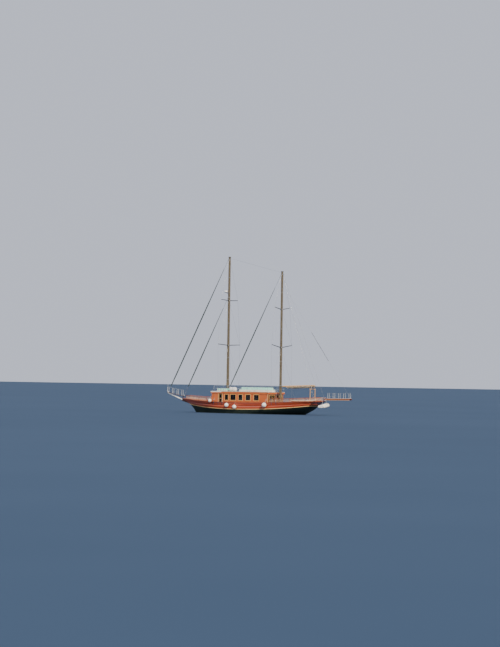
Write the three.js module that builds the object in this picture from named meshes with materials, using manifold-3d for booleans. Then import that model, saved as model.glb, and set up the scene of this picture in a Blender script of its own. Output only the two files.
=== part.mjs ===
// A two-masted wooden motor sailer of the gulet type, afloat, with its sails furled.
// Millimetres. +X is the bow, +Y is port, +Z is up.
// The origin is on the centreline, amidships, at the waterline.
import * as THREE from "three";
import { mergeVertices } from "three/addons/utils/BufferGeometryUtils.js";
import Module from "manifold-3d";

const wasm = await Module();
wasm.setup();

const ship = new THREE.Group();

// Gap between neighbouring pieces that touch on the real ship, and play at a moving pin.
const FIT = 0.4;
const PIN_PLAY = 0.8;

// Finishes, as seen in the photograph
const finish = (color, roughness, metalness = 0) =>
  new THREE.MeshStandardMaterial({ color, roughness, metalness });
const FINISHES = {
  mahogany: () => finish(0x9c4420, 0.35),
  mahoganyDark: () => finish(0x5a2b18, 0.45),
  antifouling: () => finish(0x16241a, 0.7),
  stripe: () => finish(0xd8b070, 0.5),
  teak: () => finish(0xb08a5c, 0.75),
  orangeVarnish: () => finish(0xc4622a, 0.35),
  sparVarnish: () => finish(0x6e6450, 0.5),
  whitePaint: () => finish(0xf2f0ea, 0.4),
  glass: () => finish(0x20282c, 0.05),
  stainless: () => finish(0xc8ccd0, 0.25, 1),
  bronze: () => finish(0x9a7a3a, 0.4, 1),
  headsailCover: () => finish(0x2e3b38, 0.9),
  sailcloth: () => finish(0xf3e6d2, 0.9),
  mint: () => finish(0x9fdcc8, 0.9),
  cream: () => finish(0xf2ead8, 0.9),
  hypalon: () => finish(0xf0f0ee, 0.6),
  fender: () => finish(0xf4f4f0, 0.45),
};

function piece(name, geometry, finishName) {
  const mesh = new THREE.Mesh(geometry, FINISHES[finishName]());
  mesh.name = name;
  ship.add(mesh);
  return geometry;
}

// A geometry with its shared corners merged, while it is still near the origin
function weld(geometry) {
  const bare = new THREE.BufferGeometry().setAttribute("position", geometry.getAttribute("position"));
  if (geometry.index) bare.setIndex(geometry.index);
  const merged = mergeVertices(bare, 1e-3);
  const corners = merged.index.array;
  const kept = [];
  for (let t = 0; t < corners.length; t += 3) {
    const [a, b, c] = corners.slice(t, t + 3);
    if (a !== b && b !== c && c !== a) kept.push(a, b, c);
  }
  return merged.setIndex(kept);
}

// Solids: joining and cutting closed, welded geometries
function solidOf(geometry) {
  return new wasm.Manifold(
    new wasm.Mesh({
      numProp: 3,
      vertProperties: new Float32Array(geometry.getAttribute("position").array),
      triVerts: new Uint32Array(geometry.index.array),
    }),
  );
}

function geometryOf(solid) {
  const mesh = solid.getMesh();
  const geometry = new THREE.BufferGeometry();
  geometry.setAttribute("position", new THREE.BufferAttribute(mesh.vertProperties.slice(), 3));
  geometry.setIndex(Array.from(mesh.triVerts));
  geometry.computeVertexNormals();
  return geometry;
}

const join = (...geometries) =>
  geometryOf(geometries.slice(1).reduce((sum, next) => sum.add(solidOf(next)), solidOf(geometries[0])));
const cut = (geometry, ...tools) =>
  geometryOf(tools.reduce((rest, tool) => rest.subtract(solidOf(tool)), solidOf(geometry)));

// Plain shapes in ship axes
function block(x0, x1, y0, y1, z0, z1) {
  const box = weld(new THREE.BoxGeometry(Math.abs(x1 - x0), Math.abs(y1 - y0), Math.abs(z1 - z0)));
  return box.translate((x0 + x1) / 2, (y0 + y1) / 2, (z0 + z1) / 2);
}

const TUBE_SIDES = 4;
const UP_Y = new THREE.Vector3(0, 1, 0);
const point = (x, y, z) => new THREE.Vector3(x, y, z);

// A geometry made along +Y from the origin is turned to run from one point towards another.
function aim(geometry, from, to) {
  const turn = new THREE.Quaternion().setFromUnitVectors(UP_Y, to.clone().sub(from).normalize());
  return geometry.applyQuaternion(turn).translate(from.x, from.y, from.z);
}

function rod(from, to, radiusFrom, radiusTo = radiusFrom, sides = 8) {
  const length = from.distanceTo(to);
  const cylinder = weld(new THREE.CylinderGeometry(radiusTo, radiusFrom, length, sides));
  return aim(cylinder.translate(0, length / 2, 0), from, to);
}

// A turned solid between two points; its profile lists [distance along, radius].
function turned(from, to, profile, sides = 10) {
  const last = profile[profile.length - 1][0];
  const outline = [[0, profile[0][0]], ...profile.map(([along, radius]) => [radius, along]), [0, last]];
  const lathe = weld(new THREE.LatheGeometry(outline.map(([r, s]) => new THREE.Vector2(r, s)), sides));
  return aim(lathe, from, to);
}

// A beam of rectangular section between two points: across is its width in Y or X, deep its height.
function beam(from, to, across, deep) {
  const length = from.distanceTo(to);
  const box = weld(new THREE.BoxGeometry(length, across, deep));
  const direction = to.clone().sub(from).normalize();
  const turn = new THREE.Quaternion().setFromUnitVectors(point(1, 0, 0), direction);
  const middle = from.clone().add(to).multiplyScalar(0.5);
  return box.applyQuaternion(turn).translate(middle.x, middle.y, middle.z);
}

const shapeOf = (points) => new THREE.Shape(points.map(([a, b]) => new THREE.Vector2(a, b)));
const rectangle = (a0, a1, b0, b1) => [[a0, b0], [a1, b0], [a1, b1], [a0, b1]];
const flat = (depth) => ({ depth, bevelEnabled: false, curveSegments: 4 });

// Plates drawn as a side view (x, z), a plan (x, y) or an end view (y, z), and given their thickness.
// Holes are cut right through, from a little outside either face.
const PAST = 5;
function plate(points, low, high, holes, place) {
  const slab = (outline, from, to) => place(
    weld(new THREE.ExtrudeGeometry(shapeOf(outline), flat(to - from))).translate(0, 0, from),
  );
  const [from, to] = [Math.min(low, high), Math.max(low, high)];
  return holes.length ? cut(
    slab(points, from, to), ...holes.map((hole) => slab(hole, from - PAST, to + PAST)),
  ) : slab(points, from, to);
}
const sideView = (points, y0, y1, holes = []) => plate(
  points, -y0, -y1, holes, (g) => g.rotateX(Math.PI / 2),
);
const planView = (points, z0, z1, holes = []) => plate(points, z0, z1, holes, (g) => g);
const endView = (points, x0, x1, holes = []) => plate(
  points, x0, x1, holes, (g) => g.rotateX(Math.PI / 2).rotateZ(Math.PI / 2),
);

// A solid through rings of points, all with the same even number of points. Each quad is split from its
// lower forward corner to its upper aft one, so that faces laid on each other have the same facets.
function loft(rings, closed = false) {
  const count = rings[0].length;
  const points = rings.flat();
  const index = [];
  const quad = (a, b, c, d) => {
    const slopeAC = (points[c][0] - points[a][0]) * (points[c][2] - points[a][2]);
    const slopeBD = (points[d][0] - points[b][0]) * (points[d][2] - points[b][2]);
    if (slopeAC <= slopeBD) index.push(a, b, c, a, c, d);
    else index.push(a, b, d, b, c, d);
  };
  const bays = closed ? rings.length : rings.length - 1;
  for (let i = 0; i < bays; i++) {
    const here = i * count;
    const next = ((i + 1) % rings.length) * count;
    for (let j = 0; j < count; j++) {
      const k = (j + 1) % count;
      quad(here + j, here + k, next + k, next + j);
    }
  }
  if (!closed) {
    const end = (rings.length - 1) * count;
    for (let j = 0; j < count / 2 - 1; j++) {
      quad(j + 1, j, count - 1 - j, count - 2 - j);
      quad(end + j, end + j + 1, end + count - 2 - j, end + count - 1 - j);
    }
  }
  let volume = 0;
  for (let t = 0; t < index.length; t += 3) {
    const [a, b, c] = [0, 1, 2].map((n) => point(...points[index[t + n]]));
    volume += a.dot(b.cross(c));
  }
  if (volume < 0) index.reverse();
  const geometry = new THREE.BufferGeometry();
  geometry.setAttribute("position", new THREE.Float32BufferAttribute(points.flat(), 3));
  geometry.setIndex(index);
  geometry.computeVertexNormals();
  return geometry;
}

// Hull lines. Each row runs from the stem to the stern at one level: x and z at both ends, z and half
// breadth amidships, half breadth at the stern, and how full the row is forward and aft.
const STEM_HALF = 85;
const MIDSHIP = 0.48;
const SHEER_FORWARD = 2.4;
const SHEER_AFT = 2.0;
const HULL_ROWS = {
  //            xBow   zBow   zMid  xStern  zStern  halfMid halfStern fore  aft
  rabbet:     [ 7400, -1150, -1550,  -9200,  -350,     130,   130,   1.0,  1.0],
  garboard:   [ 8000,  -880, -1220,  -9450,  -270,    1550,   135,   1.35, 1.35],
  bilge:      [ 8700,  -500,  -680,  -9700,  -150,    2600,   140,   1.45, 1.6],
  waterline:  [ 9400,     0,     0,  -9950,     0,    3020,   150,   1.6,  2.0],
  counter:    [ 9850,   620,   300, -10900,   740,    3110,  1200,   1.75, 2.3],
  strakeLow:  [10420,  1180,   590, -11440,  1270,    3170,  1550,   1.85, 2.4],
  strakeHigh: [10600,  1320,   730, -11530,  1410,    3190,  1580,   1.88, 2.4],
  deckEdge:   [11200,  1620,  1220, -11950,  1700,    3200,  1660,   2.0,  2.5],
  cap:        [12000,  2180,  1720, -12750,  2130,    3220,  1750,   2.1,  2.6],
};
const STATIONS = 30;
const stationFractions = Array.from({ length: STATIONS + 1 }, (_, i) => {
  const even = i / STATIONS;
  return 0.5 * even + 0.25 * (1 - Math.cos(Math.PI * even));
});

// The port half of one row, as [x, y, z] from stem to stern
function hullRow(name) {
  const [xBow, zBow, zMid, xStern, zStern, halfMid, halfStern, fore, aft] = HULL_ROWS[name];
  const halfStem = name === "rabbet" ? halfMid : STEM_HALF;
  return stationFractions.map((s) => {
    const x = xBow + (xStern - xBow) * s;
    const forward = s < MIDSHIP;
    const away = forward ? 1 - s / MIDSHIP : (s - MIDSHIP) / (1 - MIDSHIP);
    const endHalf = forward ? halfStem : halfStern;
    const half = endHalf + (halfMid - endHalf) * (1 - away ** (forward ? fore : aft));
    const rise = (forward ? zBow : zStern) - zMid;
    const z = zMid + rise * away ** (forward ? SHEER_FORWARD : SHEER_AFT);
    return [x, half, z];
  });
}
const mirror = ([x, y, z]) => [x, -y, z];
// The whole outline of one row: port side from stem to stern, then starboard side forward to the stem
const outlineOf = (row) => [...row, ...row.map(mirror).reverse()];

// Moves a plan outline sideways by a distance, mitred at each corner: positive is outward (to the left
// of the way it runs from the stem down the port side).
function offsetPlan(path, distance, closed = true) {
  const count = path.length;
  return path.map((here, i) => {
    const before = path[closed ? (i + count - 1) % count : Math.max(i - 1, 0)];
    const after = path[closed ? (i + 1) % count : Math.min(i + 1, count - 1)];
    const normals = [[before, here], [here, after]]
      .map(([a, b]) => [b[1] - a[1], a[0] - b[0]])
      .filter(([nx, ny]) => Math.hypot(nx, ny) > 1e-6)
      .map(([nx, ny]) => [nx / Math.hypot(nx, ny), ny / Math.hypot(nx, ny)]);
    const [n0, n1] = [normals[0], normals[normals.length - 1]];
    const middle = [n0[0] + n1[0], n0[1] + n1[1]];
    const scale = distance / (1 + n0[0] * n1[0] + n0[1] * n1[1]);
    return [here[0] + middle[0] * scale, here[1] + middle[1] * scale, here[2]];
  });
}

// Height or half breadth of a row at any x, straight between its stations and on past its ends
function rowValue(row, x, which) {
  const last = row.length - 2;
  const i = Math.min(
    Math.max(row.findIndex(([x1], k) => k > 0 && x >= x1) - 1, x > row[0][0] ? 0 : -1), last,
  );
  const bay = i < 0 ? last : i;
  const [a, b] = [row[bay], row[bay + 1]];
  return a[which] + ((b[which] - a[which]) * (x - a[0])) / (b[0] - a[0]);
}
const rowHalf = (row, x) => rowValue(row, x, 1);
const rowHeight = (row, x) => rowValue(row, x, 2);
const raised = (path, dz) => path.map(([x, y, z]) => [x, y, z + dz]);

const rows = Object.fromEntries(Object.keys(HULL_ROWS).map((name) => [name, hullRow(name)]));

// Hull below the deck, with the keel, the stem knee and the rudder trunk
const SOLID_ROWS = [
  "rabbet", "garboard", "bilge", "waterline", "counter", "strakeLow", "strakeHigh", "deckEdge",
];
const hullBody = loft(
  stationFractions.map((_, i) => {
    const port = SOLID_ROWS.map((name) => rows[name][i]);
    return [...port, ...port.map(mirror).reverse()];
  }),
);

const KEEL = {
  half: 125, bottomAft: -2450, foreX: 6900, foreBottom: -1500, deepX: 5300, deepBottom: -1980, postX: -7300,
  shoeEnd: -9000, shoeTop: -2280,
};
const rabbetUnder = rows.rabbet
  .filter(([x]) => x <= KEEL.foreX && x >= KEEL.postX - 60)
  .map(([x, , z]) => [x, z + 60]);
const keelSide = [
  ...rabbetUnder,
  [KEEL.postX, -1650],
  [KEEL.postX, KEEL.shoeTop],
  [KEEL.shoeEnd, KEEL.shoeTop],
  [KEEL.shoeEnd, KEEL.bottomAft],
  [KEEL.deepX, KEEL.deepBottom],
  [KEEL.foreX, KEEL.foreBottom],
].reverse();
const SHAFT = { z: -1450, tubeRadius: 190, bossRadius: 130, tubeLong: 900, bossLong: 180 };
const RUDDER = { stockX: -8480, trunkBottom: -720, aftX: -9330, topZ: -760, bottomZ: -2200, halfThick: 55 };
const hull = join(
  hullBody,
  sideView(keelSide, -KEEL.half, KEEL.half),
  rod(
    point(KEEL.postX + SHAFT.tubeLong, 0, SHAFT.z), point(KEEL.postX - SHAFT.bossLong, 0, SHAFT.z),
    SHAFT.tubeRadius, SHAFT.bossRadius, 12,
  ),
  block(RUDDER.stockX - 160, RUDDER.stockX + 160, -110, 110, RUDDER.trunkBottom, -300),
);
piece("hull", hull, "mahogany");

// Deck plate on the hull, and the bulwark round it
const BULWARK_THICK = 70;
const CAP = { deep: 50, out: 55, in: 125 };
const DECK_THICK = 42;
const deckEdgeOutline = outlineOf(rows.deckEdge);
const seatedOnHull = (path) => path.map(([x, y]) => [x, y, rowHeight(rows.deckEdge, x) + FIT]);
const deckRing = seatedOnHull(offsetPlan(deckEdgeOutline, -BULWARK_THICK - 1.5));
const deckPort = deckRing.slice(0, STATIONS + 1);
const deck = loft(
  deckPort.map((p) => {
    const above = [p[0], p[1], p[2] + DECK_THICK];
    return [p, mirror(p), mirror(above), above];
  }),
);
piece("deck", deck, "teak");
const deckTopRow = raised(deckPort, DECK_THICK);
const deckTop = (x) => rowHeight(deckTopRow, x);
// The lowest height at which a flat foot from x0 to x1 clears the deck
const onDeck = (x0, x1) => Math.max(deckTop(x0), deckTop(x1)) + FIT;
// The deck's line from x0 forward to x1, for the foot of a wall
function deckLine(x0, x1) {
  const within = deckTopRow.filter(([x]) => x > x0 + 1 && x < x1 - 1);
  const inside = within.map(([x, , z]) => [x, z + FIT]).reverse();
  return [[x0, deckTop(x0) + FIT], ...inside, [x1, deckTop(x1) + FIT]];
}

const wallTopShare = rows.cap.map((top, i) => {
  const low = rows.deckEdge[i][2];
  return (top[2] - CAP.deep - FIT - low) / (top[2] - low);
});
const bulwarkTopRow = rows.deckEdge.map((low, i) =>
  low.map((v, k) => v + (rows.cap[i][k] - v) * wallTopShare[i]),
);
const bulwarkTop = outlineOf(bulwarkTopRow);
const bulwarkFoot = raised(deckEdgeOutline, FIT);
const bulwarkFootIn = seatedOnHull(offsetPlan(deckEdgeOutline, -BULWARK_THICK));
const onBulwark = (path, rise = 0) => path.map(([x, y]) => [x, y, rowHeight(bulwarkTopRow, x) + rise]);
const bulwarkTopIn = onBulwark(offsetPlan(bulwarkTop, -BULWARK_THICK));
const bulwark = loft(bulwarkFoot.map((p, i) => [p, bulwarkTop[i], bulwarkTopIn[i], bulwarkFootIn[i]]), true);
piece("bulwark", bulwark, "mahogany");

const capOut = onBulwark(offsetPlan(bulwarkTop, CAP.out), FIT);
const capIn = onBulwark(offsetPlan(bulwarkTop, -CAP.in), FIT);
const capRail = loft(capOut.map((p, i) => [p, ...raised([p, capIn[i]], CAP.deep), capIn[i]]), true);
piece("cap_rail", capRail, "mahogany");
// Centre line of the cap rail's top, for what stands on it
const capLine = (outward) => onBulwark(offsetPlan(bulwarkTop, outward), FIT + CAP.deep);
const capCentre = capLine(-BULWARK_THICK / 2);
const capTop = (x) => rowHeight(bulwarkTopRow, x) + FIT + CAP.deep;

// Rubbing strake, from the stem round the transom
const STRAKE_OUT = 60;
const strakeLow = offsetPlan(outlineOf(rows.strakeLow), FIT);
const strakeHigh = offsetPlan(outlineOf(rows.strakeHigh), FIT);
const strakeLowOut = offsetPlan(outlineOf(rows.strakeLow), STRAKE_OUT);
const strakeHighOut = offsetPlan(outlineOf(rows.strakeHigh), STRAKE_OUT);
piece(
  "rubbing_strake",
  loft(
    strakeLow.map((p, i) => {
      const [highOut, lowOut] = [raised([strakeHighOut[i]], -12)[0], raised([strakeLowOut[i]], 12)[0]];
      return [p, strakeHigh[i], highOut, lowOut];
    }),
    true,
  ),
  "stripe",
);

// A rail of rectangular section along an open path: half its width, and its foot and top above the cap rail
function railAlong(path, half, foot, top) {
  const [left, right] = [half, -half].map((side) => offsetPlan(path, side, false));
  const corner = ([x, y], rise) => [x, y, capTop(x) + rise];
  return loft(
    path.map((_, i) => [
      corner(left[i], foot), corner(right[i], foot), corner(right[i], top), corner(left[i], top),
    ]),
  );
}
// Points at even steps along a path, ends included
function stepsAlong(path, spacing) {
  const lengths = path.slice(1).map((p, i) => Math.hypot(p[0] - path[i][0], p[1] - path[i][1]));
  const total = lengths.reduce((a, b) => a + b, 0);
  const count = Math.round(total / spacing);
  return Array.from({ length: count + 1 }, (_, n) => {
    let rest = Math.min((total * n) / count, total - 1e-6);
    let i = 0;
    while (rest > lengths[i]) rest -= lengths[i++];
    return path[i].map((v, k) => v + ((path[i + 1][k] - v) * rest) / lengths[i]);
  });
}
// The part of an outline that lies between two values of x on the port side, ends cut straight
function portPart(outline, xFrom, xTo) {
  const port = outline.slice(0, STATIONS + 1);
  const at = (x) => [x, rowHalf(port, x), rowHeight(port, x)];
  return [at(xFrom), ...port.filter(([x]) => x < xFrom - 20 && x > xTo + 20), at(xTo)];
}

const RAIL = { half: 32, shoe: 30, top: 560, topDeep: 45, postHalf: 24, postSpacing: 900 };
function balustrade(path) {
  const shoe = railAlong(path, RAIL.half, FIT, RAIL.shoe);
  const top = railAlong(path, RAIL.half + 6, RAIL.top - RAIL.topDeep, RAIL.top);
  const inset = [path[0], path[path.length - 1]].map((end, n) => {
    const next = n ? path[path.length - 2] : path[1];
    const length = Math.hypot(next[0] - end[0], next[1] - end[1]);
    return end.map((v, k) => v + ((next[k] - v) * 40) / length);
  });
  const inner = [inset[0], ...path.slice(1, -1), inset[1]];
  const posts = stepsAlong(inner, RAIL.postSpacing).map(([x, y, z]) =>
    rod(
      point(x, y, z + RAIL.shoe / 2), point(x, y, z + RAIL.top - RAIL.topDeep / 2), RAIL.postHalf,
      RAIL.postHalf, 6,
    ),
  );
  return join(shoe, top, ...posts);
}
const BOW_RAIL = { aft: 6000, fore: 11050 };
const bowPath = portPart(capCentre, BOW_RAIL.fore, BOW_RAIL.aft);
piece("bow_rail_port", balustrade(bowPath), "orangeVarnish");
piece("bow_rail_starboard", balustrade(bowPath.map(mirror)), "orangeVarnish");

// Stern balustrade from amidships aft round the transom, cut away at the gangway
const STERN_RAIL_FORE = -5500;
const GANGWAY_Y = -1050;
const GANGWAY_GAP = 380;
const sternPort = portPart(capCentre, STERN_RAIL_FORE, -12500).slice(0, -1);
const sternCorner = capCentre[STATIONS];
const sternPath = [...sternPort.filter(([x]) => x > sternCorner[0] + 60), sternCorner];
const sternLoop = [...sternPath, ...sternPath.map(mirror).reverse()];
const PASSERELLE = {
  rootX: sternCorner[0] - 90, rootZ: 2500, tipX: -17300, half: 300, halfThick: 30, riseZ: 50, deep: 250,
  deepFrom: -13100, wall: 45,
};
const gangwayCut = block(
  -13200, -12450, GANGWAY_Y - GANGWAY_GAP, GANGWAY_Y + GANGWAY_GAP, sternCorner[2] + RAIL.shoe + 2, 3200,
);
const HINGE = { radius: 16, cheekHalf: 22 };
const hingeCheeks = [-1, 1].map((side) => {
  const y = GANGWAY_Y + side * (PASSERELLE.half + 34);
  return block(
    PASSERELLE.rootX - 40, sternCorner[0] + 25, y - HINGE.cheekHalf, y + HINGE.cheekHalf, sternCorner[2] + 14,
    PASSERELLE.rootZ + 45,
  );
});
const sternPosts = [-1, 1].map((side) => {
  const y = GANGWAY_Y + side * (GANGWAY_GAP + 24);
  return rod(
    point(sternCorner[0], y, sternCorner[2] + 15), point(sternCorner[0], y, sternCorner[2] + RAIL.top - 20),
    RAIL.postHalf, RAIL.postHalf, 6,
  );
});
const hingePin = rod(
  point(PASSERELLE.rootX, GANGWAY_Y - PASSERELLE.half - 34, PASSERELLE.rootZ),
  point(PASSERELLE.rootX, GANGWAY_Y + PASSERELLE.half + 34, PASSERELLE.rootZ),
  HINGE.radius, HINGE.radius, 10,
);
piece(
  "stern_rail", join(cut(balustrade(sternLoop), gangwayCut), ...sternPosts, ...hingeCheeks, hingePin),
  "orangeVarnish",
);

// The walkway over the bowsprit: its underside rises from the stem head to the tip
const WALKWAY = { foot: 11650, footZ: 2440, tip: 14850, tipZ: 3021, half: 230, thick: 40 };
const walkwayRise = (WALKWAY.tipZ - WALKWAY.footZ) / (WALKWAY.tip - WALKWAY.foot);
const walkwayAt = (x) => WALKWAY.footZ + walkwayRise * (x - WALKWAY.foot);
const walkwayEnd = (x, rise = 0, y = 0) => point(x, y, walkwayAt(x) + rise);

// Stem knee and bowsprit
const BOWSPRIT = { rootX: 12090, rootZ: 1955, tipX: 14800, tipZ: 2943, rootRadius: 105, tipRadius: 65 };
const kneeSide = [[10920, 1460], [12090, 1775], [12090, 2060], [11700, 2090]];
piece(
  "bowsprit",
  join(
    cut(sideView(kneeSide, -70, 70), offsetHull()),
    rod(
      point(BOWSPRIT.rootX - 60, 0, BOWSPRIT.rootZ - 18), point(BOWSPRIT.tipX, 0, BOWSPRIT.tipZ),
      BOWSPRIT.rootRadius, BOWSPRIT.tipRadius, 12,
    ),
    beam(walkwayEnd(BOWSPRIT.tipX - 250, -31.5), walkwayEnd(BOWSPRIT.tipX - 40, -31.5), 100, 60),
  ),
  "whitePaint",
);
// The stem with its bulwark and cap, grown by the fit, to cut what lies against it
function offsetHull() {
  const grown = ["strakeHigh", "deckEdge", "cap"].map((name) =>
    offsetPlan(outlineOf(rows[name]), FIT).slice(0, 4),
  );
  const rings = grown[0].map((_, i) => {
    const port = grown.map((row) => row[i]);
    return [...port, ...port.map(mirror).reverse()];
  });
  return loft(rings);
}

const PULPIT_RAIL = 900;
const pulpitStations = [12050, 12950, 13800, 14700];
const pulpit = [-1, 1].flatMap((side) => {
  const y = side * (WALKWAY.half - 22);
  const posts = pulpitStations.map((x) =>
    rod(walkwayEnd(x, 0, y), walkwayEnd(x, PULPIT_RAIL, y), 15, 15, TUBE_SIDES),
  );
  const rail = rod(
    walkwayEnd(pulpitStations[0] - 20, PULPIT_RAIL, y), walkwayEnd(pulpitStations[3] + 20, PULPIT_RAIL, y),
    19, 19, TUBE_SIDES,
  );
  return [...posts, rail];
});
const pulpitFront = rod(
  walkwayEnd(pulpitStations[3], PULPIT_RAIL, -WALKWAY.half + 22),
  walkwayEnd(pulpitStations[3], PULPIT_RAIL, WALKWAY.half - 22), 18, 18, TUBE_SIDES,
);
const CHOCK = { x0: 11880, x1: 11970, half: 60 };
const walkwayChock = block(
  CHOCK.x0, CHOCK.x1, -CHOCK.half, CHOCK.half, capTop(CHOCK.x1) + FIT, walkwayAt(CHOCK.x0) + 15,
);
const JACK_STAFF = { x: 14800, tall: 1300, radius: 14 };
const jackStaff = rod(
  walkwayEnd(JACK_STAFF.x), walkwayEnd(JACK_STAFF.x, JACK_STAFF.tall), JACK_STAFF.radius,
  JACK_STAFF.radius - 4, 6,
);
piece(
  "bowsprit_platform",
  join(
    beam(
      walkwayEnd(WALKWAY.foot, WALKWAY.thick / 2), walkwayEnd(WALKWAY.tip, WALKWAY.thick / 2),
      WALKWAY.half * 2, WALKWAY.thick,
    ),
    walkwayChock, ...pulpit, pulpitFront, jackStaff,
  ),
  "mahoganyDark",
);

// Foredeck gear
const WINDLASS = {
  x: 9300, half: 260, bedHalf: 200, bedTall: 60, caseHalfX: 110, caseHalfY: 120, tall: 360, axle: 230,
  drumEnd: 340, drum: 95, flange: 130, flangeWide: 50,
};
const windlassFoot = onDeck(WINDLASS.x - WINDLASS.bedHalf, WINDLASS.x + WINDLASS.bedHalf);
const onAxle = (y) => point(WINDLASS.x, y, windlassFoot + WINDLASS.axle);
const flangeIn = WINDLASS.drumEnd - WINDLASS.flangeWide;
piece(
  "windlass",
  join(
    block(
      WINDLASS.x - WINDLASS.bedHalf, WINDLASS.x + WINDLASS.bedHalf, -WINDLASS.half, WINDLASS.half,
      windlassFoot, windlassFoot + WINDLASS.bedTall,
    ),
    block(
      WINDLASS.x - WINDLASS.caseHalfX, WINDLASS.x + WINDLASS.caseHalfX,
      -WINDLASS.caseHalfY, WINDLASS.caseHalfY,
      windlassFoot + WINDLASS.bedTall - 10, windlassFoot + WINDLASS.tall,
    ),
    rod(onAxle(10 - WINDLASS.drumEnd), onAxle(WINDLASS.drumEnd - 10), WINDLASS.drum, WINDLASS.drum, 12),
    ...[-1, 1].map((side) =>
      rod(onAxle(side * WINDLASS.drumEnd), onAxle(side * flangeIn), WINDLASS.flange, WINDLASS.flange, 12),
    ),
  ),
  "stainless",
);
const HATCH = { x0: 6700, x1: 7900, half: 480, tall: 330, eaves: 90 };
const hatchTop = deckTop(HATCH.x1) + HATCH.tall;
const hatchSide = [
  ...deckLine(HATCH.x0, HATCH.x1), [HATCH.x1, hatchTop - HATCH.eaves], [(HATCH.x0 + HATCH.x1) / 2, hatchTop],
  [HATCH.x0, hatchTop - HATCH.eaves],
];
piece(
  "foredeck_hatch",
  sideView(hatchSide, -HATCH.half, HATCH.half),
  "orangeVarnish",
);

// A hinge on an upright axis: the fixed pin between two lugs, and the knuckle that turns on it.
// The arm (x0, x1, y0, y1) carries each of them, drawn from the axis back into its wall or leaf.
const BUTT = { pin: 8, bore: 9, knuckle: 16, lug: 40, lower: 300, tall: 1100 };
function doorHinge(x, y, z, lugArm, leafArm) {
  const [z0, z1] = [z + BUTT.lower, z + BUTT.lower + BUTT.tall];
  const upright = (radius, from, to) => rod(point(x, y, from), point(x, y, to), radius, radius, 10);
  const lugs = [[z0 - BUTT.lug, z0], [z1, z1 + BUTT.lug]].map(([from, to]) => block(...lugArm, from, to));
  const bore = upright(BUTT.bore, z0 - 100, z1 + 100);
  return {
    fixed: (wall) => join(wall, ...lugs, upright(BUTT.pin, z0 - 10, z1 + 10)),
    turning: (leaf) => cut(
      join(leaf, upright(BUTT.knuckle, z0 + FIT, z1 - FIT), block(...leafArm, z0 + FIT + 4, z1 - FIT - 4)),
      bore,
    ),
  };
}

// Deckhouse
const HOUSE = {
  half: 2300, thick: 60, aftX: -4900, frontFootX: 5500, frontTopX: 5050, roofZ: 3350, fasciaFoot: 3050,
  roofThick: 60, roofHalf: 2500, roofAft: -5080, roofFore: 5330, fasciaThick: 45,
};
const wallTop = HOUSE.roofZ - HOUSE.roofThick - FIT;
const frontFootZ = deckTop(HOUSE.frontFootX);
const rake = (HOUSE.frontFootX - HOUSE.frontTopX) / (wallTop - frontFootZ);
// The outer face of the raked front at a height
const frontX = (z) => HOUSE.frontFootX - rake * (z - frontFootZ);
const slantThick = HOUSE.thick * Math.hypot(1, rake);
const DOOR_SIDE = { x0: 3290, x1: 3920, top: 3030, gap: 5, thick: 45 };
const WINDOWS_SIDE = [[2220, 2830], [870, 1820], [-330, 370], [-1750, -920], [-3240, -2380]];
const WINDOW_FOOT = 2030;
const WINDOW_TOP = 2880;
const sideFront = (z) => frontX(z) - slantThick - FIT;
const doorHoleFoot = deckTop(DOOR_SIDE.x1) + 70;
const sideWall = [
  ...deckLine(HOUSE.aftX, sideFront(frontFootZ)), [sideFront(wallTop), wallTop], [HOUSE.aftX, wallTop],
];
const sideHoles = [
  ...WINDOWS_SIDE.map(([x0, x1]) => rectangle(x0, x1, WINDOW_FOOT, WINDOW_TOP)),
  rectangle(DOOR_SIDE.x0, DOOR_SIDE.x1, doorHoleFoot, DOOR_SIDE.top),
];
// The side deck is too narrow for an outward door, so the hinges are on the wall's inner face
const sideDoorHinge = (side) => {
  const inner = HOUSE.half - HOUSE.thick;
  const [x, y] = [DOOR_SIDE.x1 + 8, side * (inner - 19)];
  const lugArm = [x - 10, x + 40, side * (inner + 8), y - side * 12];
  const leafArm = [x - 50, x - 10, side * (inner + 8), y - side * 8];
  return doorHinge(x, y, doorHoleFoot, lugArm, leafArm);
};
for (const [name, side] of [["side_wall_port", 1], ["side_wall_starboard", -1]])
  piece(
    name,
    sideDoorHinge(side).fixed(
      sideView(sideWall, side * (HOUSE.half - HOUSE.thick), side * HOUSE.half, sideHoles),
    ),
    "orangeVarnish",
  );
// Sliding glass strip behind each side's windows
for (const [name, side] of [["glass_port", 1], ["glass_starboard", -1]]) {
  const outer = HOUSE.half - HOUSE.thick - FIT;
  piece(
    name, block(-3330, 2920, side * (outer - 10), side * outer, WINDOW_FOOT - 80, WINDOW_TOP + 80), "glass",
  );
}
// Side doors, hinged at their forward edge, with two panes
for (const [name, side] of [["door_port", 1], ["door_starboard", -1]]) {
  const panes = [rectangle(3390, 3820, 2300, 2920), rectangle(3390, 3820, 1560, 2190)];
  const leaf = sideView(
    rectangle(
      DOOR_SIDE.x0 + DOOR_SIDE.gap, DOOR_SIDE.x1 - DOOR_SIDE.gap, doorHoleFoot + DOOR_SIDE.gap,
      DOOR_SIDE.top - DOOR_SIDE.gap,
    ),
    side * (HOUSE.half - HOUSE.thick), side * (HOUSE.half - HOUSE.thick + DOOR_SIDE.thick), panes,
  );
  piece(name, sideDoorHinge(side).turning(leaf), "mahoganyDark");
}

// Front: built upright in (y, height along the slant), then laid back to its rake
const slantLength = Math.hypot(1, rake) * (wallTop - frontFootZ);
const frontWindows = [
  [-2050, -1450], [-1300, -700], [-550, 550], [700, 1300], [1450, 2050],
].map(([y0, y1]) => rectangle(y0, y1, 780, slantLength - 430));
const layBack = (geometry) => geometry.rotateY(-Math.atan(rake)).translate(HOUSE.frontFootX, 0, frontFootZ);
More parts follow.
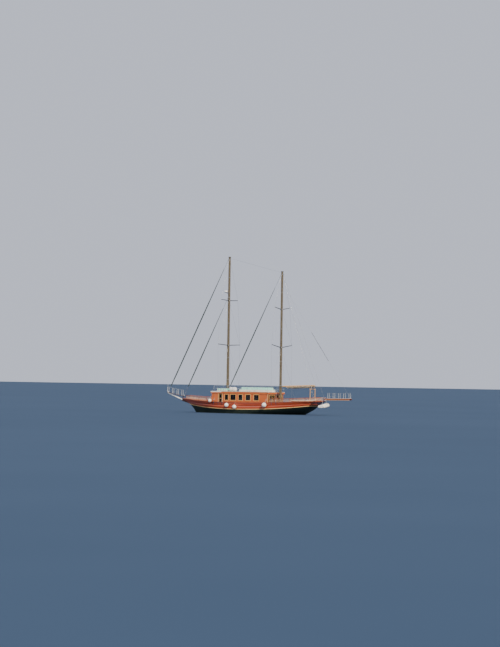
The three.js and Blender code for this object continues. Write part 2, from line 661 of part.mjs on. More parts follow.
// The panel starts below the deck and is cut level there; its top stays under the roof
const FRONT_PANEL = { below: 60, underRoof: 40 };
const frontOutline = rectangle(
  -HOUSE.half, HOUSE.half, -FRONT_PANEL.below, slantLength - FRONT_PANEL.underRoof,
);
const frontPanel = layBack(endView(frontOutline, -HOUSE.thick, 0, frontWindows));
const underFrontWall = block(
  HOUSE.frontTopX - 2 * HOUSE.half, HOUSE.frontFootX + HOUSE.half, -HOUSE.half - 100, HOUSE.half + 100,
  0, deckTop(HOUSE.frontFootX + FRONT_PANEL.below) + FIT,
);
piece("front_wall", cut(frontPanel, underFrontWall), "orangeVarnish");
piece(
  "glass_front",
  layBack(
    endView(rectangle(-2130, 2130, 700, slantLength - 350), -HOUSE.thick - FIT - 10, -HOUSE.thick - FIT),
  ),
  "glass",
);

// Aft wall and its door
const DOOR_AFT = {
  y0: -750, y1: -50, top: 3000, thick: 45, play: 5, stile: 120, glassFoot: 2180, glassTop: 2860,
};
const aftHalf = HOUSE.half - HOUSE.thick - FIT;
const aftFoot = onDeck(HOUSE.aftX, HOUSE.aftX + HOUSE.thick);
const aftDoorFoot = aftFoot + 60;
const aftDoorAxis = [HOUSE.aftX - 19, DOOR_AFT.y0 - 8];
const aftDoorHinge = doorHinge(
  ...aftDoorAxis, aftDoorFoot,
  [HOUSE.aftX - 31, HOUSE.aftX + 8, aftDoorAxis[1] - 40, aftDoorAxis[1] + 10],
  [HOUSE.aftX - 27, HOUSE.aftX + 8, aftDoorAxis[1] + 10, aftDoorAxis[1] + 50],
);
const aftWallOutline = rectangle(-aftHalf, aftHalf, aftFoot, wallTop);
const aftWallOpenings = [
  rectangle(DOOR_AFT.y0, DOOR_AFT.y1, aftDoorFoot, DOOR_AFT.top),
  rectangle(-1900, -1100, WINDOW_FOOT, WINDOW_TOP),
  rectangle(350, 1900, WINDOW_FOOT, WINDOW_TOP),
];
piece(
  "aft_wall",
  aftDoorHinge.fixed(
    endView(aftWallOutline, HOUSE.aftX, HOUSE.aftX + HOUSE.thick, aftWallOpenings),
  ),
  "orangeVarnish",
);
const aftLeaf = rectangle(
  DOOR_AFT.y0 + DOOR_AFT.play, DOOR_AFT.y1 - DOOR_AFT.play, aftDoorFoot + DOOR_AFT.play,
  DOOR_AFT.top - DOOR_AFT.play,
);
const aftLeafWindow = rectangle(
  DOOR_AFT.y0 + DOOR_AFT.stile, DOOR_AFT.y1 - DOOR_AFT.stile, DOOR_AFT.glassFoot, DOOR_AFT.glassTop,
);
piece(
  "door_aft",
  aftDoorHinge.turning(endView(aftLeaf, HOUSE.aftX, HOUSE.aftX + DOOR_AFT.thick, [aftLeafWindow])),
  "mahoganyDark",
);

// Roof with its fascia; the main mast passes through it
const MAIN = { x: 3750, footRadius: 210, headRadius: 165, head: 24200, capRadius: 220 };
const MIZZEN = { x: -5700, footRadius: 195, headRadius: 160, head: 21800, capRadius: 205 };
const MAST_HOLE = MAIN.footRadius + 8;
const roofOuter = rectangle(HOUSE.roofAft, HOUSE.roofFore, -HOUSE.roofHalf, HOUSE.roofHalf);
const roofInner = rectangle(
  HOUSE.roofAft + HOUSE.fasciaThick, HOUSE.roofFore - HOUSE.fasciaThick, -HOUSE.roofHalf + HOUSE.fasciaThick,
  HOUSE.roofHalf - HOUSE.fasciaThick,
);
piece(
  "roof",
  cut(
    join(
      planView(roofOuter, HOUSE.roofZ - HOUSE.roofThick, HOUSE.roofZ),
      planView(roofOuter, HOUSE.fasciaFoot, HOUSE.roofZ - HOUSE.roofThick + 20, [roofInner]),
    ),
    rod(point(MAIN.x, 0, HOUSE.fasciaFoot), point(MAIN.x, 0, HOUSE.roofZ + 50), MAST_HOLE, MAST_HOLE, 24),
  ),
  "orangeVarnish",
);
const onRoof = HOUSE.roofZ + FIT;

// Masts
const MAST_SIDES = 16;
const mastFoot = (mast) => onDeck(mast.x - mast.footRadius, mast.x + mast.footRadius);
function mastRadius(mast, z) {
  const foot = mastFoot(mast);
  return mast.footRadius + ((mast.headRadius - mast.footRadius) * (z - foot)) / (mast.head - foot);
}
function mastSolid(mast, grow = 0) {
  const foot = mastFoot(mast) - grow;
  const height = mast.head - foot;
  return turned(
    point(mast.x, 0, foot), point(mast.x, 0, mast.head),
    [
      [0, mast.footRadius + grow], [height - 80, mast.headRadius + grow],
      [height - 70, mast.capRadius + grow], [height, mast.capRadius + grow],
    ],
    MAST_SIDES,
  );
}
piece("main_mast", mastSolid(MAIN), "sparVarnish");

// Gooseneck bracket of the mizzen boom: a plate with an upright pin
const GOOSENECK = { x: MIZZEN.x - 270, z: 4130, pinRadius: 18 };
piece(
  "mizzen_mast",
  join(
    mastSolid(MIZZEN),
    block(GOOSENECK.x - 50, MIZZEN.x - 100, -50, 50, GOOSENECK.z - 30, GOOSENECK.z),
    rod(
      point(GOOSENECK.x, 0, GOOSENECK.z - 10), point(GOOSENECK.x, 0, GOOSENECK.z + 190), GOOSENECK.pinRadius,
      GOOSENECK.pinRadius, 12,
    ),
  ),
  "sparVarnish",
);

// Spreaders: height at the mast and at the tip, half span and aft sweep
const ARM = { chord: 180, deep: 130, collarX: 270, collarY: 255, collarHalfTall: 65 };
const SPREADERS = {
  main_spreaders_lower: [MAIN, 10480, 10600, 3200, 120],
  main_spreaders_upper: [MAIN, 17400, 17500, 2430, 90],
  mizzen_spreaders_lower: [MIZZEN, 10160, 10550, 3050, 120],
  mizzen_spreaders_upper: [MIZZEN, 15970, 16250, 2300, 90],
};
for (const [name, [mast, rootZ, tipZ, span, sweep]] of Object.entries(SPREADERS)) {
  const rootY = mastRadius(mast, rootZ) - 30;
  const arms = [-1, 1].map((side) =>
    beam(point(mast.x, side * rootY, rootZ), point(mast.x - sweep, side * span, tipZ), ARM.chord, ARM.deep),
  );
  const collar = block(
    mast.x - ARM.collarX, mast.x + ARM.collarX, -ARM.collarY, ARM.collarY, rootZ - ARM.collarHalfTall,
    rootZ + ARM.collarHalfTall,
  );
  piece(name, cut(join(collar, ...arms), mastSolid(mast, FIT)), "sparVarnish");
}

// A taut wire between two faces: each end stops short of its face by the fit
function tie(from, faceFrom, to, faceTo, radius, sides = 6) {
  const direction = to.clone().sub(from).normalize();
  const short = (face) => {
    const along = Math.abs(direction.dot(face));
    return (FIT + 0.1 + radius * Math.sqrt(1 - along * along)) / along;
  };
  const start = from.clone().addScaledVector(direction, short(faceFrom));
  const end = to.clone().addScaledVector(direction, -short(faceTo));
  return { start, end, direction, wire: () => rod(start, end, radius, radius, sides) };
}
const FACE_X = point(1, 0, 0);
const FACE_Z = point(0, 0, 1);
const FACE_WALKWAY = point(WALKWAY.footZ - WALKWAY.tipZ, 0, WALKWAY.tip - WALKWAY.foot).normalize();
const STAY_RADIUS = 9;
const mastFace = (mast, z, side) => point(mast.x + side * mastRadius(mast, z), 0, z);
piece(
  "triatic_stay",
  tie(mastFace(MAIN, 23950, -1), FACE_X, mastFace(MIZZEN, 21600, 1), FACE_X, STAY_RADIUS).wire(), "stainless",
);

// Backstays from one tang at the mizzen masthead to the quarters
const BACKSTAY = { capInset: 98, headZ: 21300 };
const backstayFoot = capLine(-BACKSTAY.capInset)[STATIONS];
const backstayTang = block(
  MIZZEN.x - 250, MIZZEN.x - mastRadius(MIZZEN, BACKSTAY.headZ) - FIT, -70, 70, BACKSTAY.headZ - 100,
  BACKSTAY.headZ + 100,
);
const backstayWires = [-1, 1].map((side) => {
  const foot = point(backstayFoot[0], side * backstayFoot[1], backstayFoot[2]);
  const head = point(MIZZEN.x - 200, side * 40, BACKSTAY.headZ);
  return rod(tie(foot, FACE_Z, head, FACE_Z, 14).start, head, STAY_RADIUS + 3, STAY_RADIUS + 3, 6);
});
piece("backstays", join(backstayTang, ...backstayWires), "stainless");

// Furled sails on their stays: both ends with their faces, the drum's place on the wire,
// the heights where the roll starts and ends, and its radius
const FURLED = {
  jib_furled: [
    walkwayEnd(14720, WALKWAY.thick + 0.4), FACE_WALKWAY, mastFace(MAIN, 23900, 1), FACE_X, 60, 4000, 22400,
    95,
  ],
  staysail_furled: [
    walkwayEnd(11760, WALKWAY.thick + 0.4), FACE_WALKWAY, mastFace(MAIN, 17900, 1), FACE_X, 60, 4000, 16300,
    90,
  ],
  mizzen_staysail_furled: [
    mastFace(MAIN, 3660, -1), FACE_X, mastFace(MIZZEN, 21400, 1), FACE_X, 230, 4200, 19300, 85,
  ],
};
const DRUM = { radius: 75, deep: 140, stem: 24 };
const BARE_WIRE = 12;
for (const [name, row] of Object.entries(FURLED)) {
  const [tack, faceTack, head, faceHead, drum, rollFoot, rollTop, radius] = row;
  const line = tie(tack, faceTack, head, faceHead, BARE_WIRE);
  const length = line.start.distanceTo(line.end);
  const along = (z) => (z - line.start.z) / line.direction.z;
  piece(
    name,
    turned(line.start, line.end, [
      [0, BARE_WIRE], [drum, BARE_WIRE], [drum + 10, DRUM.radius], [drum + DRUM.deep - 10, DRUM.radius],
      [drum + DRUM.deep, DRUM.stem], [along(rollFoot) - 100, DRUM.stem],
      [along(rollFoot), radius * 0.75], [along(rollFoot) + 2200, radius],
      [along(rollTop) - 6000, radius * 0.85], [along(rollTop), radius * 0.35],
      [along(rollTop) + 120, BARE_WIRE], [length, BARE_WIRE],
    ], 10),
    "headsailCover",
  );
}

// Mizzen boom on its gooseneck, with the furled mizzen laced under it
const BOOM = { endX: -11850, footZ: 4250, endZ: 4490, radius: 75, taper: 10 };
const boomRoot = point(GOOSENECK.x - 25, 0, BOOM.footZ);
const boomEnd = point(BOOM.endX, 0, BOOM.endZ);
const goosePin = rod(
  point(GOOSENECK.x, 0, 3900), point(GOOSENECK.x, 0, 4700), GOOSENECK.pinRadius + PIN_PLAY,
  GOOSENECK.pinRadius + PIN_PLAY, 12,
);
const boomEye = rod(
  point(GOOSENECK.x, 0, GOOSENECK.z + PIN_PLAY), point(GOOSENECK.x, 0, GOOSENECK.z + 170), 48, 48, 12,
);
piece(
  "mizzen_boom",
  cut(join(rod(boomRoot, boomEnd, BOOM.radius, BOOM.radius - BOOM.taper, 12), boomEye), goosePin),
  "mahoganyDark",
);
// The bundle's sections: x, half width, half depth; it hangs from the boom's underside
function boomUnder(x) {
  const share = (boomRoot.x - x) / (boomRoot.x - BOOM.endX);
  return BOOM.footZ + (BOOM.endZ - BOOM.footZ) * share - BOOM.radius + BOOM.taper * share - 0.3;
}
const BUNDLE = [
  [-6700, 60, 70], [-6950, 115, 130], [-7900, 150, 160], [-9000, 160, 165],
  [-10100, 150, 160], [-11200, 135, 150], [-11650, 110, 120], [-11820, 50, 60],
];
const bundleSides = 10;
piece(
  "mizzen_sail",
  loft(
    BUNDLE.map(([x, halfWide, halfDeep]) =>
      Array.from({ length: bundleSides }, (_, n) => {
        const angle = (n * 2 * Math.PI) / bundleSides;
        return [x, halfWide * Math.sin(angle), boomUnder(x) - halfDeep + halfDeep * Math.cos(angle)];
      }),
    ),
  ),
  "sailcloth",
);

// Boom gallows
const GALLOWS = {
  x: -11300, half: 750, reach: 900, barHalf: 45, z0: 3860, z1: 3950, post: 38, foot: 80, footTall: 20,
};
const gallowsFoot = onDeck(GALLOWS.x - GALLOWS.foot, GALLOWS.x + GALLOWS.foot);
const onGallows = (side, z) => point(GALLOWS.x, side * GALLOWS.half, z);
piece(
  "boom_gallows",
  join(
    block(
      GALLOWS.x - GALLOWS.barHalf, GALLOWS.x + GALLOWS.barHalf, -GALLOWS.reach, GALLOWS.reach, GALLOWS.z0,
      GALLOWS.z1,
    ),
    ...[-1, 1].flatMap((side) => [
      rod(onGallows(side, gallowsFoot), onGallows(side, GALLOWS.z0 + 20), GALLOWS.post, GALLOWS.post, 8),
      rod(
        onGallows(side, gallowsFoot), onGallows(side, gallowsFoot + GALLOWS.footTall), GALLOWS.foot,
        GALLOWS.foot, 8,
      ),
    ]),
  ),
  "stainless",
);

// Radar on the front of the main mast
const RADAR = {
  z: 18700, x: MAIN.x + 560, radius: 310, tall: 280, crown: 200, foot: 250, braceTall: 260, braceHalf: 80,
  trayHalf: 130, trayThick: 40,
};
piece(
  "radar",
  join(
    block(
      MAIN.x + mastRadius(MAIN, RADAR.z - RADAR.braceTall) + 2 * FIT, MAIN.x + mastRadius(MAIN, RADAR.z) + 60,
      -RADAR.braceHalf, RADAR.braceHalf, RADAR.z - RADAR.braceTall, RADAR.z,
    ),
    block(
      MAIN.x + mastRadius(MAIN, RADAR.z) + 20, RADAR.x + 200, -RADAR.trayHalf, RADAR.trayHalf,
      RADAR.z - RADAR.trayThick, RADAR.z,
    ),
    turned(
      point(RADAR.x, 0, RADAR.z - 20), point(RADAR.x, 0, RADAR.z - 20 + RADAR.tall),
      [[0, RADAR.foot], [60, RADAR.radius], [RADAR.tall - 90, RADAR.radius], [RADAR.tall, RADAR.crown]], 16,
    ),
  ),
  "whitePaint",
);

// Steering: pedestal and wheel on the aft deck
const HELM = {
  x: -5480, y: 1200, rim: 440, rimThick: 24, reach: 540, spoke: 16, hub: 70, hubHalf: 34, axle: 850,
  axleLong: 140, plinthX: 130, plinthY: 170, plinthTall: 60, columnX: 90, columnY: 120, tall: 1000,
};
const helmFoot = onDeck(HELM.x - HELM.plinthX, HELM.x + HELM.plinthX);
const helmAxis = helmFoot + HELM.axle;
piece(
  "helm_pedestal",
  join(
    block(
      HELM.x - HELM.plinthX, HELM.x + HELM.plinthX, HELM.y - HELM.plinthY, HELM.y + HELM.plinthY,
      helmFoot, helmFoot + HELM.plinthTall,
    ),
    block(
      HELM.x - HELM.columnX, HELM.x + HELM.columnX, HELM.y - HELM.columnY, HELM.y + HELM.columnY,
      helmFoot + HELM.plinthTall - 20, helmFoot + HELM.tall,
    ),
    rod(point(HELM.x, HELM.y, helmAxis), point(HELM.x - HELM.axleLong, HELM.y, helmAxis), 30, 30, 10),
  ),
  "mahogany",
);
const wheelX = HELM.x - HELM.axleLong - PIN_PLAY - HELM.hubHalf;
const wheelRim = weld(new THREE.TorusGeometry(HELM.rim, HELM.rimThick, 5, 20)).rotateY(Math.PI / 2).translate(
  wheelX, HELM.y, helmAxis,
);
const wheelSpokes = Array.from({ length: 6 }, (_, n) => {
  const angle = (n * Math.PI) / 3;
  const tip = (r) => point(wheelX, HELM.y + r * Math.sin(angle), helmAxis + r * Math.cos(angle));
  return rod(tip(0), tip(HELM.reach), HELM.spoke, HELM.spoke - 2, 5);
});
const wheelHub = rod(
  point(wheelX - HELM.hubHalf, HELM.y, helmAxis), point(wheelX + HELM.hubHalf, HELM.y, helmAxis), HELM.hub,
  HELM.hub, 12,
);
piece("helm_wheel", join(wheelRim, wheelHub, ...wheelSpokes), "mahogany");

// Gangway hinged on the stern rail
const passerelleZ = PASSERELLE.rootZ;
function passerelleTop(x) {
  const root = PASSERELLE.rootX - 26;
  return passerelleZ + PASSERELLE.halfThick + (PASSERELLE.riseZ * (root - x)) / (root - PASSERELLE.tipX);
}
const passerelleSide = [
  [PASSERELLE.rootX - 26, passerelleZ - PASSERELLE.halfThick],
  [PASSERELLE.rootX - 26, passerelleZ + PASSERELLE.halfThick],
  [PASSERELLE.tipX, passerelleTop(PASSERELLE.tipX)],
  [PASSERELLE.tipX, passerelleTop(PASSERELLE.tipX) - PASSERELLE.deep],
  [PASSERELLE.deepFrom, passerelleTop(PASSERELLE.deepFrom) - PASSERELLE.deep],
];
const hingeKnuckle = rod(
  point(PASSERELLE.rootX, GANGWAY_Y - PASSERELLE.half, passerelleZ),
  point(PASSERELLE.rootX, GANGWAY_Y + PASSERELLE.half, passerelleZ), 40, 40, 12,
);
const hingeBore = rod(
  point(PASSERELLE.rootX, GANGWAY_Y - 500, passerelleZ),
  point(PASSERELLE.rootX, GANGWAY_Y + 500, passerelleZ), HINGE.radius + PIN_PLAY, HINGE.radius + PIN_PLAY, 12,
);
// Its underside is hollow between two stringers
const hollowEnds = [PASSERELLE.deepFrom - PASSERELLE.wall, PASSERELLE.tipX + PASSERELLE.wall];
const passerelleHollow = sideView(
  [
    ...hollowEnds.map((x) => [x, passerelleTop(x) - PASSERELLE.deep - PAST]),
    ...hollowEnds.map((x) => [x, passerelleTop(x) - PASSERELLE.wall]).reverse(),
  ],
  GANGWAY_Y - PASSERELLE.half + PASSERELLE.wall, GANGWAY_Y + PASSERELLE.half - PASSERELLE.wall,
);
const passerelleBody = sideView(passerelleSide, GANGWAY_Y - PASSERELLE.half, GANGWAY_Y + PASSERELLE.half);
piece("passerelle", cut(join(passerelleBody, hingeKnuckle), hingeBore, passerelleHollow), "mahogany");
const passerellePosts = [0, 1, 2, 3, 4].map((n) => -13500 - 900 * n);
const gangRail = (y) => [
  ...passerellePosts.map((x) =>
    rod(point(x, y, passerelleTop(x) + 10), point(x, y, passerelleTop(x) + 820), 14, 14, TUBE_SIDES),
  ),
  rod(
    point(passerellePosts[0] + 30, y, passerelleTop(passerellePosts[0]) + 800),
    point(passerellePosts[4] - 30, y, passerelleTop(passerellePosts[4]) + 800), 18, 18, TUBE_SIDES,
  ),
];
const gangFoot = [-1, 1].map((side) => {
  const y = GANGWAY_Y + side * (PASSERELLE.half - 24);
  return beam(
    point(passerellePosts[0] + 100, y, passerelleTop(passerellePosts[0] + 100) + 14.3 + FIT),
    point(passerellePosts[4] - 100, y, passerelleTop(passerellePosts[4] - 100) + 14.3 + FIT), 34, 28,
  );
});
const gangTie = beam(
  point(
    passerellePosts[4] - 80, GANGWAY_Y - PASSERELLE.half + 20,
    passerelleTop(passerellePosts[4] - 80) + 14.3 + FIT,
  ),
  point(
    passerellePosts[4] - 80, GANGWAY_Y + PASSERELLE.half - 20,
    passerelleTop(passerellePosts[4] - 80) + 14.3 + FIT,
  ), 34, 28,
);
piece(
  "passerelle_rail",
  join(
    ...gangFoot, gangTie, ...gangRail(GANGWAY_Y - PASSERELLE.half + 24),
    ...gangRail(GANGWAY_Y + PASSERELLE.half - 24),
  ),
  "whitePaint",
);
// Lift from the mizzen mast to the gangway's tip, with its block
const liftHead = mastFace(MIZZEN, 19600, -1);
const liftX = PASSERELLE.tipX + 50;
const liftFoot = point(liftX, GANGWAY_Y, passerelleTop(liftX));
const liftTie = tie(liftFoot, FACE_Z, liftHead, FACE_X, 7);
const liftAt = (z) => liftTie.start.clone().addScaledVector(
  liftTie.direction, (z - liftTie.start.z) / liftTie.direction.z,
);
piece(
  "passerelle_lift",
  join(
    liftTie.wire(), rod(liftAt(8050), liftAt(8350), 55, 55, 8), rod(liftAt(12400), liftAt(12600), 40, 40, 8),
  ),
  "stainless",
);

// Tender hung level across the stern under two davits, its bow to starboard and a little high
const TENDER = {
  x: -13600, z: 1450, bowY: -380, kneeY: 60, aftY: 1500, halfWide: 430, bowHalf: 190, tube: 190, slope: 0.13,
  bowRise: 90,
};
const tenderAt = (x, y, rise = 0) => point(
  TENDER.x + x, y, TENDER.z + TENDER.slope * (TENDER.kneeY - y) + rise,
);
const tubeRun = (from, to) => rod(from, to, TENDER.tube, TENDER.tube, 10);
const tubeCorner = (at) => weld(new THREE.SphereGeometry(TENDER.tube, 10, 8)).translate(at.x, at.y, at.z);
const tenderSides = [-1, 1].flatMap((side) => {
  const aft = tenderAt(side * TENDER.halfWide, TENDER.aftY);
  const knee = tenderAt(side * TENDER.halfWide, TENDER.kneeY);
  const bow = tenderAt(side * TENDER.bowHalf, TENDER.bowY, TENDER.bowRise);
  return [tubeRun(aft, knee), tubeRun(knee, bow), tubeCorner(knee), tubeCorner(bow)];
});
const tenderBow = tubeRun(
  tenderAt(-TENDER.bowHalf, TENDER.bowY, TENDER.bowRise),
  tenderAt(TENDER.bowHalf, TENDER.bowY, TENDER.bowRise),
);
const tenderFloor = beam(
  tenderAt(0, TENDER.aftY - 60, -100), tenderAt(0, TENDER.bowY, -100), 2 * TENDER.halfWide, 30,
);
const tenderTransom = block(
  TENDER.x - TENDER.halfWide, TENDER.x + TENDER.halfWide, TENDER.aftY - 100, TENDER.aftY - 60,
  tenderAt(0, TENDER.aftY).z - 110, tenderAt(0, TENDER.aftY).z + 170,
);
// Each davit: an arm from the cap rail out over the tender and a fall down to a thwart;
// a crossbar joins the two
const DAVIT = {
  ys: [-60, 1060], armZ: 2620, footX: sternCorner[0], footRadius: 30, footTall: 90, armSide: 60,
  fallRadius: 12, barRadius: 22, thwartUp: 100, thwartThick: 30, thwartHalf: 90,
};
const thwartTop = (y) => tenderAt(0, y).z + DAVIT.thwartUp + DAVIT.thwartThick;
const thwarts = DAVIT.ys.map((y) =>
  block(
    TENDER.x - TENDER.halfWide, TENDER.x + TENDER.halfWide, y - DAVIT.thwartHalf, y + DAVIT.thwartHalf,
    thwartTop(y) - DAVIT.thwartThick, thwartTop(y),
  ),
);
piece("tender", join(...tenderSides, tenderBow, tenderFloor, tenderTransom, ...thwarts), "hypalon");
const davitFoot = capTop(DAVIT.footX - 30) + RAIL.shoe + FIT;
piece(
  "davits",
  join(
    ...DAVIT.ys.flatMap((y) => [
      rod(
        point(DAVIT.footX, y, davitFoot), point(DAVIT.footX, y, davitFoot + DAVIT.footTall),
        DAVIT.footRadius, DAVIT.footRadius, 8,
      ),
      beam(
        point(DAVIT.footX, y, davitFoot + DAVIT.armSide), point(TENDER.x, y, DAVIT.armZ),
        DAVIT.armSide, DAVIT.armSide,
      ),
      rod(
        point(TENDER.x, y, DAVIT.armZ + 20), point(TENDER.x, y, thwartTop(y) + FIT),
        DAVIT.fallRadius, DAVIT.fallRadius, 6,
      ),
    ]),
    rod(
      point(TENDER.x + DAVIT.armSide, DAVIT.ys[0], DAVIT.armZ),
      point(TENDER.x + DAVIT.armSide, DAVIT.ys[1], DAVIT.armZ), DAVIT.barRadius, DAVIT.barRadius, 8,
    ),
  ),
  "stainless",
);

// Guard rails along the roof
const ROOF_RAIL = { y: 2430, top: 4200, mid: 3800, x0: -4900, x1: 4700, spacing: 1200, radius: 15 };
for (const [name, side] of [["roof_rail_port", 1], ["roof_rail_starboard", -1]]) {
  const y = side * ROOF_RAIL.y;
  const count = Math.round((ROOF_RAIL.x1 - ROOF_RAIL.x0) / ROOF_RAIL.spacing);
  const posts = Array.from({ length: count + 1 }, (_, n) => {
    const x = ROOF_RAIL.x0 + ((ROOF_RAIL.x1 - ROOF_RAIL.x0) * n) / count;
    return rod(
      point(x, y, onRoof), point(x, y, ROOF_RAIL.top), ROOF_RAIL.radius, ROOF_RAIL.radius, TUBE_SIDES,
    );
  });
  const barRadius = ROOF_RAIL.radius + 4;
  const bars = [ROOF_RAIL.top, ROOF_RAIL.mid].map((z) =>
    rod(point(ROOF_RAIL.x0 - 20, y, z), point(ROOF_RAIL.x1 + 20, y, z), barRadius, barRadius, TUBE_SIDES),
  );
  piece(name, join(...posts, ...bars), "stainless");
}

// Seats on the roof: a base with a centre back, pads each side, and a pad round the mast
const SETTEE = { x0: -4400, x1: 1200, half: 800, seatZ: 3600, backZ: 4000, backHalf: 30, pad: 120 };
piece(
  "roof_settee",
  endView([
    [-SETTEE.half, onRoof], [SETTEE.half, onRoof],
    [SETTEE.half, SETTEE.seatZ], [SETTEE.backHalf, SETTEE.seatZ],
    [SETTEE.backHalf, SETTEE.backZ], [-SETTEE.backHalf, SETTEE.backZ],
    [-SETTEE.backHalf, SETTEE.seatZ], [-SETTEE.half, SETTEE.seatZ],
  ], SETTEE.x0, SETTEE.x1),
  "whitePaint",
);
for (const [name, side] of [["roof_pads_port", 1], ["roof_pads_starboard", -1]]) {
  const inner = SETTEE.backHalf + FIT;
  const padView = [
    [inner, SETTEE.seatZ + FIT], [SETTEE.half - 10, SETTEE.seatZ + FIT],
    [SETTEE.half - 10, SETTEE.seatZ + SETTEE.pad], [inner + SETTEE.pad + 60, SETTEE.seatZ + SETTEE.pad],
    [inner + SETTEE.pad, SETTEE.backZ + 50], [inner, SETTEE.backZ + 50],
  ].map(([y, z]) => [side * y, z]);
  piece(name, endView(side > 0 ? padView : padView.reverse(), SETTEE.x0 + 20, SETTEE.x1 - 20), "mint");
}
const SUNPAD = { x0: 3050, x1: 4750, half: 1500, slotHalf: 420, slotTo: 4150, top: 3800 };
piece(
  "roof_sunpad",
  planView([
    [SUNPAD.x0, -SUNPAD.half], [SUNPAD.x1, -SUNPAD.half],
    [SUNPAD.x1, SUNPAD.half], [SUNPAD.x0, SUNPAD.half],
    [SUNPAD.x0, SUNPAD.slotHalf], [SUNPAD.slotTo, SUNPAD.slotHalf],
    [SUNPAD.slotTo, -SUNPAD.slotHalf], [SUNPAD.x0, -SUNPAD.slotHalf],
  ], onRoof, SUNPAD.top),
  "mint",
);

// Liferaft canister on its cradle
const RAFT = {
  x: 2200, y: 900, radius: 300, end: 190, shoulder: 110, half: 600, z: 3710, cradleX: 330, cradleHalf: 30,
  cradleY: 240, cradleTop: 3580,
};
piece(
  "liferaft",
  join(
    turned(
      point(RAFT.x - RAFT.half, RAFT.y, RAFT.z), point(RAFT.x + RAFT.half, RAFT.y, RAFT.z),
      [
        [0, RAFT.end], [RAFT.shoulder, RAFT.radius], [2 * RAFT.half - RAFT.shoulder, RAFT.radius],
        [2 * RAFT.half, RAFT.end],
      ], 14,
    ),
    ...[-1, 1].map((side) => {
      const x = RAFT.x + side * RAFT.cradleX;
      return block(
        x - RAFT.cradleHalf, x + RAFT.cradleHalf, RAFT.y - RAFT.cradleY, RAFT.y + RAFT.cradleY, onRoof,
        RAFT.cradleTop,
      );
    }),
  ),
  "whitePaint",
);

// Bench round the aft deck with its cushion
const BENCH = {
  aft: -11150, seatIn: -10600, fore: -8900, outAft: 1620, outFore: 2250, deep: 560, tall: 400, pad: 110,
};
const benchPlan = (inset) => {
  const port = [
    [BENCH.fore - inset, BENCH.outFore - inset], [BENCH.aft + inset, BENCH.outAft - inset],
  ];
  const portInner = [
    [BENCH.seatIn - inset, BENCH.outAft - BENCH.deep + inset],
    [BENCH.fore - inset, BENCH.outFore - BENCH.deep + inset],
  ];
  const [outer, inner] = [port, portInner].map((side) => side.map(([x, y]) => [x, -y]).reverse());
  return [...outer, ...inner, ...portInner, ...port];
};
const benchFoot = onDeck(BENCH.aft, BENCH.fore);
piece("aft_bench", planView(benchPlan(0), benchFoot, benchFoot + BENCH.tall), "mahogany");
piece(
  "aft_cushions", planView(benchPlan(8), benchFoot + BENCH.tall + FIT, benchFoot + BENCH.tall + BENCH.pad),
  "cream",
);

// Rudder and propeller
const rudderSide = [
  [RUDDER.stockX + 200, RUDDER.topZ - 40],
  [RUDDER.stockX + 160, RUDDER.bottomZ],
  [RUDDER.aftX + 80, RUDDER.bottomZ - 30],
  [RUDDER.aftX, RUDDER.bottomZ + 300],
  [RUDDER.aftX + 120, RUDDER.topZ - 60],
].reverse();
const STOCK_RADIUS = 70;
piece(
  "rudder",
  join(
    sideView(rudderSide, -RUDDER.halfThick, RUDDER.halfThick),
    rod(
      point(RUDDER.stockX, 0, KEEL.shoeTop + PIN_PLAY),
      point(RUDDER.stockX, 0, RUDDER.trunkBottom - PIN_PLAY), STOCK_RADIUS, STOCK_RADIUS, 12,
    ),
  ),
  "antifouling",
);
const propHubFore = KEEL.postX - SHAFT.bossLong - PIN_PLAY;
const PROPELLER = { blades: 4, thick: 26, pitch: 0.65, bladesBack: 150 };
// The hub's profile: distance aft and radius; a blade's outline: across and out from the shaft
const HUB = [[0, 120], [240, 105], [380, 60], [420, 20]];
const BLADE = [[-60, 60], [60, 60], [150, 330], [90, 480], [-90, 480], [-150, 330]];
const bladeShape = new THREE.Shape(BLADE.map(([a, b]) => new THREE.Vector2(a, b)));
const hubLong = HUB[HUB.length - 1][0];
const hub = turned(point(propHubFore, 0, SHAFT.z), point(propHubFore - hubLong, 0, SHAFT.z), HUB, 14);
const blades = Array.from({ length: PROPELLER.blades }, (_, n) =>
  weld(new THREE.ExtrudeGeometry(bladeShape, flat(PROPELLER.thick)))
    .translate(0, 0, -PROPELLER.thick / 2)
    .rotateY(Math.PI / 2 + PROPELLER.pitch)
    .rotateX((2 * n * Math.PI) / PROPELLER.blades)
    .translate(propHubFore - PROPELLER.bladesBack, 0, SHAFT.z),
);
piece("propeller", join(hub, ...blades), "bronze");

// Fenders against the port side: x, height and radius
const FENDERS = [
  [5100, 1900, 275],
  [1800, 1270, 320],
  [350, 1030, 320],
  [-4840, 1400, 360],
];
// Moves a ball in from clear water until it meets the ship's side, by halving the step
const shipSide = [hull, bulwark, capRail].map(solidOf).reduce((a, b) => a.add(b));
function leanOn(radius, x, z) {
  const ballAt = (y) => weld(new THREE.SphereGeometry(radius, 14, 10)).translate(x, y, z);
  let [inside, outside] = [rowHalf(rows.cap, x), rowHalf(rows.cap, x) + 2 * radius];
  while (outside - inside > 0.2) {
    const y = (inside + outside) / 2;
    if (shipSide.intersect(solidOf(ballAt(y))).volume() > 0) inside = y;
    else outside = y;
  }
  return ballAt(outside + FIT);
}
FENDERS.forEach(([x, z, radius], n) => piece(`fender_${n + 1}`, leanOn(radius, x, z), "fender"));

export default ship;
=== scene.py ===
"""A two-masted wooden motor sailer, afloat with furled sails: the dressed model over its CAD frame."""
import math
import random

import bmesh
import bpy
import numpy as np
import mathutils.kdtree
from mathutils import Matrix, Vector


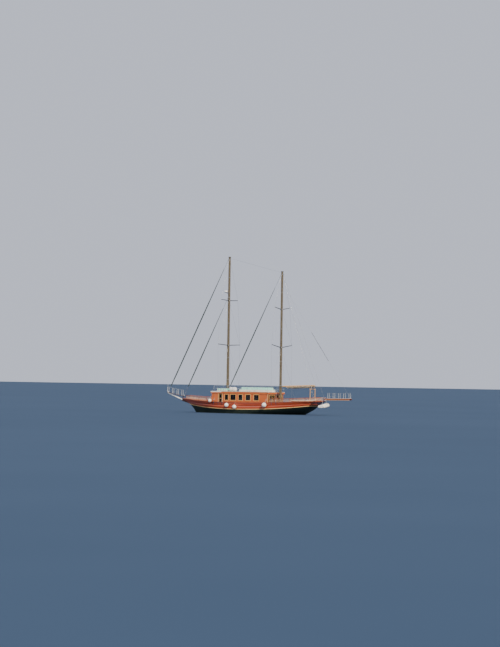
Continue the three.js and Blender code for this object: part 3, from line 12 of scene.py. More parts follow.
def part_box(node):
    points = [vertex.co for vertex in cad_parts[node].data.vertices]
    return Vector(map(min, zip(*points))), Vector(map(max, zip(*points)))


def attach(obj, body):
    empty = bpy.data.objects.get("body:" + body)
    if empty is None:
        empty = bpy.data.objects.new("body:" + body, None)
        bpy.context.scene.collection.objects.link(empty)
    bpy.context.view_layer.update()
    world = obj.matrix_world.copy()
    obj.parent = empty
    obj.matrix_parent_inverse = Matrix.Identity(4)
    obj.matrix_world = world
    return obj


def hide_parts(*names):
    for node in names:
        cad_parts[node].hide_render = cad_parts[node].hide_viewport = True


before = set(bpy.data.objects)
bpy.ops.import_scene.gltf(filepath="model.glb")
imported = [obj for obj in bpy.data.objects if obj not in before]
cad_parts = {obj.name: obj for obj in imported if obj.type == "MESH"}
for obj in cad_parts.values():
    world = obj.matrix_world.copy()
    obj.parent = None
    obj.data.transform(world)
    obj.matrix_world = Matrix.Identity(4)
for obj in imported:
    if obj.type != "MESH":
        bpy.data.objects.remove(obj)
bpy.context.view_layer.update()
SEED = 7
random.seed(SEED)

# Camera: the photograph's place, far off the port quarter and a little above the water
IMAGE_WIDE = 500
IMAGE_TALL = 647
FOCAL_PIXELS = 1950.0
VIEW_AZIMUTH = math.radians(211.0)
EYE_DISTANCE = 300.0
EYE_HEIGHT = 4.35
HORIZON_BELOW_CENTRE = 61.7
ROLL = math.radians(0.918)
ORIGIN_IN_PICTURE = 248.0
SENSOR = 36.0

eye = Vector((math.sin(VIEW_AZIMUTH) * EYE_DISTANCE, -math.cos(VIEW_AZIMUTH) * EYE_DISTANCE, EYE_HEIGHT))
pitch = math.atan(HORIZON_BELOW_CENTRE / FOCAL_PIXELS)
# The hull's origin lies below the picture's centre, so the roll carries it sideways a little
origin_below_centre = HORIZON_BELOW_CENTRE + FOCAL_PIXELS * EYE_HEIGHT / EYE_DISTANCE
yaw_pixels = ORIGIN_IN_PICTURE - IMAGE_WIDE / 2 + origin_below_centre * math.sin(ROLL)
toward = Vector((-eye.x, -eye.y, 0)).normalized()
toward.rotate(Matrix.Rotation(math.atan(yaw_pixels / FOCAL_PIXELS), 3, "Z"))
forward = Vector((toward.x * math.cos(pitch), toward.y * math.cos(pitch), math.sin(pitch)))
right = forward.cross(Vector((0, 0, 1))).normalized()
up = right.cross(forward)
camera_data = bpy.data.cameras.new("camera")
camera_data.sensor_fit = "VERTICAL"
camera_data.sensor_height = SENSOR
camera_data.lens = FOCAL_PIXELS * SENSOR / IMAGE_TALL
camera_data.clip_start = 1.0
camera_data.clip_end = 200000.0
camera = bpy.data.objects.new("camera", camera_data)
level = Matrix((right, up, -forward)).transposed().to_4x4()
camera.matrix_world = Matrix.Translation(eye) @ level @ Matrix.Rotation(ROLL, 4, "Z")
bpy.context.collection.objects.link(camera)
bpy.context.scene.camera = camera


# Small helpers for materials
def linear(code):
    """A hex sRGB colour as the linear numbers that Blender's sockets take."""
    parts = [int(code[i:i + 2], 16) / 255 for i in (0, 2, 4)]
    return (*[c / 12.92 if c <= 0.04045 else ((c + 0.055) / 1.055) ** 2.4 for c in parts], 1.0)


MATH, MIX, RANGE, NOISE = "ShaderNodeMath", "ShaderNodeMix", "ShaderNodeMapRange", "ShaderNodeTexNoise"
SPLIT, UV, WHITE = "ShaderNodeSeparateXYZ", "ShaderNodeUVMap", "ShaderNodeTexWhiteNoise"
BUMP = "ShaderNodeBump"


def feed(tree, node, inputs):
    """Sets a node's inputs, in a row or by key: values, hex colours, or other nodes' outputs to be linked."""
    for key, value in inputs.items() if isinstance(inputs, dict) else enumerate(inputs):
        if isinstance(value, bpy.types.NodeSocket):
            tree.links.new(value, node.inputs[key])
        else:
            node.inputs[key].default_value = linear(value) if isinstance(value, str) else value


def add(tree, kind, inputs=(), out=0, **settings):
    """Adds a node with its settings and links, and returns one of its outputs."""
    made = tree.nodes.new(kind)
    for key, value in settings.items():
        setattr(made, key, value)
    feed(tree, made, inputs)
    return made.outputs[out]


def finish_of(name):
    """A new material with its shader, ready for a pattern: returns the material, its tree and its shader."""
    made = bpy.data.materials.new(name)
    made.use_nodes = True
    tree = made.node_tree
    return made, tree, tree.nodes["Principled BSDF"]


def coordinates(tree, scale=(1, 1, 1), turn=(0, 0, 0)):
    """The piece's own place in metres, stretched to a pattern's scale."""
    place = add(tree, "ShaderNodeTexCoord", out="Object")
    return add(tree, "ShaderNodeMapping", {"Vector": place, "Scale": scale, "Rotation": turn})


def plank_pattern(tree, along, across, length, seam):
    """Planks laid along one value: returns a random tone for each plank and how near its seams are (0 to 1).

    across counts planks, along and length are in metres, and seam is half the caulked gap in planks.
    """
    row = add(tree, MATH, [across], operation="FLOOR")
    shift = add(tree, MATH, [add(tree, WHITE, {"W": row}, noise_dimensions="1D"), 7.0], operation="MULTIPLY")
    run = add(tree, MATH, [add(tree, MATH, [along, shift], operation="ADD"), length], operation="DIVIDE")
    board = add(tree, MATH, [run], operation="FLOOR")
    key = add(tree, MATH, [add(tree, MATH, [row, 17.0], operation="MULTIPLY"), board], operation="ADD")
    tone = add(tree, WHITE, {"W": key}, noise_dimensions="1D")
    side = add(tree, MATH, [across, 0.5], operation="PINGPONG")
    end = add(tree, MATH, [add(tree, MATH, [run, 0.5], operation="PINGPONG"), length], operation="MULTIPLY")
    side_line = add(tree, RANGE, [side, seam * 0.6, seam * 1.6, 1.0, 0.0])
    end_line = add(tree, RANGE, [end, 0.002, 0.006, 1.0, 0.0])
    return tone, add(tree, MATH, [side_line, end_line], operation="MAXIMUM")


# Materials, each named for what the real surface is
def hull_plank_material(name, dark, light, seam_colour, coat):
    """Planks that follow the sheer, from the piece's UV map: u in metres along, v counted in planks."""
    made, tree, shader = finish_of(name)
    uv = add(tree, UV, uv_map="planks")
    split = add(tree, SPLIT, {0: uv}).node
    tone, seam = plank_pattern(tree, split.outputs[0], split.outputs[1], 5.2, 0.02)
    streak_place = add(tree, "ShaderNodeMapping", {"Vector": uv, "Scale": (2.2, 26.0, 1.0)})
    streak = add(tree, NOISE, {"Vector": streak_place, "Scale": 1.0, "Detail": 6.0, "Roughness": 0.6})
    wide = add(tree, NOISE, {"Vector": coordinates(tree, (0.35, 0.35, 0.9)), "Scale": 1.0, "Detail": 2.0,
                             "Roughness": 0.6})
    share = add(tree, MATH, [streak, 0.55, add(tree, MATH, [tone, 0.45], operation="MULTIPLY")],
                operation="MULTIPLY_ADD")
    wood = add(tree, MIX, {0: add(tree, RANGE, [share, 0.2, 0.85]), 6: dark, 7: light}, 2, data_type="RGBA")
    wood = add(tree, MIX, {0: add(tree, RANGE, [wide, 0.35, 0.75, 0.0, 0.35]), 6: wood, 7: dark}, 2,
               data_type="RGBA")
    base_colour = add(tree, MIX, {0: add(tree, MATH, [seam, 0.75], operation="MULTIPLY"), 6: wood,
                                  7: seam_colour}, 2, data_type="RGBA")
    height = add(tree, MATH, [add(tree, MATH, [streak, 0.15], operation="MULTIPLY"), seam],
                 operation="SUBTRACT")
    feed(tree, shader, {
        "Base Color": base_colour,
        "Roughness": add(tree, RANGE, [streak, 0.2, 0.8, 0.34, 0.5]),
        "Coat Weight": coat,
        "Coat Roughness": 0.16,
        "Normal": add(tree, BUMP, {"Height": height, "Distance": 0.003, "Strength": 1.0}),
    })
    return made


def timber_material(name, dark, light, scale, coat=0.35, rough=(0.32, 0.48), worn=None):
    """Solid timber from the object's own place: scale squeezes the grain along the piece's long way."""
    made, tree, shader = finish_of(name)
    streak = add(tree, NOISE, {"Vector": coordinates(tree, scale), "Scale": 1.0, "Detail": 6.0,
                               "Roughness": 0.6})
    cloud = add(tree, NOISE, {"Vector": coordinates(tree, (0.8, 0.8, 0.8)), "Scale": 1.0, "Detail": 3.0,
                              "Roughness": 0.6})
    share = add(tree, MATH, [streak, 0.75, add(tree, MATH, [cloud, 0.3], operation="MULTIPLY")],
                operation="MULTIPLY_ADD")
    wood = add(tree, MIX, {0: add(tree, RANGE, [share, 0.3, 0.8]), 6: dark, 7: light}, 2, data_type="RGBA")
    if worn:
        wear = add(tree, NOISE, {"Vector": coordinates(tree, (3.0, 3.0, 3.0)), "Scale": 1.0, "Detail": 8.0,
                                 "Roughness": 0.75})
        wood = add(tree, MIX, {0: add(tree, RANGE, [wear, 0.55, 0.75, 0.0, 0.55]), 6: wood, 7: worn}, 2,
                   data_type="RGBA")
    feed(tree, shader, {
        "Base Color": wood,
        "Roughness": add(tree, RANGE, [streak, 0.2, 0.8, rough[0], rough[1]]),
        "Coat Weight": coat,
        "Coat Roughness": 0.2,
        "Normal": add(tree, BUMP, {"Height": streak, "Distance": 0.0012, "Strength": 1.0}),
    })
    return made


def paint_material(name, colour, stained, rough=(0.3, 0.5), depth=0.0006, metal=0.0, coat=0.0, grime=0.5):
    """Paint, moulded plastic or gelcoat: nearly one colour, with grime in a large soft pattern."""
    made, tree, shader = finish_of(name)
    cloud = add(tree, NOISE, {"Vector": coordinates(tree, (1.6, 1.6, 1.6)), "Scale": 1.0, "Detail": 8.0,
                              "Roughness": 0.65})
    fine = add(tree, NOISE, {"Vector": coordinates(tree, (60.0, 60.0, 60.0)), "Scale": 1.0, "Detail": 3.0,
                             "Roughness": 0.6})
    base_colour = add(tree, MIX, {0: add(tree, RANGE, [cloud, 0.42, 0.75, 0.0, grime]), 6: colour,
                                  7: stained}, 2, data_type="RGBA")
    feed(tree, shader, {
        "Base Color": base_colour,
        "Roughness": add(tree, RANGE, [cloud, 0.3, 0.7, rough[0], rough[1]]),
        "Metallic": metal,
        "Coat Weight": coat,
        "Normal": add(tree, BUMP, {"Height": fine, "Distance": depth, "Strength": 1.0}),
    })
    return made


def cloth_material(name, colour, shade, thread, sheen=0.3, rough=0.85, wrinkle=0.004):
    """Woven cloth: crossing threads at their real spacing, faded patches and soft creases."""
    made, tree, shader = finish_of(name)
    turns = 1.0 / thread
    weave = []
    for turn in ((0, 0, 0), (0, 0, math.pi / 2), (math.pi / 2, 0, 0)):
        where = coordinates(tree, (turns, turns, turns), turn)
        weave.append(add(tree, "ShaderNodeTexWave", {"Vector": where, "Scale": 1.0, "Distortion": 0.6}, 1))
    threads = add(tree, MATH, [add(tree, MATH, [weave[0], weave[1]], operation="MAXIMUM"), weave[2]],
                  operation="MAXIMUM")
    fade = add(tree, NOISE, {"Vector": coordinates(tree, (1.3, 1.3, 1.3)), "Scale": 1.0, "Detail": 5.0,
                             "Roughness": 0.6})
    crease = add(tree, NOISE, {"Vector": coordinates(tree, (7.0, 7.0, 7.0)), "Scale": 1.0, "Detail": 4.0,
                               "Roughness": 0.55})
    tint = add(tree, MIX, {0: add(tree, RANGE, [fade, 0.35, 0.75, 0.0, 0.8]), 6: colour, 7: shade}, 2,
               data_type="RGBA")
    tint = add(tree, MIX, {0: add(tree, MATH, [threads, 0.12], operation="MULTIPLY"), 6: tint, 7: shade}, 2,
               data_type="RGBA")
    feed(tree, shader, {
        "Base Color": tint,
        "Roughness": rough,
        "Sheen Weight": sheen,
        "Sheen Roughness": 0.5,
    })
    height = add(tree, MATH, [threads, thread * 0.4 / wrinkle, crease], operation="MULTIPLY_ADD")
    feed(tree, shader, {
        "Normal": add(tree, BUMP, {"Height": height, "Distance": wrinkle, "Strength": 1.0}),
    })
    return made


def metal_material(name, colour, stained, rough, scale=(4.0, 4.0, 4.0), stain=0.4):
    """Polished, brushed or cast metal with a brushed direction and dull patches."""
    made, tree, shader = finish_of(name)
    brush = add(tree, NOISE, {"Vector": coordinates(tree, (scale[0] * 30, scale[1] * 30, scale[2])),
                              "Scale": 1.0, "Detail": 4.0, "Roughness": 0.6})
    dull = add(tree, NOISE, {"Vector": coordinates(tree, scale), "Scale": 1.0, "Detail": 6.0,
                             "Roughness": 0.7})
    base_colour = add(tree, MIX, {0: add(tree, RANGE, [dull, 0.45, 0.75, 0.0, stain]), 6: colour, 7: stained},
                      2, data_type="RGBA")
    feed(tree, shader, {
        "Base Color": base_colour,
    })
    both = add(tree, MATH, [brush, 0.4, add(tree, MATH, [dull, 0.6], operation="MULTIPLY")],
               operation="MULTIPLY_ADD")
    feed(tree, shader, {
        "Roughness": add(tree, RANGE, [both, 0.25, 0.75, rough[0], rough[1]]),
        "Metallic": 1.0,
        "Normal": add(tree, BUMP, {"Height": brush, "Distance": 0.0003, "Strength": 1.0}),
    })
    return made


# Varnished mahogany topsides, aged to an even red-brown gloss
topside_wood = hull_plank_material("varnished_mahogany_planks", "8A3012", "C25222", "2A0D06", 0.45)
# The same planks inside the bulwark, duller because feet and salt have worn the varnish
bulwark_inside = hull_plank_material("worn_mahogany_planks", "7C3A1C", "A8582E", "2E140A", 0.1)


def bottom_paint():
    """Dark green antifouling brushed over planks: chalky, streaked downwards, paler at the weed line."""
    made, tree, shader = finish_of("green_antifouling_paint")
    uv = add(tree, UV, uv_map="planks")
    split = add(tree, SPLIT, {0: uv}).node
    tone, seam = plank_pattern(tree, split.outputs[0], split.outputs[1], 5.2, 0.014)
    cloud = add(tree, NOISE, {"Vector": coordinates(tree, (0.7, 0.7, 2.5)), "Scale": 1.0, "Detail": 9.0,
                              "Roughness": 0.68})
    drip = add(tree, NOISE, {"Vector": coordinates(tree, (6.0, 6.0, 0.5)), "Scale": 1.0, "Detail": 4.0,
                             "Roughness": 0.6})
    height = add(tree, SPLIT, {0: coordinates(tree)}, 2)
    weed = add(tree, RANGE, [add(tree, MATH, [add(tree, MATH, [height, 0.04], operation="SUBTRACT")],
                                 operation="ABSOLUTE"), 0.0, 0.14, 1.0, 0.0])
    paint = add(tree, MIX, {0: add(tree, RANGE, [cloud, 0.35, 0.75]), 6: "101C14", 7: "1D3022"}, 2,
                data_type="RGBA")
    paint = add(tree, MIX, {0: add(tree, MATH, [drip, 0.25], operation="MULTIPLY"), 6: paint, 7: "2B3A2C"}, 2,
                data_type="RGBA")
    paint = add(tree, MIX, {0: add(tree, MATH, [weed, add(tree, RANGE, [cloud, 0.4, 0.6, 0.1, 0.7])],
                                   operation="MULTIPLY"), 6: paint, 7: "5A5F4A"}, 2, data_type="RGBA")
    paint = add(tree, MIX, {0: add(tree, MATH, [tone, 0.12], operation="MULTIPLY"), 6: paint, 7: "0A120C"}, 2,
                data_type="RGBA")
    base_colour = add(tree, MIX, {0: add(tree, MATH, [seam, 0.5], operation="MULTIPLY"), 6: paint,
                                  7: "060A07"}, 2, data_type="RGBA")
    height = add(tree, MATH, [add(tree, MATH, [cloud, 0.4], operation="MULTIPLY"), seam],
                 operation="SUBTRACT")
    feed(tree, shader, {
        "Base Color": base_colour,
        "Roughness": add(tree, RANGE, [cloud, 0.3, 0.7, 0.5, 0.72]),
        "Normal": add(tree, BUMP, {"Height": height, "Distance": 0.002, "Strength": 1.0}),
    })
    return made


green_bottom = bottom_paint()


def teak_deck():
    """Bare scrubbed teak, 60 mm planks with black caulk, silvered where it is walked on."""
    made, tree, shader = finish_of("scrubbed_teak_deck")
    split = add(tree, SPLIT, {0: coordinates(tree)}).node
    across = add(tree, MATH, [split.outputs[1], 0.06], operation="DIVIDE")
    tone, seam = plank_pattern(tree, split.outputs[0], across, 3.4, 0.05)
    streak = add(tree, NOISE, {"Vector": coordinates(tree, (5.0, 90.0, 5.0)), "Scale": 1.0, "Detail": 6.0,
                               "Roughness": 0.6})
    worn = add(tree, NOISE, {"Vector": coordinates(tree, (0.5, 0.9, 0.5)), "Scale": 1.0, "Detail": 5.0,
                             "Roughness": 0.6})
    share = add(tree, MATH, [streak, 0.5, add(tree, MATH, [tone, 0.5], operation="MULTIPLY")],
                operation="MULTIPLY_ADD")
    wood = add(tree, MIX, {0: add(tree, RANGE, [share, 0.2, 0.85]), 6: "8F6A42", 7: "BE9664"}, 2,
               data_type="RGBA")
    wood = add(tree, MIX, {0: add(tree, RANGE, [worn, 0.45, 0.75, 0.0, 0.6]), 6: wood, 7: "B3A690"}, 2,
               data_type="RGBA")
    base_colour = add(tree, MIX, {0: seam, 6: wood, 7: "17130F"}, 2, data_type="RGBA")
    height = add(tree, MATH, [add(tree, MATH, [streak, 0.3], operation="MULTIPLY"), seam],
                 operation="SUBTRACT")
    feed(tree, shader, {
        "Base Color": base_colour,
        "Roughness": add(tree, RANGE, [streak, 0.2, 0.8, 0.6, 0.82]),
        "Normal": add(tree, BUMP, {"Height": height, "Distance": 0.002, "Strength": 1.0}),
    })
    return made


teak = teak_deck()
# Deckhouse joinery: iroko under fresh varnish, bright orange-brown with a long level grain
house_wood = timber_material("varnished_iroko", "A84A18", "DB7630", (2.5, 2.5, 40.0), 0.4)
# Window casings, boom and gallows: ash under yellowed varnish, the palest timber on board
frame_wood = timber_material("yellowed_ash_casing", "D89A48", "F6C97E", (14.0, 14.0, 14.0), 0.4)
# Turned balusters: pale beech gone pinkish in the sun
baluster_wood = timber_material("sunned_beech", "C98F68", "F0CBAA", (30.0, 30.0, 4.0), 0.25)
# Cap rail and handrails: mahogany, with the varnish rubbed through along the top
cap_wood = timber_material("rubbed_mahogany_rail", "7A2E14", "B05528", (3.0, 3.0, 30.0), 0.35, worn="C98A5C")
# Doors, sashes and walkway: timber stained nearly black-brown under a thin varnish; on the aft wall the same
# dark timber is painted shade
dark_wood = timber_material("dark_stained_timber_and_painted_shade", "2E140C", "55281A", (18.0, 18.0, 5.0), 0.3)
# Gangway, helm and benches: oiled red-brown timber with a dull sheen
red_wood = timber_material("oiled_red_timber", "5E2413", "94462A", (4.0, 26.0, 26.0), 0.1, (0.42, 0.6))
# Masts: pine under old varnish, weathered to an olive grey-brown in streaks down the mast
spar_wood = timber_material("weathered_pine_spar", "3A352A", "6B624D", (16.0, 16.0, 0.7), 0.2, (0.4, 0.6),
                            worn="8A8069")
# Rubbing strake: cream oil paint over oak, scuffed by quays
strake_paint = paint_material("cream_oil_paint", "DDB679", "9A7444", (0.35, 0.55), 0.001, grime=0.55)
# White oil paint on bowsprit, lockers and roof edge: a soft gloss gone a little yellow
white_paint = paint_material("white_oil_paint", "F1EFE8", "B9B3A2", (0.28, 0.48), 0.001, coat=0.2)
# Roof deck: sand-coloured non-slip paint, rough to the foot
roof_paint = paint_material("nonslip_deck_paint", "DCD3BE", "A79C84", (0.7, 0.9), 0.002, grime=0.7)
# Plastic-coated steel tube: evenly white and smooth
white_tube = paint_material("white_coated_tube", "F4F3EF", "C9C4B8", (0.25, 0.4), 0.0003, coat=0.3)
# Gelcoat of the radar cover and the canister: glossy moulded white
gelcoat = paint_material("white_gelcoat", "F6F5F2", "D2CEC2", (0.14, 0.3), 0.0002, coat=0.5, grime=0.4)
# Vinyl of tender and fenders: soft sheen, greyed where it is handled
inflated_vinyl = paint_material("inflated_white_vinyl", "FAF7EE", "DDD3BC", (0.3, 0.45), 0.0004, coat=0.2,
                                grime=0.55)
# Coated fabric of bands and straps: duller than the vinyl beside it
coated_fabric = paint_material("coated_boat_fabric", "F7F4EC", "D2CBBB", (0.45, 0.62), 0.001, grime=0.6)
# Rubber of joints and saddles: nearly black and matt
black_rubber = paint_material("black_rubber", "17181A", "2E2F31", (0.55, 0.75), 0.0006)
# Polished stainless fittings: bright, with soft stains from salt
stainless = metal_material("polished_stainless", "D4D7DA", "9A9C9C", (0.16, 0.34))
# Stranded stainless wire: greyer than the fittings, for its strands hold dirt
wire_steel = metal_material("stainless_wire", "A7A9AA", "6C6C68", (0.28, 0.5), (12.0, 12.0, 12.0))
# Spreaders: almost black, as the photograph shows them against the sky: painted shade of their shaded
# undersides
spreaders_painted_shade = paint_material("dark_spreaders_in_painted_shade", "211F1D", "35322E", (0.4, 0.6), 0.0006)
# Galvanised bands and straps: dull grey with brown stains
galvanised = metal_material("galvanised_iron", "A3A6A6", "6E6A62", (0.4, 0.65))
# Cast bronze of propeller and trim: brown-gold, green in its hollows
bronze = metal_material("cast_bronze", "A9823C", "5C6B46", (0.28, 0.55))
# Sun cover sewn on the headsails' edge: acrylic canvas, dark green-grey and faded
dark_canvas = cloth_material("faded_acrylic_canvas", "2C3936", "4A5852", 0.004, 0.15, 0.9)
# Sailcloth of the flaked mizzen: warm white, softly creased
sailcloth = cloth_material("cream_sailcloth", "F8F1E4", "E6D9C2", 0.005, 0.2, 0.75, 0.006)
# Cushion covers: pale mint acrylic, faded
mint_cloth = cloth_material("mint_cushion_cloth", "8FDAC6", "BFEBDD", 0.003, 0.35, 0.85)
# Piping of the cushions: nearly white
white_cloth = cloth_material("white_cushion_cloth", "EFF1EA", "CFE6DC", 0.003, 0.3, 0.85)
# Bench cushions: cream cotton
cream_cloth = cloth_material("cream_cushion_cloth", "F2E6D2", "D9BFA2", 0.003, 0.35, 0.85)
# Blinds behind the after windows: pale and thin
blind_cloth = cloth_material("pale_blind_cloth", "CFE0DA", "A9BDB8", 0.002, 0.1, 0.9)


def rope_material(name, colour, shade, lay=0.02):
    """Three-strand rope: slanting strands along the piece's own UV, u round it and v in metres along it."""
    made, tree, shader = finish_of(name)
    uv = add(tree, UV, uv_map="planks")
    split = add(tree, SPLIT, {0: uv}).node
    turn = add(tree, MATH, [split.outputs[0], 3.0,
                            add(tree, MATH, [split.outputs[1], lay], operation="DIVIDE")],
               operation="MULTIPLY_ADD")
    strand = add(tree, MATH, [turn, 0.5], operation="PINGPONG")
    # The grooves between the strands take the shade colour: painted shade in the recesses
    base_colour = add(tree, MIX, {0: add(tree, RANGE, [strand, 0.0, 0.35]), 6: shade, 7: colour}, 2,
                      data_type="RGBA")
    feed(tree, shader, {
        "Base Color": base_colour,
        "Roughness": 0.85,
        "Normal": add(tree, BUMP, {"Height": strand, "Distance": 0.002, "Strength": 1.0}),
    })
    return made


# White polyester rope of ties and lanyards
white_rope = rope_material("white_polyester_rope", "ECE8DC", "9E9784")
# Halyards: tan hemp-coloured rope
tan_rope = rope_material("tan_hemp_rope", "C9AC7C", "7C6238")


def tinted_glass():
    """Dark tinted cabin glass: what is inside shows faintly, with salt smears that dull the gloss."""
    made, tree, shader = finish_of("dark_tinted_glass")
    smear = add(tree, NOISE, {"Vector": coordinates(tree, (5.0, 5.0, 9.0)), "Scale": 1.0, "Detail": 6.0,
                              "Roughness": 0.7})
    base_colour = add(tree, MIX, {0: add(tree, RANGE, [smear, 0.45, 0.8, 0.0, 0.4]), 6: "0C1316",
                                  7: "2A363A"}, 2, data_type="RGBA")
    feed(tree, shader, {
        "Base Color": base_colour,
        "Roughness": add(tree, RANGE, [smear, 0.4, 0.8, 0.04, 0.16]),
        "Alpha": 0.6,
    })
    return made


cabin_glass = tinted_glass()


# Shape helpers. A Form gathers corners, faces, finish numbers and UVs until it is one piece
class Form:
    def __init__(self):
        self.corners = []
        self.faces = []
        self.marks = []
        self.places = []

    def add(self, corners, faces, mark=0, places=None):
        """places gives a UV for each corner of this batch."""
        start = len(self.corners)
        self.corners += [tuple(c) for c in corners]
        self.places += [tuple(p) for p in places] if places else [(c[0], c[1]) for c in corners]
        self.faces += [tuple(start + i for i in face) for face in faces]
        self.marks += [mark] * len(faces)

    def mirrored(self):
        """A copy on the other side of the centreline."""
        other = Form()
        other.corners = [(x, -y, z) for x, y, z in self.corners]
        other.faces = [tuple(reversed(face)) for face in self.faces]
        other.marks = list(self.marks)
        other.places = list(self.places)
        return other

    def join(self, other):
        start = len(self.corners)
        self.corners += other.corners
        self.places += other.places
        self.faces += [tuple(start + i for i in face) for face in other.faces]
        self.marks += other.marks
        return self


def linked(name, mesh):
    """An object of a mesh, put into the scene."""
    made = bpy.data.objects.new(name, mesh)
    bpy.context.collection.objects.link(made)
    return made


def bare(name, corners, edges, faces):
    """An object with nothing but its shape, for a modifier or a simulation to work on."""
    mesh = bpy.data.meshes.new(name)
    mesh.from_pydata([tuple(c) for c in corners], edges, faces)
    return linked(name, mesh)


def placed(name, mesh, smooth, body, replaces=()):
    """Makes a mesh a piece: it is smoothed, rides on a body and stands for the CAD nodes that it replaces."""
    if smooth:
        mesh.shade_smooth()
        mesh.set_sharp_from_angle(angle=math.radians(smooth))
    made = linked(name, mesh)
    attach(made, body)
    if replaces:
        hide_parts(*replaces)
    return made


def piece(form, name, finishes, body="ship", replaces=(), smooth=35.0, bevel=0.0):
    """Makes one piece of a form, with its UVs, its finishes and rounded edges."""
    mesh = bpy.data.meshes.new(name)
    mesh.from_pydata(form.corners, [], form.faces)
    layer = mesh.uv_layers.new(name="planks")
    loops = np.empty(len(mesh.loops), dtype=np.int32)
    mesh.loops.foreach_get("vertex_index", loops)
    layer.data.foreach_set("uv", np.asarray(form.places, dtype=np.float32)[loops].ravel())
    for finish in finishes:
        mesh.materials.append(finish)
    mesh.polygons.foreach_set("material_index", form.marks)
    made = placed(name, mesh, smooth, body, replaces)
    if bevel:
        edge = made.modifiers.new("edges", "BEVEL")
        edge.width = bevel
        edge.segments = 2
        edge.limit_method = "ANGLE"
        edge.angle_limit = math.radians(40)
        edge.harden_normals = False
    return made


def outward(made):
    """Recalculates a closed piece's faces so that they all point out."""
    shape = bmesh.new()
    shape.from_mesh(made.data)
    bmesh.ops.remove_doubles(shape, verts=shape.verts, dist=1e-5)
    bmesh.ops.recalc_face_normals(shape, faces=shape.faces)
    shape.to_mesh(made.data)
    shape.free()


def circle(count):
    """The cosine and sine of so many even steps round a circle."""
    return [(math.cos(2 * math.pi * n / count), math.sin(2 * math.pi * n / count)) for n in range(count)]


def grid_faces(rows, columns, wrap=False, caps=False, loop=False):
    """Faces of a grid: wrap closes each row, loop joins the last row to the first, caps fill the ends."""
    faces = []
    for i in range(rows if loop else rows - 1):
        here, ahead = i * columns, (i + 1) % rows * columns
        for j in range(columns if wrap else columns - 1):
            k = (j + 1) % columns
            faces.append((here + j, here + k, ahead + k, ahead + j))
    if caps:
        faces += [tuple(reversed(range(columns))), tuple(range((rows - 1) * columns, rows * columns))]
    return faces


def prism_faces(count):
    """Faces between an outline and the same outline moved."""
    sides = [(j, (j + 1) % count, (j + 1) % count + count, j + count) for j in range(count)]
    return [tuple(reversed(range(count))), tuple(range(count, 2 * count))] + sides


def surround(a0, a1, b0, b1, wide, level=False):
    """Four bars round an opening, as limits: the upright bars run through, or else the level ones."""
    if level:
        return [(a, b, c, d) for c, d, a, b in surround(b0, b1, a0, a1, wide)]
    return [(a0 - wide, a0, b0 - wide, b1 + wide), (a1, a1 + wide, b0 - wide, b1 + wide),
            (a0, a1, b1, b1 + wide), (a0, a1, b0 - wide, b0)]


def tube(form, path, radius, sides=10, mark=0, ends=True):
    """A round bar, pipe or wire along a path; radius is one number or one for each point."""
    path = [Vector(p) for p in path]
    radii = radius if isinstance(radius, (list, tuple)) else [radius] * len(path)
    side = (path[1] - path[0]).normalized().orthogonal().normalized()
    corners, places, run = [], [], 0.0
    turns = circle(sides)
    for i, here in enumerate(path):
        ahead = path[min(i + 1, len(path) - 1)] - here
        behind = here - path[max(i - 1, 0)]
        way = (ahead + behind).normalized()
        if ahead.length and behind.length:
            way = (ahead.normalized() + behind.normalized()).normalized()
        side = (side - way * side.dot(way)).normalized()
        other = way.cross(side)
        run += behind.length
        for n, (c, s) in enumerate(turns):
            corners.append(here + (side * c + other * s) * radii[i])
            places.append((n / sides, run))
    form.add(corners, grid_faces(len(path), sides, wrap=True, caps=ends), mark, places)


def lathe(form, start, end, profile, sides=16, mark=0):
    """A turned shape from one point towards another: its profile gives metres along and radii."""
    start, end = Vector(start), Vector(end)
    way = (end - start).normalized()
    tube(form, [start + way * along for along, _ in profile], [max(r, 0.0005) for _, r in profile], sides,
         mark)


def box(form, x0, x1, y0, y1, z0, z1, mark=0):
    corners = [(x, y, z) for x in sorted((x0, x1)) for y in sorted((y0, y1)) for z in sorted((z0, z1))]
    faces = [(0, 1, 3, 2), (4, 6, 7, 5), (0, 4, 5, 1), (2, 3, 7, 6), (0, 2, 6, 4), (1, 5, 7, 3)]
    form.add(corners, faces, mark)


def beam(form, start, end, wide, deep, mark=0):
    """A squared timber between two points, its depth upright."""
    start, end = Vector(start), Vector(end)
    way = (end - start).normalized()
    across = Vector((0, 0, 1)).cross(way)
    across = across.normalized() if across.length > 1e-6 else Vector((0, 1, 0))
    rise = way.cross(across)
    corners = []
    for here in (start, end):
        for a, b in ((-1, -1), (1, -1), (1, 1), (-1, 1)):
            corners.append(here + across * (a * wide / 2) + rise * (b * deep / 2))
    form.add(corners, prism_faces(4), mark)


def slab(form, outline, y0, y1, mark=0, places=None):
    """A flat board seen from the side: its outline in x and z, from y0 to y1."""
    corners = [(x, y, z) for y in (y0, y1) for x, z in outline]
    form.add(corners, prism_faces(len(outline)), mark, places)


def sweep(form, path, section, closed=False, mark=0):
    """Carries a section (steps sideways and up) along a nearly level path; sideways is to its left."""
    count = len(path)
    corners, places, run = [], [], 0.0
    for i, here in enumerate(path):
        here = Vector(here)
        before = Vector(path[i - 1] if closed or i else path[0])
        after = Vector(path[(i + 1) % count] if closed or i < count - 1 else path[-1])
        ways = [v.to_2d().normalized() for v in (here - before, after - here) if v.to_2d().length > 1e-6]
        lefts = [Vector((-w.y, w.x)) for w in ways]
        middle = lefts[0] + lefts[-1]
        middle = middle * (1.0 / (1.0 + lefts[0].dot(lefts[-1])))
        run += (here - before).length if i else 0.0
        for j, (sideways, rise) in enumerate(section):
            corners.append((here.x + middle.x * sideways, here.y + middle.y * sideways, here.z + rise))
            places.append((run, j * 0.4))
    faces = grid_faces(count, len(section), wrap=True, caps=not closed, loop=closed)
    form.add(corners, [tuple(reversed(face)) for face in faces], mark, places)


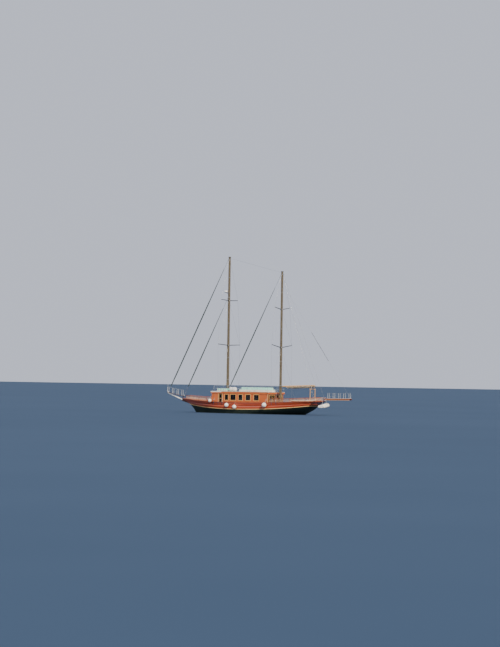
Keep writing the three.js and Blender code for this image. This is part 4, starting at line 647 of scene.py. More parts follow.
def rounded(wide, deep, corner, foot=0.0, steps=3):
    """A rounded rectangle as a section that stands on foot."""
    points = []
    for cx, cz, start in ((1, 1, 0), (-1, 1, 90), (-1, -1, 180), (1, -1, 270)):
        for n in range(steps + 1):
            angle = math.radians(start + 90 * n / steps)
            points.append((cx * (wide / 2 - corner) + corner * math.cos(angle),
                           foot + deep / 2 + cz * (deep / 2 - corner) + corner * math.sin(angle)))
    return points


def hoop(form, centre, way, radius, section, sides=40, mark=0):
    """A ring round an axis: the section gives steps out from its radius and along the axis."""
    way = Vector(way).normalized()
    across = way.orthogonal().normalized()
    other = way.cross(across)
    corners = []
    for c, s in circle(sides):
        out = across * c + other * s
        corners += [Vector(centre) + out * (radius + step) + way * along for step, along in section]
    form.add(corners, grid_faces(sides, len(section), wrap=True, loop=True), mark)


def ball(form, centre, radius, rings=12, sides=20, mark=0, squash=1.0):
    """A ball; squash flattens it from above and below."""
    x, y, z = centre
    corners = [(x, y, z - radius * squash)]
    for i in range(1, rings):
        lift = math.pi * i / rings
        reach = radius * math.sin(lift)
        corners += [(x + reach * c, y + reach * s, z - radius * squash * math.cos(lift))
                    for c, s in circle(sides)]
    corners.append((x, y, z + radius * squash))
    faces = [tuple(1 + i for i in face) for face in grid_faces(rings - 1, sides, wrap=True)]
    last = 1 + (rings - 2) * sides
    for n in range(sides):
        m = (n + 1) % sides
        faces += [(0, 1 + m, 1 + n), (last + n, last + m, len(corners) - 1)]
    form.add(corners, faces, mark)


def block_and_strop(form, centre, way, size, mark=0, metal=1):
    """A rope block: two cheeks, a sheave between them and a steel strap, hung along a rope's way."""
    centre, way = Vector(centre), Vector(way).normalized()
    across = way.orthogonal().normalized()
    for side in (-1, 1):
        lathe(form, centre + across * side * size * 0.16, centre + across * side * size,
              [(0, size * 0.42), (size * 0.05, size * 0.5), (size * 0.16, size * 0.5),
               (size * 0.24, size * 0.36)], 16, mark)
    lathe(form, centre - across * size * 0.15, centre + across * size,
          [(0, size * 0.4), (size * 0.08, size * 0.34), (size * 0.22, size * 0.34), (size * 0.3, size * 0.4)],
          16, metal)
    tube(form, [centre - way * size * 0.75, centre + way * size * 0.75], size * 0.07, 8, metal)


# Hull lines, in metres, as the CAD has them: each row runs from the stem to the stern at one level
STEM_HALF = 0.085
MIDSHIP = 0.48
SHEER_FORWARD = 2.4
SHEER_AFT = 2.0
HULL_ROWS = {
    # x, z at the bow; z amidships; x, z at the stern; half breadths amidships and aft; fullness fore and aft
    "rabbet": (7.4, -1.15, -1.55, -9.2, -0.35, 0.13, 0.13, 1.0, 1.0),
    "garboard": (8.0, -0.88, -1.22, -9.45, -0.27, 1.55, 0.135, 1.35, 1.35),
    "bilge": (8.7, -0.5, -0.68, -9.7, -0.15, 2.6, 0.14, 1.45, 1.6),
    "waterline": (9.4, 0.0, 0.0, -9.95, 0.0, 3.02, 0.15, 1.6, 2.0),
    "counter": (9.85, 0.62, 0.3, -10.9, 0.74, 3.11, 1.2, 1.75, 2.3),
    "strakeLow": (10.42, 1.18, 0.59, -11.44, 1.27, 3.17, 1.55, 1.85, 2.4),
    "strakeHigh": (10.6, 1.32, 0.73, -11.53, 1.41, 3.19, 1.58, 1.88, 2.4),
    "deckEdge": (11.2, 1.62, 1.22, -11.95, 1.7, 3.2, 1.66, 2.0, 2.5),
    "cap": (12.0, 2.18, 1.72, -12.75, 2.13, 3.22, 1.75, 2.1, 2.6),
}
STATIONS = 90
BULWARK_THICK = 0.07
CAP_DEEP = 0.05
CAP_OUT = 0.055
CAP_IN = 0.125
DECK_THICK = 0.042
STRAKE_OUT = 0.06


def hull_row(name, stations=STATIONS):
    """The port half of one row, from the stem to the stern."""
    x_bow, z_bow, z_mid, x_stern, z_stern, half_mid, half_stern, fore, aft = HULL_ROWS[name]
    half_stem = half_mid if name == "rabbet" else STEM_HALF
    row = []
    for i in range(stations + 1):
        even = i / stations
        s = 0.5 * even + 0.25 * (1 - math.cos(math.pi * even))
        ahead = s < MIDSHIP
        away = 1 - s / MIDSHIP if ahead else (s - MIDSHIP) / (1 - MIDSHIP)
        end_half = half_stem if ahead else half_stern
        half = end_half + (half_mid - end_half) * (1 - away ** (fore if ahead else aft))
        rise = (z_bow if ahead else z_stern) - z_mid
        z = z_mid + rise * away ** (SHEER_FORWARD if ahead else SHEER_AFT)
        row.append(Vector((x_bow + (x_stern - x_bow) * s, half, z)))
    return row


rows = {name: hull_row(name) for name in HULL_ROWS}


def across_centre(row):
    """A whole outline: down the port side from the stem, then back up the starboard side."""
    return list(row) + [Vector((p.x, -p.y, p.z)) for p in reversed(row)]


def offset_plan(path, distance, closed=True):
    """Moves an outline sideways, mitred at its corners: positive is outward."""
    count = len(path)
    moved = []
    for i, here in enumerate(path):
        before = path[(i - 1) % count] if closed else path[max(i - 1, 0)]
        after = path[(i + 1) % count] if closed else path[min(i + 1, count - 1)]
        normals = []
        for a, b in ((before, here), (here, after)):
            step = Vector((b.y - a.y, a.x - b.x))
            if step.length > 1e-6:
                normals.append(step.normalized())
        middle = normals[0] + normals[-1]
        scale = distance / (1 + normals[0].dot(normals[-1]))
        moved.append(Vector((here.x + middle.x * scale, here.y + middle.y * scale, here.z)))
    return moved


def at_x(row, x, which):
    """A row's height (2) or half breadth (1) at any x, straight between stations."""
    for a, b in zip(row, row[1:]):
        if x >= b.x or b is row[-1]:
            return a[which] + (b[which] - a[which]) * (x - a.x) / (b.x - a.x)
    return row[-1][which]


wall_top_row = []
for low, high in zip(rows["deckEdge"], rows["cap"]):
    share = (high.z - CAP_DEEP - 0.0004 - low.z) / (high.z - low.z)
    wall_top_row.append(low.lerp(high, share))
wall_top = across_centre(wall_top_row)


def deck_top(x):
    return at_x(rows["deckEdge"], x, 2) + DECK_THICK


def cap_top(x):
    return at_x(wall_top_row, x, 2) + CAP_DEEP


def cap_line(outward_by):
    """The port half of a line along the top of the cap rail, so far outward of the bulwark's outer face."""
    line = offset_plan(wall_top, outward_by)
    return [Vector((p.x, p.y, cap_top(p.x))) for p in line][: STATIONS + 1]


def cap_half(x):
    """Half breadth to the cap rail's outer edge."""
    return at_x(wall_top_row, x, 1) + CAP_OUT


def wall_half(x, z):
    """Half breadth to the bulwark's outer face."""
    low_z, high_z = at_x(rows["deckEdge"], x, 2), at_x(wall_top_row, x, 2)
    low, high = at_x(rows["deckEdge"], x, 1), at_x(wall_top_row, x, 1)
    return low + (high - low) * (z - low_z) / (high_z - low_z)


# Hull below the deck: planked shell with its keel, sternpost and rudder trunk
PLANKS_ABOVE = 4
PLANKS_BELOW = 26


def shell_section(i):
    """One station's line from the rabbet up to the deck edge: corners, each with its plank number."""
    names = ["rabbet", "garboard", "bilge", "waterline", "counter", "strakeLow", "strakeHigh", "deckEdge"]
    knots = [rows[name][i] for name in names]
    line = []
    plank = 0.0
    for k in range(len(knots) - 1):
        before = knots[max(k - 1, 0)]
        a, b = knots[k], knots[k + 1]
        after = knots[min(k + 2, len(knots) - 1)]
        steps = 4 if k < 4 else 2
        planks = PLANKS_ABOVE if k == 6 else PLANKS_BELOW / 6
        for step in range(steps):
            t = step / steps
            t2, t3 = t * t, t * t * t
            spline = 0.5 * (2 * a + (b - before) * t + (2 * before - 5 * a + 4 * b - after) * t2
                            + (3 * a - before - 3 * b + after) * t3)
            straight = a.lerp(b, t)
            line.append((straight.lerp(spline, 0.6), plank + planks * t))
        plank += planks
    line.append((knots[-1], plank))
    return line


sections = [shell_section(i) for i in range(STATIONS + 1)]
PER_SECTION = len(sections[0])
TOPSIDE_FROM = PER_SECTION - 3
port_shell = Form()
port_shell.add([p for section in sections for p, _ in section],
               grid_faces(STATIONS + 1, PER_SECTION),
               0, [(p.x, plank) for section in sections for p, plank in section])
port_shell.marks = [0 if n % (PER_SECTION - 1) >= TOPSIDE_FROM else 1 for n in range(len(port_shell.faces))]
hull_form = Form()
hull_form.join(port_shell).join(port_shell.mirrored())
# Stem face, transom, and the flat closing under the keel and over the deck
for i in (0, STATIONS):
    for k in range(PER_SECTION - 1):
        low, high = sections[i][k][0], sections[i][k + 1][0]
        quad = [low, high, Vector((high.x, -high.y, high.z)), Vector((low.x, -low.y, low.z))]
        order = (0, 1, 2, 3) if i == 0 else (3, 2, 1, 0)
        places = [(p.y, sections[i][k + (n in (1, 2))][1]) for n, p in enumerate(quad)]
        hull_form.add(quad, [order], 0 if k >= TOPSIDE_FROM else 1, places)
for k in (0, PER_SECTION - 1):
    for i in range(STATIONS):
        a, b = sections[i][k][0], sections[i + 1][k][0]
        quad = [a, b, Vector((b.x, -b.y, b.z)), Vector((a.x, -a.y, a.z))]
        hull_form.add(quad, [(3, 2, 1, 0) if k == 0 else (0, 1, 2, 3)], 1)
outward(piece(hull_form, "hull_planking", [topside_wood, green_bottom], replaces=["hull"], smooth=40))

# Keel, forefoot, sternpost and the shoe under the rudder
KEEL_HALF = 0.125
KEEL_LINE = [(6.9, -1.5), (5.3, -1.98), (-9.0, -2.45), (-9.0, -2.28), (-7.3, -2.28), (-7.3, -1.4)]
keel_top = [(p.x, p.z + 0.03) for p in rows["rabbet"] if -7.3 < p.x < 6.9]
keel = Form()
outline = KEEL_LINE + list(reversed(keel_top))
slab(keel, outline, -KEEL_HALF, KEEL_HALF, 0, [(x, z / 0.25) for x, z in outline] * 2)
lathe(keel, (-6.4, 0, -1.45), (-7.48, 0, -1.45),
      [(0, 0.19), (0.3, 0.185), (0.9, 0.15), (1.04, 0.13), (1.078, 0.11)], 24)
box(keel, -8.64, -8.32, -0.11, 0.11, -0.72, -0.3)
outward(piece(keel, "keel_and_sternpost", [green_bottom], replaces=["hull"], smooth=30, bevel=0.015))


def strip(form, lines, closed, mark=0, places=None):
    """A surface through several lines of equal count: each line runs along, and they stand side by side."""
    count = len(lines[0])
    corners = [p for line in lines for p in line]
    faces = [tuple(reversed(face)) for face in grid_faces(len(lines), count, wrap=closed)]
    form.add(corners, faces, mark, places)


def plank_places(lines, first_plank, planks):
    """UVs for a strip: x along in metres, planks counted across."""
    places = []
    for n, line in enumerate(lines):
        places += [(p.x, first_plank + planks * n / (len(lines) - 1)) for p in line]
    return places


# Bulwark: outside planking that carries on the topsides, inside planking, and timberheads under the rail
deck_edge = across_centre(rows["deckEdge"])
BULWARK_PLANKS = 5
outside_lines = [[a.lerp(b, k / 4) for a, b in zip(deck_edge, wall_top)] for k in range(5)]
inner_foot = offset_plan(deck_edge, -BULWARK_THICK)
inner_top = offset_plan(wall_top, -BULWARK_THICK)
inner_foot = [Vector((p.x, p.y, at_x(rows["deckEdge"], p.x, 2))) for p in inner_foot]
inner_top = [Vector((p.x, p.y, at_x(wall_top_row, p.x, 2))) for p in inner_top]
inside_lines = [[b.lerp(a, k / 4) for a, b in zip(inner_foot, inner_top)] for k in range(5)]
bulwark = Form()
strip(bulwark, outside_lines, True, 0, plank_places(outside_lines, 0, BULWARK_PLANKS))
strip(bulwark, inside_lines, True, 1, plank_places(inside_lines, 0, BULWARK_PLANKS))
strip(bulwark, [wall_top, inner_top], True, 1)
strip(bulwark, [inner_foot, deck_edge], True, 1)
outward(piece(bulwark, "bulwark_planking", [topside_wood, bulwark_inside], replaces=["bulwark"], smooth=40))

# Cap rail with rounded edges, sprung along the sheer
CAP_WIDE = CAP_OUT + CAP_IN
cap_path = offset_plan(wall_top, (CAP_OUT - CAP_IN) / 2)
cap_path = [Vector((p.x, p.y, at_x(wall_top_row, p.x, 2))) for p in cap_path]
cap = Form()
sweep(cap, cap_path, rounded(CAP_WIDE, CAP_DEEP, 0.018), closed=True)
outward(piece(cap, "cap_rail_sprung", [cap_wood], replaces=["cap_rail"], smooth=50))

# Rubbing strake: a half-round moulding over its own plank, cream, with a groove below
strake = Form()
strake_low, strake_high = across_centre(rows["strakeLow"]), across_centre(rows["strakeHigh"])
low_out, high_out = offset_plan(strake_low, STRAKE_OUT), offset_plan(strake_high, STRAKE_OUT)
strake_lines = [strake_high]
for share, out in ((0.08, 0.55), (0.2, 0.85), (0.5, 1.0), (0.8, 0.85), (0.92, 0.55)):
    line = []
    for a, b, ao, bo in zip(strake_high, strake_low, high_out, low_out):
        line.append(a.lerp(b, share).lerp(ao.lerp(bo, share), out))
    strake_lines.append(line)
strake_lines.append(strake_low)
strip(strake, strake_lines[::-1], True, 0)
strip(strake, [strake_high, strake_low], True, 0)
outward(piece(strake, "cream_rubbing_strake", [strake_paint], replaces=["rubbing_strake"], smooth=60))

# Deck: teak planks inside a mahogany margin board
deck_ring = offset_plan(deck_edge, -BULWARK_THICK - 0.0015)[: STATIONS + 1]
deck_ring = [Vector((p.x, p.y, deck_top(p.x))) for p in deck_ring]
deck = Form()
MARGIN = 0.16
deck_lines = []
for across in (1.0, -1.0):
    outer = [Vector((p.x, p.y * across, p.z)) for p in deck_ring]
    inner = [Vector((p.x, max(p.y - MARGIN, 0.02) * across, p.z)) for p in deck_ring]
    deck_lines.append((outer, inner))
strip(deck, [deck_lines[0][0], deck_lines[0][1]], False, 1)
strip(deck, [deck_lines[0][1], deck_lines[1][1]], False, 0)
strip(deck, [deck_lines[1][1], deck_lines[1][0]], False, 1)
skirt = [Vector((p.x, p.y, p.z - DECK_THICK)) for p in deck_lines[0][0]]
other_skirt = [Vector((p.x, p.y, p.z - DECK_THICK)) for p in deck_lines[1][0]]
strip(deck, [skirt, deck_lines[0][0]], False, 1)
strip(deck, [deck_lines[1][0], other_skirt], False, 1)
strip(deck, [other_skirt, skirt], False, 1)
for end in (0, -1):
    ring = [deck_lines[0][0][end], deck_lines[0][1][end], deck_lines[1][1][end], deck_lines[1][0][end],
            other_skirt[end], skirt[end]]
    deck.add(ring, [tuple(range(6)) if end else tuple(reversed(range(6)))], 1)
outward(piece(deck, "laid_teak_deck", [teak, cap_wood], replaces=["deck"], smooth=30))


# Rails: a shoe and a handrail along the cap rail, with turned balusters between them
RAIL_HALF = 0.032
RAIL_SHOE = 0.03
RAIL_TOP = 0.56
RAIL_TOP_DEEP = 0.045
BALUSTER_STEP = 0.17
BOW_RAIL_AFT = 6.0
BOW_RAIL_FORE = 11.05
STERN_RAIL_FORE = -5.5
GANGWAY_Y = -1.05
GANGWAY_GAP = 0.38

cap_centre = cap_line(-BULWARK_THICK / 2)
stern_corner = cap_centre[-1]


def port_part(line, x_from, x_to):
    """The part of a port line between two values of x, its ends cut straight."""
    ends = [Vector((x, at_x(line, x, 1), at_x(line, x, 2))) for x in (x_from, x_to)]
    return [ends[0]] + [p for p in line if x_to + 0.02 < p.x < x_from - 0.02] + [ends[1]]


def mirrored(path):
    return [Vector((p.x, -p.y, p.z)) for p in path]


def path_steps(path, spacing, inset=0.0):
    """Points at even steps along a path."""
    lengths = [(b - a).length for a, b in zip(path, path[1:])]
    total = sum(lengths) - 2 * inset
    steps = max(1, round(total / spacing))
    points = []
    for n in range(steps + 1):
        rest = inset + total * n / steps
        i = 0
        while i < len(lengths) - 1 and rest > lengths[i]:
            rest -= lengths[i]
            i += 1
        points.append(path[i].lerp(path[i + 1], min(rest / lengths[i], 1.0)))
    return points


def guide(paths):
    """Bare edges along the paths, for Geometry Nodes to set things out on."""
    corners, edges = [], []
    for path in paths:
        start = len(corners)
        corners += path
        edges += [(start + i, start + i + 1) for i in range(len(path) - 1)]
    return bare("guide", corners, edges, [])


def socket_of(group, name):
    """The identifier that a modifier uses for one of a tree's named inputs."""
    return next(item.identifier for item in group.interface.items_tree if item.name == name)


def set_out(name, paths, sample, finish, spacing, smooth=40.0):
    """Geometry Nodes: copies a sample along paths at an even spacing, square to them, and keeps the mesh."""
    group = bpy.data.node_groups.new(name + "_tree", "GeometryNodeTree")
    for label, kind, way in (("Path", "NodeSocketGeometry", "INPUT"), ("Spacing", "NodeSocketFloat", "INPUT"),
                             ("Finish", "NodeSocketMaterial", "INPUT"),
                             ("Copies", "NodeSocketGeometry", "OUTPUT")):
        group.interface.new_socket(label, in_out=way, socket_type=kind)
    start = add(group, "NodeGroupInput", out="Path")
    asked = start.node.outputs
    curve = add(group, "GeometryNodeMeshToCurve", {0: start})
    points = add(group, "GeometryNodeCurveToPoints", {"Curve": curve, "Length": asked["Spacing"]},
                 mode="LENGTH")
    split = add(group, SPLIT, {0: points.node.outputs["Tangent"]}).node.outputs
    level = add(group, "ShaderNodeCombineXYZ", {0: split[0], 1: split[1]})
    turn = add(group, "FunctionNodeAlignRotationToVector", {"Vector": level}, axis="X", pivot_axis="Z")
    source = add(group, "GeometryNodeObjectInfo", {"Object": sample}, "Geometry")
    copies = add(group, "GeometryNodeInstanceOnPoints",
                 {"Points": points, "Instance": source, "Rotation": turn})
    real = add(group, "GeometryNodeRealizeInstances", {0: copies})
    dressed = add(group, "GeometryNodeSetMaterial", {0: real, "Material": asked["Finish"]})
    feed(group, group.nodes.new("NodeGroupOutput"), {0: dressed})
    holder = guide(paths)
    grown = holder.modifiers.new("copies", "NODES")
    grown.node_group = group
    grown[socket_of(group, "Spacing")] = spacing
    grown[socket_of(group, "Finish")] = finish
    bpy.context.view_layer.update()
    evaluated = holder.evaluated_get(bpy.context.evaluated_depsgraph_get())
    mesh = bpy.data.meshes.new_from_object(evaluated)
    holder.modifiers.remove(grown)
    bpy.data.objects.remove(holder)
    mesh.name = name
    placed(name, mesh, smooth, "ship")


# One turned baluster: square block, waist, belly and neck, between the shoe and the handrail
BALUSTER_PROFILE = [(0.0, 0.026), (0.05, 0.026), (0.055, 0.017), (0.085, 0.015), (0.15, 0.028), (0.2, 0.03),
                    (0.27, 0.02),
                    (0.36, 0.0135), (0.4, 0.0135), (0.405, 0.022), (0.425, 0.022), (0.43, 0.026),
                    (0.487, 0.026)]
baluster_form = Form()
lathe(baluster_form, (0, 0, RAIL_SHOE), (0, 0, 1), BALUSTER_PROFILE, 8)
baluster = bare("baluster_sample", baluster_form.corners, [], baluster_form.faces)

bow_path = port_part(cap_centre, BOW_RAIL_FORE, BOW_RAIL_AFT)
stern_port = port_part(cap_centre, STERN_RAIL_FORE, stern_corner.x + 0.06)
stern_side = stern_port + [stern_corner]
gate_edges = [GANGWAY_Y + GANGWAY_GAP, GANGWAY_Y - GANGWAY_GAP]
gate_posts = [Vector((stern_corner.x, y, stern_corner.z)) for y in gate_edges]
stern_runs = [stern_side + [gate_posts[0]], [gate_posts[1]] + mirrored(stern_side)[::-1]]


def handrail(form, path, half, foot, top, mark=0):
    seated = [Vector((p.x, p.y, cap_top(p.x))) for p in path]
    sweep(form, seated, rounded(half * 2, top - foot, min(half, (top - foot) / 2) * 0.7, foot), mark=mark)


def rail_piece(name, runs, nodes, post_spacing):
    """Shoe, handrail and newel posts along each run, as one object."""
    form = Form()
    for run in runs:
        handrail(form, run, RAIL_HALF, 0.0, RAIL_SHOE)
        handrail(form, run, RAIL_HALF + 0.006, RAIL_TOP - RAIL_TOP_DEEP, RAIL_TOP)
        for foot in path_steps(run, post_spacing, 0.06):
            base = cap_top(foot.x)
            lathe(form, (foot.x, foot.y, base + 0.01), (foot.x, foot.y, base + 1),
                  [(0, 0.034), (0.11, 0.034), (0.12, 0.026), (0.4, 0.026), (0.41, 0.034), (0.49, 0.034)], 8,
                  0)
    outward(piece(form, name, [cap_wood], replaces=nodes, smooth=40))


rail_piece("bow_balustrade_rails", [bow_path, mirrored(bow_path)], ["bow_rail_port", "bow_rail_starboard"],
           1.8)
rail_piece("stern_balustrade_rails", stern_runs, ["stern_rail"], 1.8)


def standing_on_cap(run):
    """The line on which the balusters stand, shortened so that none stands inside an end post."""
    points = path_steps(run, 0.1, 0.12)
    return [Vector((p.x, p.y, cap_top(p.x))) for p in points]


set_out("turned_balusters", [standing_on_cap(run) for run in (bow_path, mirrored(bow_path), *stern_runs)],
        baluster, baluster_wood, BALUSTER_STEP)
bpy.data.objects.remove(baluster)

# The gangway's hinge on the transom: cheeks, pin, and the posts beside the gap
PASSERELLE_ROOT = stern_corner.x - 0.09
PASSERELLE_ROOT_Z = 2.5
PASSERELLE_HALF = 0.3
gate = Form()
for side in (-1, 1):
    y = GANGWAY_Y + side * (PASSERELLE_HALF + 0.034)
    box(gate, PASSERELLE_ROOT - 0.04, stern_corner.x + 0.025, y - 0.022, y + 0.022, stern_corner.z + 0.014,
        PASSERELLE_ROOT_Z + 0.045)
tube(gate, [(PASSERELLE_ROOT, GANGWAY_Y - 0.356, PASSERELLE_ROOT_Z),
            (PASSERELLE_ROOT, GANGWAY_Y + 0.356, PASSERELLE_ROOT_Z)], 0.016, 16)
outward(piece(gate, "gangway_hinge_cheeks", [stainless], replaces=["stern_rail"], smooth=30, bevel=0.004))


# Bowsprit: tapered spar, iron bands, and the mahogany knee that carries it out from the stem
WALK_FOOT, WALK_FOOT_Z, WALK_TIP, WALK_TIP_Z = 11.65, 2.44, 14.85, 3.021
WALK_HALF = 0.23
WALK_THICK = 0.04


def walk_at(x):
    return WALK_FOOT_Z + (WALK_TIP_Z - WALK_FOOT_Z) * (x - WALK_FOOT) / (WALK_TIP - WALK_FOOT)


SPRIT_ROOT = Vector((12.03, 0, 1.935))
SPRIT_TIP = Vector((14.8, 0, 2.943))
sprit_way = (SPRIT_TIP - SPRIT_ROOT).normalized()
sprit = Form()
lathe(sprit, SPRIT_ROOT, SPRIT_TIP, [(0, 0.095), (0.1, 0.105), (1.2, 0.094), (2.3, 0.078), (2.8, 0.068),
                                     (2.87, 0.066), (2.91, 0.058), (2.945, 0.03), (2.947, 0.0)], 24)
for along, radius in ((0.3, 0.109), (1.5, 0.096), (2.7, 0.074)):
    lathe(sprit, SPRIT_ROOT + sprit_way * along, SPRIT_TIP,
          [(0, radius - 0.004), (0.004, radius), (0.05, radius), (0.054, radius - 0.004)], 24, 1)
beam(sprit, (14.55, 0, walk_at(14.55) - 0.0315), (14.76, 0, walk_at(14.76) - 0.0315), 0.1, 0.06)
piece(sprit, "bowsprit_spar", [white_paint, galvanised], replaces=["bowsprit"], smooth=40)

knee = Form()
KNEE = [(10.78, 1.39), (11.1, 1.47), (11.6, 1.6), (12.05, 1.75), (12.13, 1.8), (12.13, 1.98), (12.09, 2.06),
        (11.8, 2.06), (11.5, 1.82), (11.1, 1.58)]
slab(knee, KNEE, -0.07, 0.07)
outward(piece(knee, "stem_knee", [dark_wood], replaces=["bowsprit"], smooth=30, bevel=0.012))

# Walkway over the bowsprit: two side timbers with slats across
walk = Form()
for side in (-1, 1):
    y = side * (WALK_HALF - 0.03)
    beam(walk, (WALK_FOOT, y, WALK_FOOT_Z + WALK_THICK / 2), (WALK_TIP, y, WALK_TIP_Z + WALK_THICK / 2), 0.06,
         WALK_THICK)
beam(walk, (WALK_FOOT + 0.03, 0, WALK_FOOT_Z + 0.014), (WALK_TIP - 0.03, 0, WALK_TIP_Z + 0.014), 0.07, 0.022)
box(walk, 11.88, 11.97, -0.06, 0.06, cap_top(11.97), walk_at(11.88) + 0.015)
outward(piece(walk, "walkway_timbers", [dark_wood], replaces=["bowsprit_platform"], smooth=30, bevel=0.006))
slat_form = Form()
box(slat_form, -0.02, 0.02, -0.172, 0.172, 0.006, 0.016)
slat = bare("slat_sample", slat_form.corners, [], slat_form.faces)
slat_line = [Vector((x, 0, walk_at(x) + 0.02)) for x in (WALK_FOOT + 0.06, WALK_TIP - 0.06)]
set_out("walkway_slats", [slat_line], slat, dark_wood, 0.062, smooth=0)
bpy.data.objects.remove(slat)

# Pulpit: white stanchions with bases, a thin steel top rail, a middle wire, and the staff at the tip
PULPIT_TOP = 0.9
PULPIT_X = (12.05, 12.95, 13.8, 14.7)
pulpit = Form()
for side in (-1, 1):
    y = side * (WALK_HALF - 0.022)
    for x in PULPIT_X:
        foot = (x, y, walk_at(x) + WALK_THICK)
        lathe(pulpit, foot, (x, y, foot[2] + 1),
              [(0, 0.034), (0.012, 0.034), (0.016, 0.018), (0.6, 0.014),
               (PULPIT_TOP - WALK_THICK - 0.01, 0.014)], 12)
    top = [(x, y, walk_at(x) + PULPIT_TOP) for x in (PULPIT_X[0] - 0.02, *PULPIT_X[1:3], PULPIT_X[3] + 0.02)]
    tube(pulpit, top, 0.0125, 12, 1)
    tube(pulpit, [(x, y, walk_at(x) + 0.36) for x in PULPIT_X], 0.005, 6, 1)
tube(pulpit, [(PULPIT_X[-1], side * 0.208, walk_at(PULPIT_X[-1]) + PULPIT_TOP) for side in (-1, 1)], 0.0125,
     12, 1)
staff_foot = walk_at(14.8) + WALK_THICK
lathe(pulpit, (14.8, 0, staff_foot), (14.8, 0, staff_foot + 1),
      [(0, 0.03), (0.02, 0.03), (0.03, 0.014), (1.2, 0.009), (1.215, 0.018), (1.24, 0.018), (1.255, 0.004)],
      12)
piece(pulpit, "pulpit_stanchions", [white_tube, wire_steel], replaces=["bowsprit_platform"], smooth=40)

# Windlass: bed, gearcase, a gypsy and a warping drum each side, and levers
WINDLASS_X = 9.3
windlass_foot = deck_top(9.5) + 0.0004
axle = windlass_foot + 0.23
windlass = Form()
box(windlass, WINDLASS_X - 0.2, WINDLASS_X + 0.2, -0.26, 0.26, windlass_foot, windlass_foot + 0.06, 1)
box(windlass, WINDLASS_X - 0.11, WINDLASS_X + 0.11, -0.11, 0.11, windlass_foot + 0.05, windlass_foot + 0.34)
for side in (-1, 1):
    lathe(windlass, (WINDLASS_X, side * 0.1, axle), (WINDLASS_X, side * 1.0, axle),
          [(0, 0.12), (0.03, 0.125), (0.05, 0.09), (0.08, 0.09), (0.1, 0.125), (0.12, 0.12), (0.125, 0.1),
           (0.15, 0.075), (0.19, 0.085), (0.21, 0.125), (0.235, 0.125), (0.24, 0.04), (0.245, 0.0)], 20)
    tube(windlass, [(WINDLASS_X - 0.05, side * 0.17, axle + 0.09),
                    (WINDLASS_X + 0.2, side * 0.17, windlass_foot + 0.12),
                    (WINDLASS_X + 0.3, side * 0.17, windlass_foot + 0.03)], 0.014, 8, 2)
lathe(windlass, (WINDLASS_X, 0, windlass_foot + 0.33), (WINDLASS_X, 0, windlass_foot + 0.4),
      [(0, 0.05), (0.02, 0.05), (0.025, 0.03), (0.03, 0.0)], 16)
outward(piece(windlass, "anchor_windlass", [stainless, red_wood, galvanised], replaces=["windlass"],
              smooth=35, bevel=0.006))

# Foredeck hatch: coaming, a pitched lid in two leaves with glazing bars over the panes
HATCH_X0, HATCH_X1, HATCH_HALF, HATCH_TALL = 6.7, 7.9, 0.48, 0.33
hatch_eave = deck_top(HATCH_X1) + HATCH_TALL - 0.09
hatch_ridge = deck_top(HATCH_X1) + HATCH_TALL
hatch_mid = (HATCH_X0 + HATCH_X1) / 2
hatch = Form()
hatch_foot = [(x, y, deck_top(x)) for x, y in ((HATCH_X0, -0.45), (HATCH_X1, -0.45), (HATCH_X1, 0.45),
                                               (HATCH_X0, 0.45))]
eave = [(x + dx, y, hatch_eave - 0.035) for (x, y, _), dx in zip(hatch_foot, (0.02, -0.02, -0.02, 0.02))]
hatch.add(hatch_foot + eave, prism_faces(4))
for x_edge in (HATCH_X0, HATCH_X1):
    inward = 1 if x_edge == HATCH_X0 else -1
    for y in (-HATCH_HALF + 0.04, 0.0, HATCH_HALF - 0.04):
        beam(hatch, (x_edge, y, hatch_eave - 0.018), (hatch_mid, y, hatch_ridge - 0.018), 0.08, 0.036)
    for share in (0.0, 1.0):
        x = x_edge + (hatch_mid - x_edge) * share + inward * (0.035 if share == 0 else -0.03)
        z = hatch_eave + (hatch_ridge - hatch_eave) * (abs(x - x_edge) / abs(hatch_mid - x_edge)) - 0.016
        beam(hatch, (x, -HATCH_HALF, z), (x, HATCH_HALF, z), 0.07, 0.03)
    low, high = Vector((x_edge, 0, hatch_eave - 0.03)), Vector((hatch_mid, 0, hatch_ridge - 0.03))
    beam(hatch, low, high, HATCH_HALF * 2 - 0.08, 0.008, 1)
    for n in range(9):
        y = -0.4 + 0.1 * n
        tube(hatch, [(x_edge + inward * 0.03, y, hatch_eave + 0.0),
                     (hatch_mid - inward * 0.02, y, hatch_ridge - 0.008)], 0.006, 6, 2)
outward(piece(hatch, "skylight_hatch", [house_wood, cabin_glass, bronze], replaces=["foredeck_hatch"],
              smooth=30, bevel=0.004))


# Deckhouse: the CAD walls keep their shape, and casings, sashes, blinds and mouldings go on them
HOUSE_HALF = 2.3
HOUSE_THICK = 0.06
HOUSE_AFT = -4.9
ROOF_Z = 3.35
WINDOW_FOOT = 2.03
WINDOW_TOP = 2.88
SIDE_WINDOWS = [(2.22, 2.83), (0.87, 1.82), (-0.33, 0.37), (-1.75, -0.92), (-3.24, -2.38)]
DOOR_X0, DOOR_X1, DOOR_TOP = 3.29, 3.92, 3.03
DOOR_FOOT = deck_top(DOOR_X1) + 0.07
FRONT_FOOT_X, FRONT_TOP_X = 5.5, 5.05
FRONT_FOOT_Z = deck_top(FRONT_FOOT_X)
WALL_TOP = ROOF_Z - 0.06
RAKE = (FRONT_FOOT_X - FRONT_TOP_X) / (WALL_TOP - FRONT_FOOT_Z)
CASING = 0.075
CASING_OUT = 0.016


def casing_on_side(form, x0, x1, z0, z1, side):
    """A casing round an opening in a side wall, a little proud of it, with a deeper sill."""
    y0 = side * (HOUSE_HALF + 0.0005)
    for a, b, c, d in surround(x0, x1, z0, z1, CASING):
        sill = 0.012 if d == z0 else 0.0
        box(form, a, b, y0, side * (HOUSE_HALF + CASING_OUT + sill), c, d)


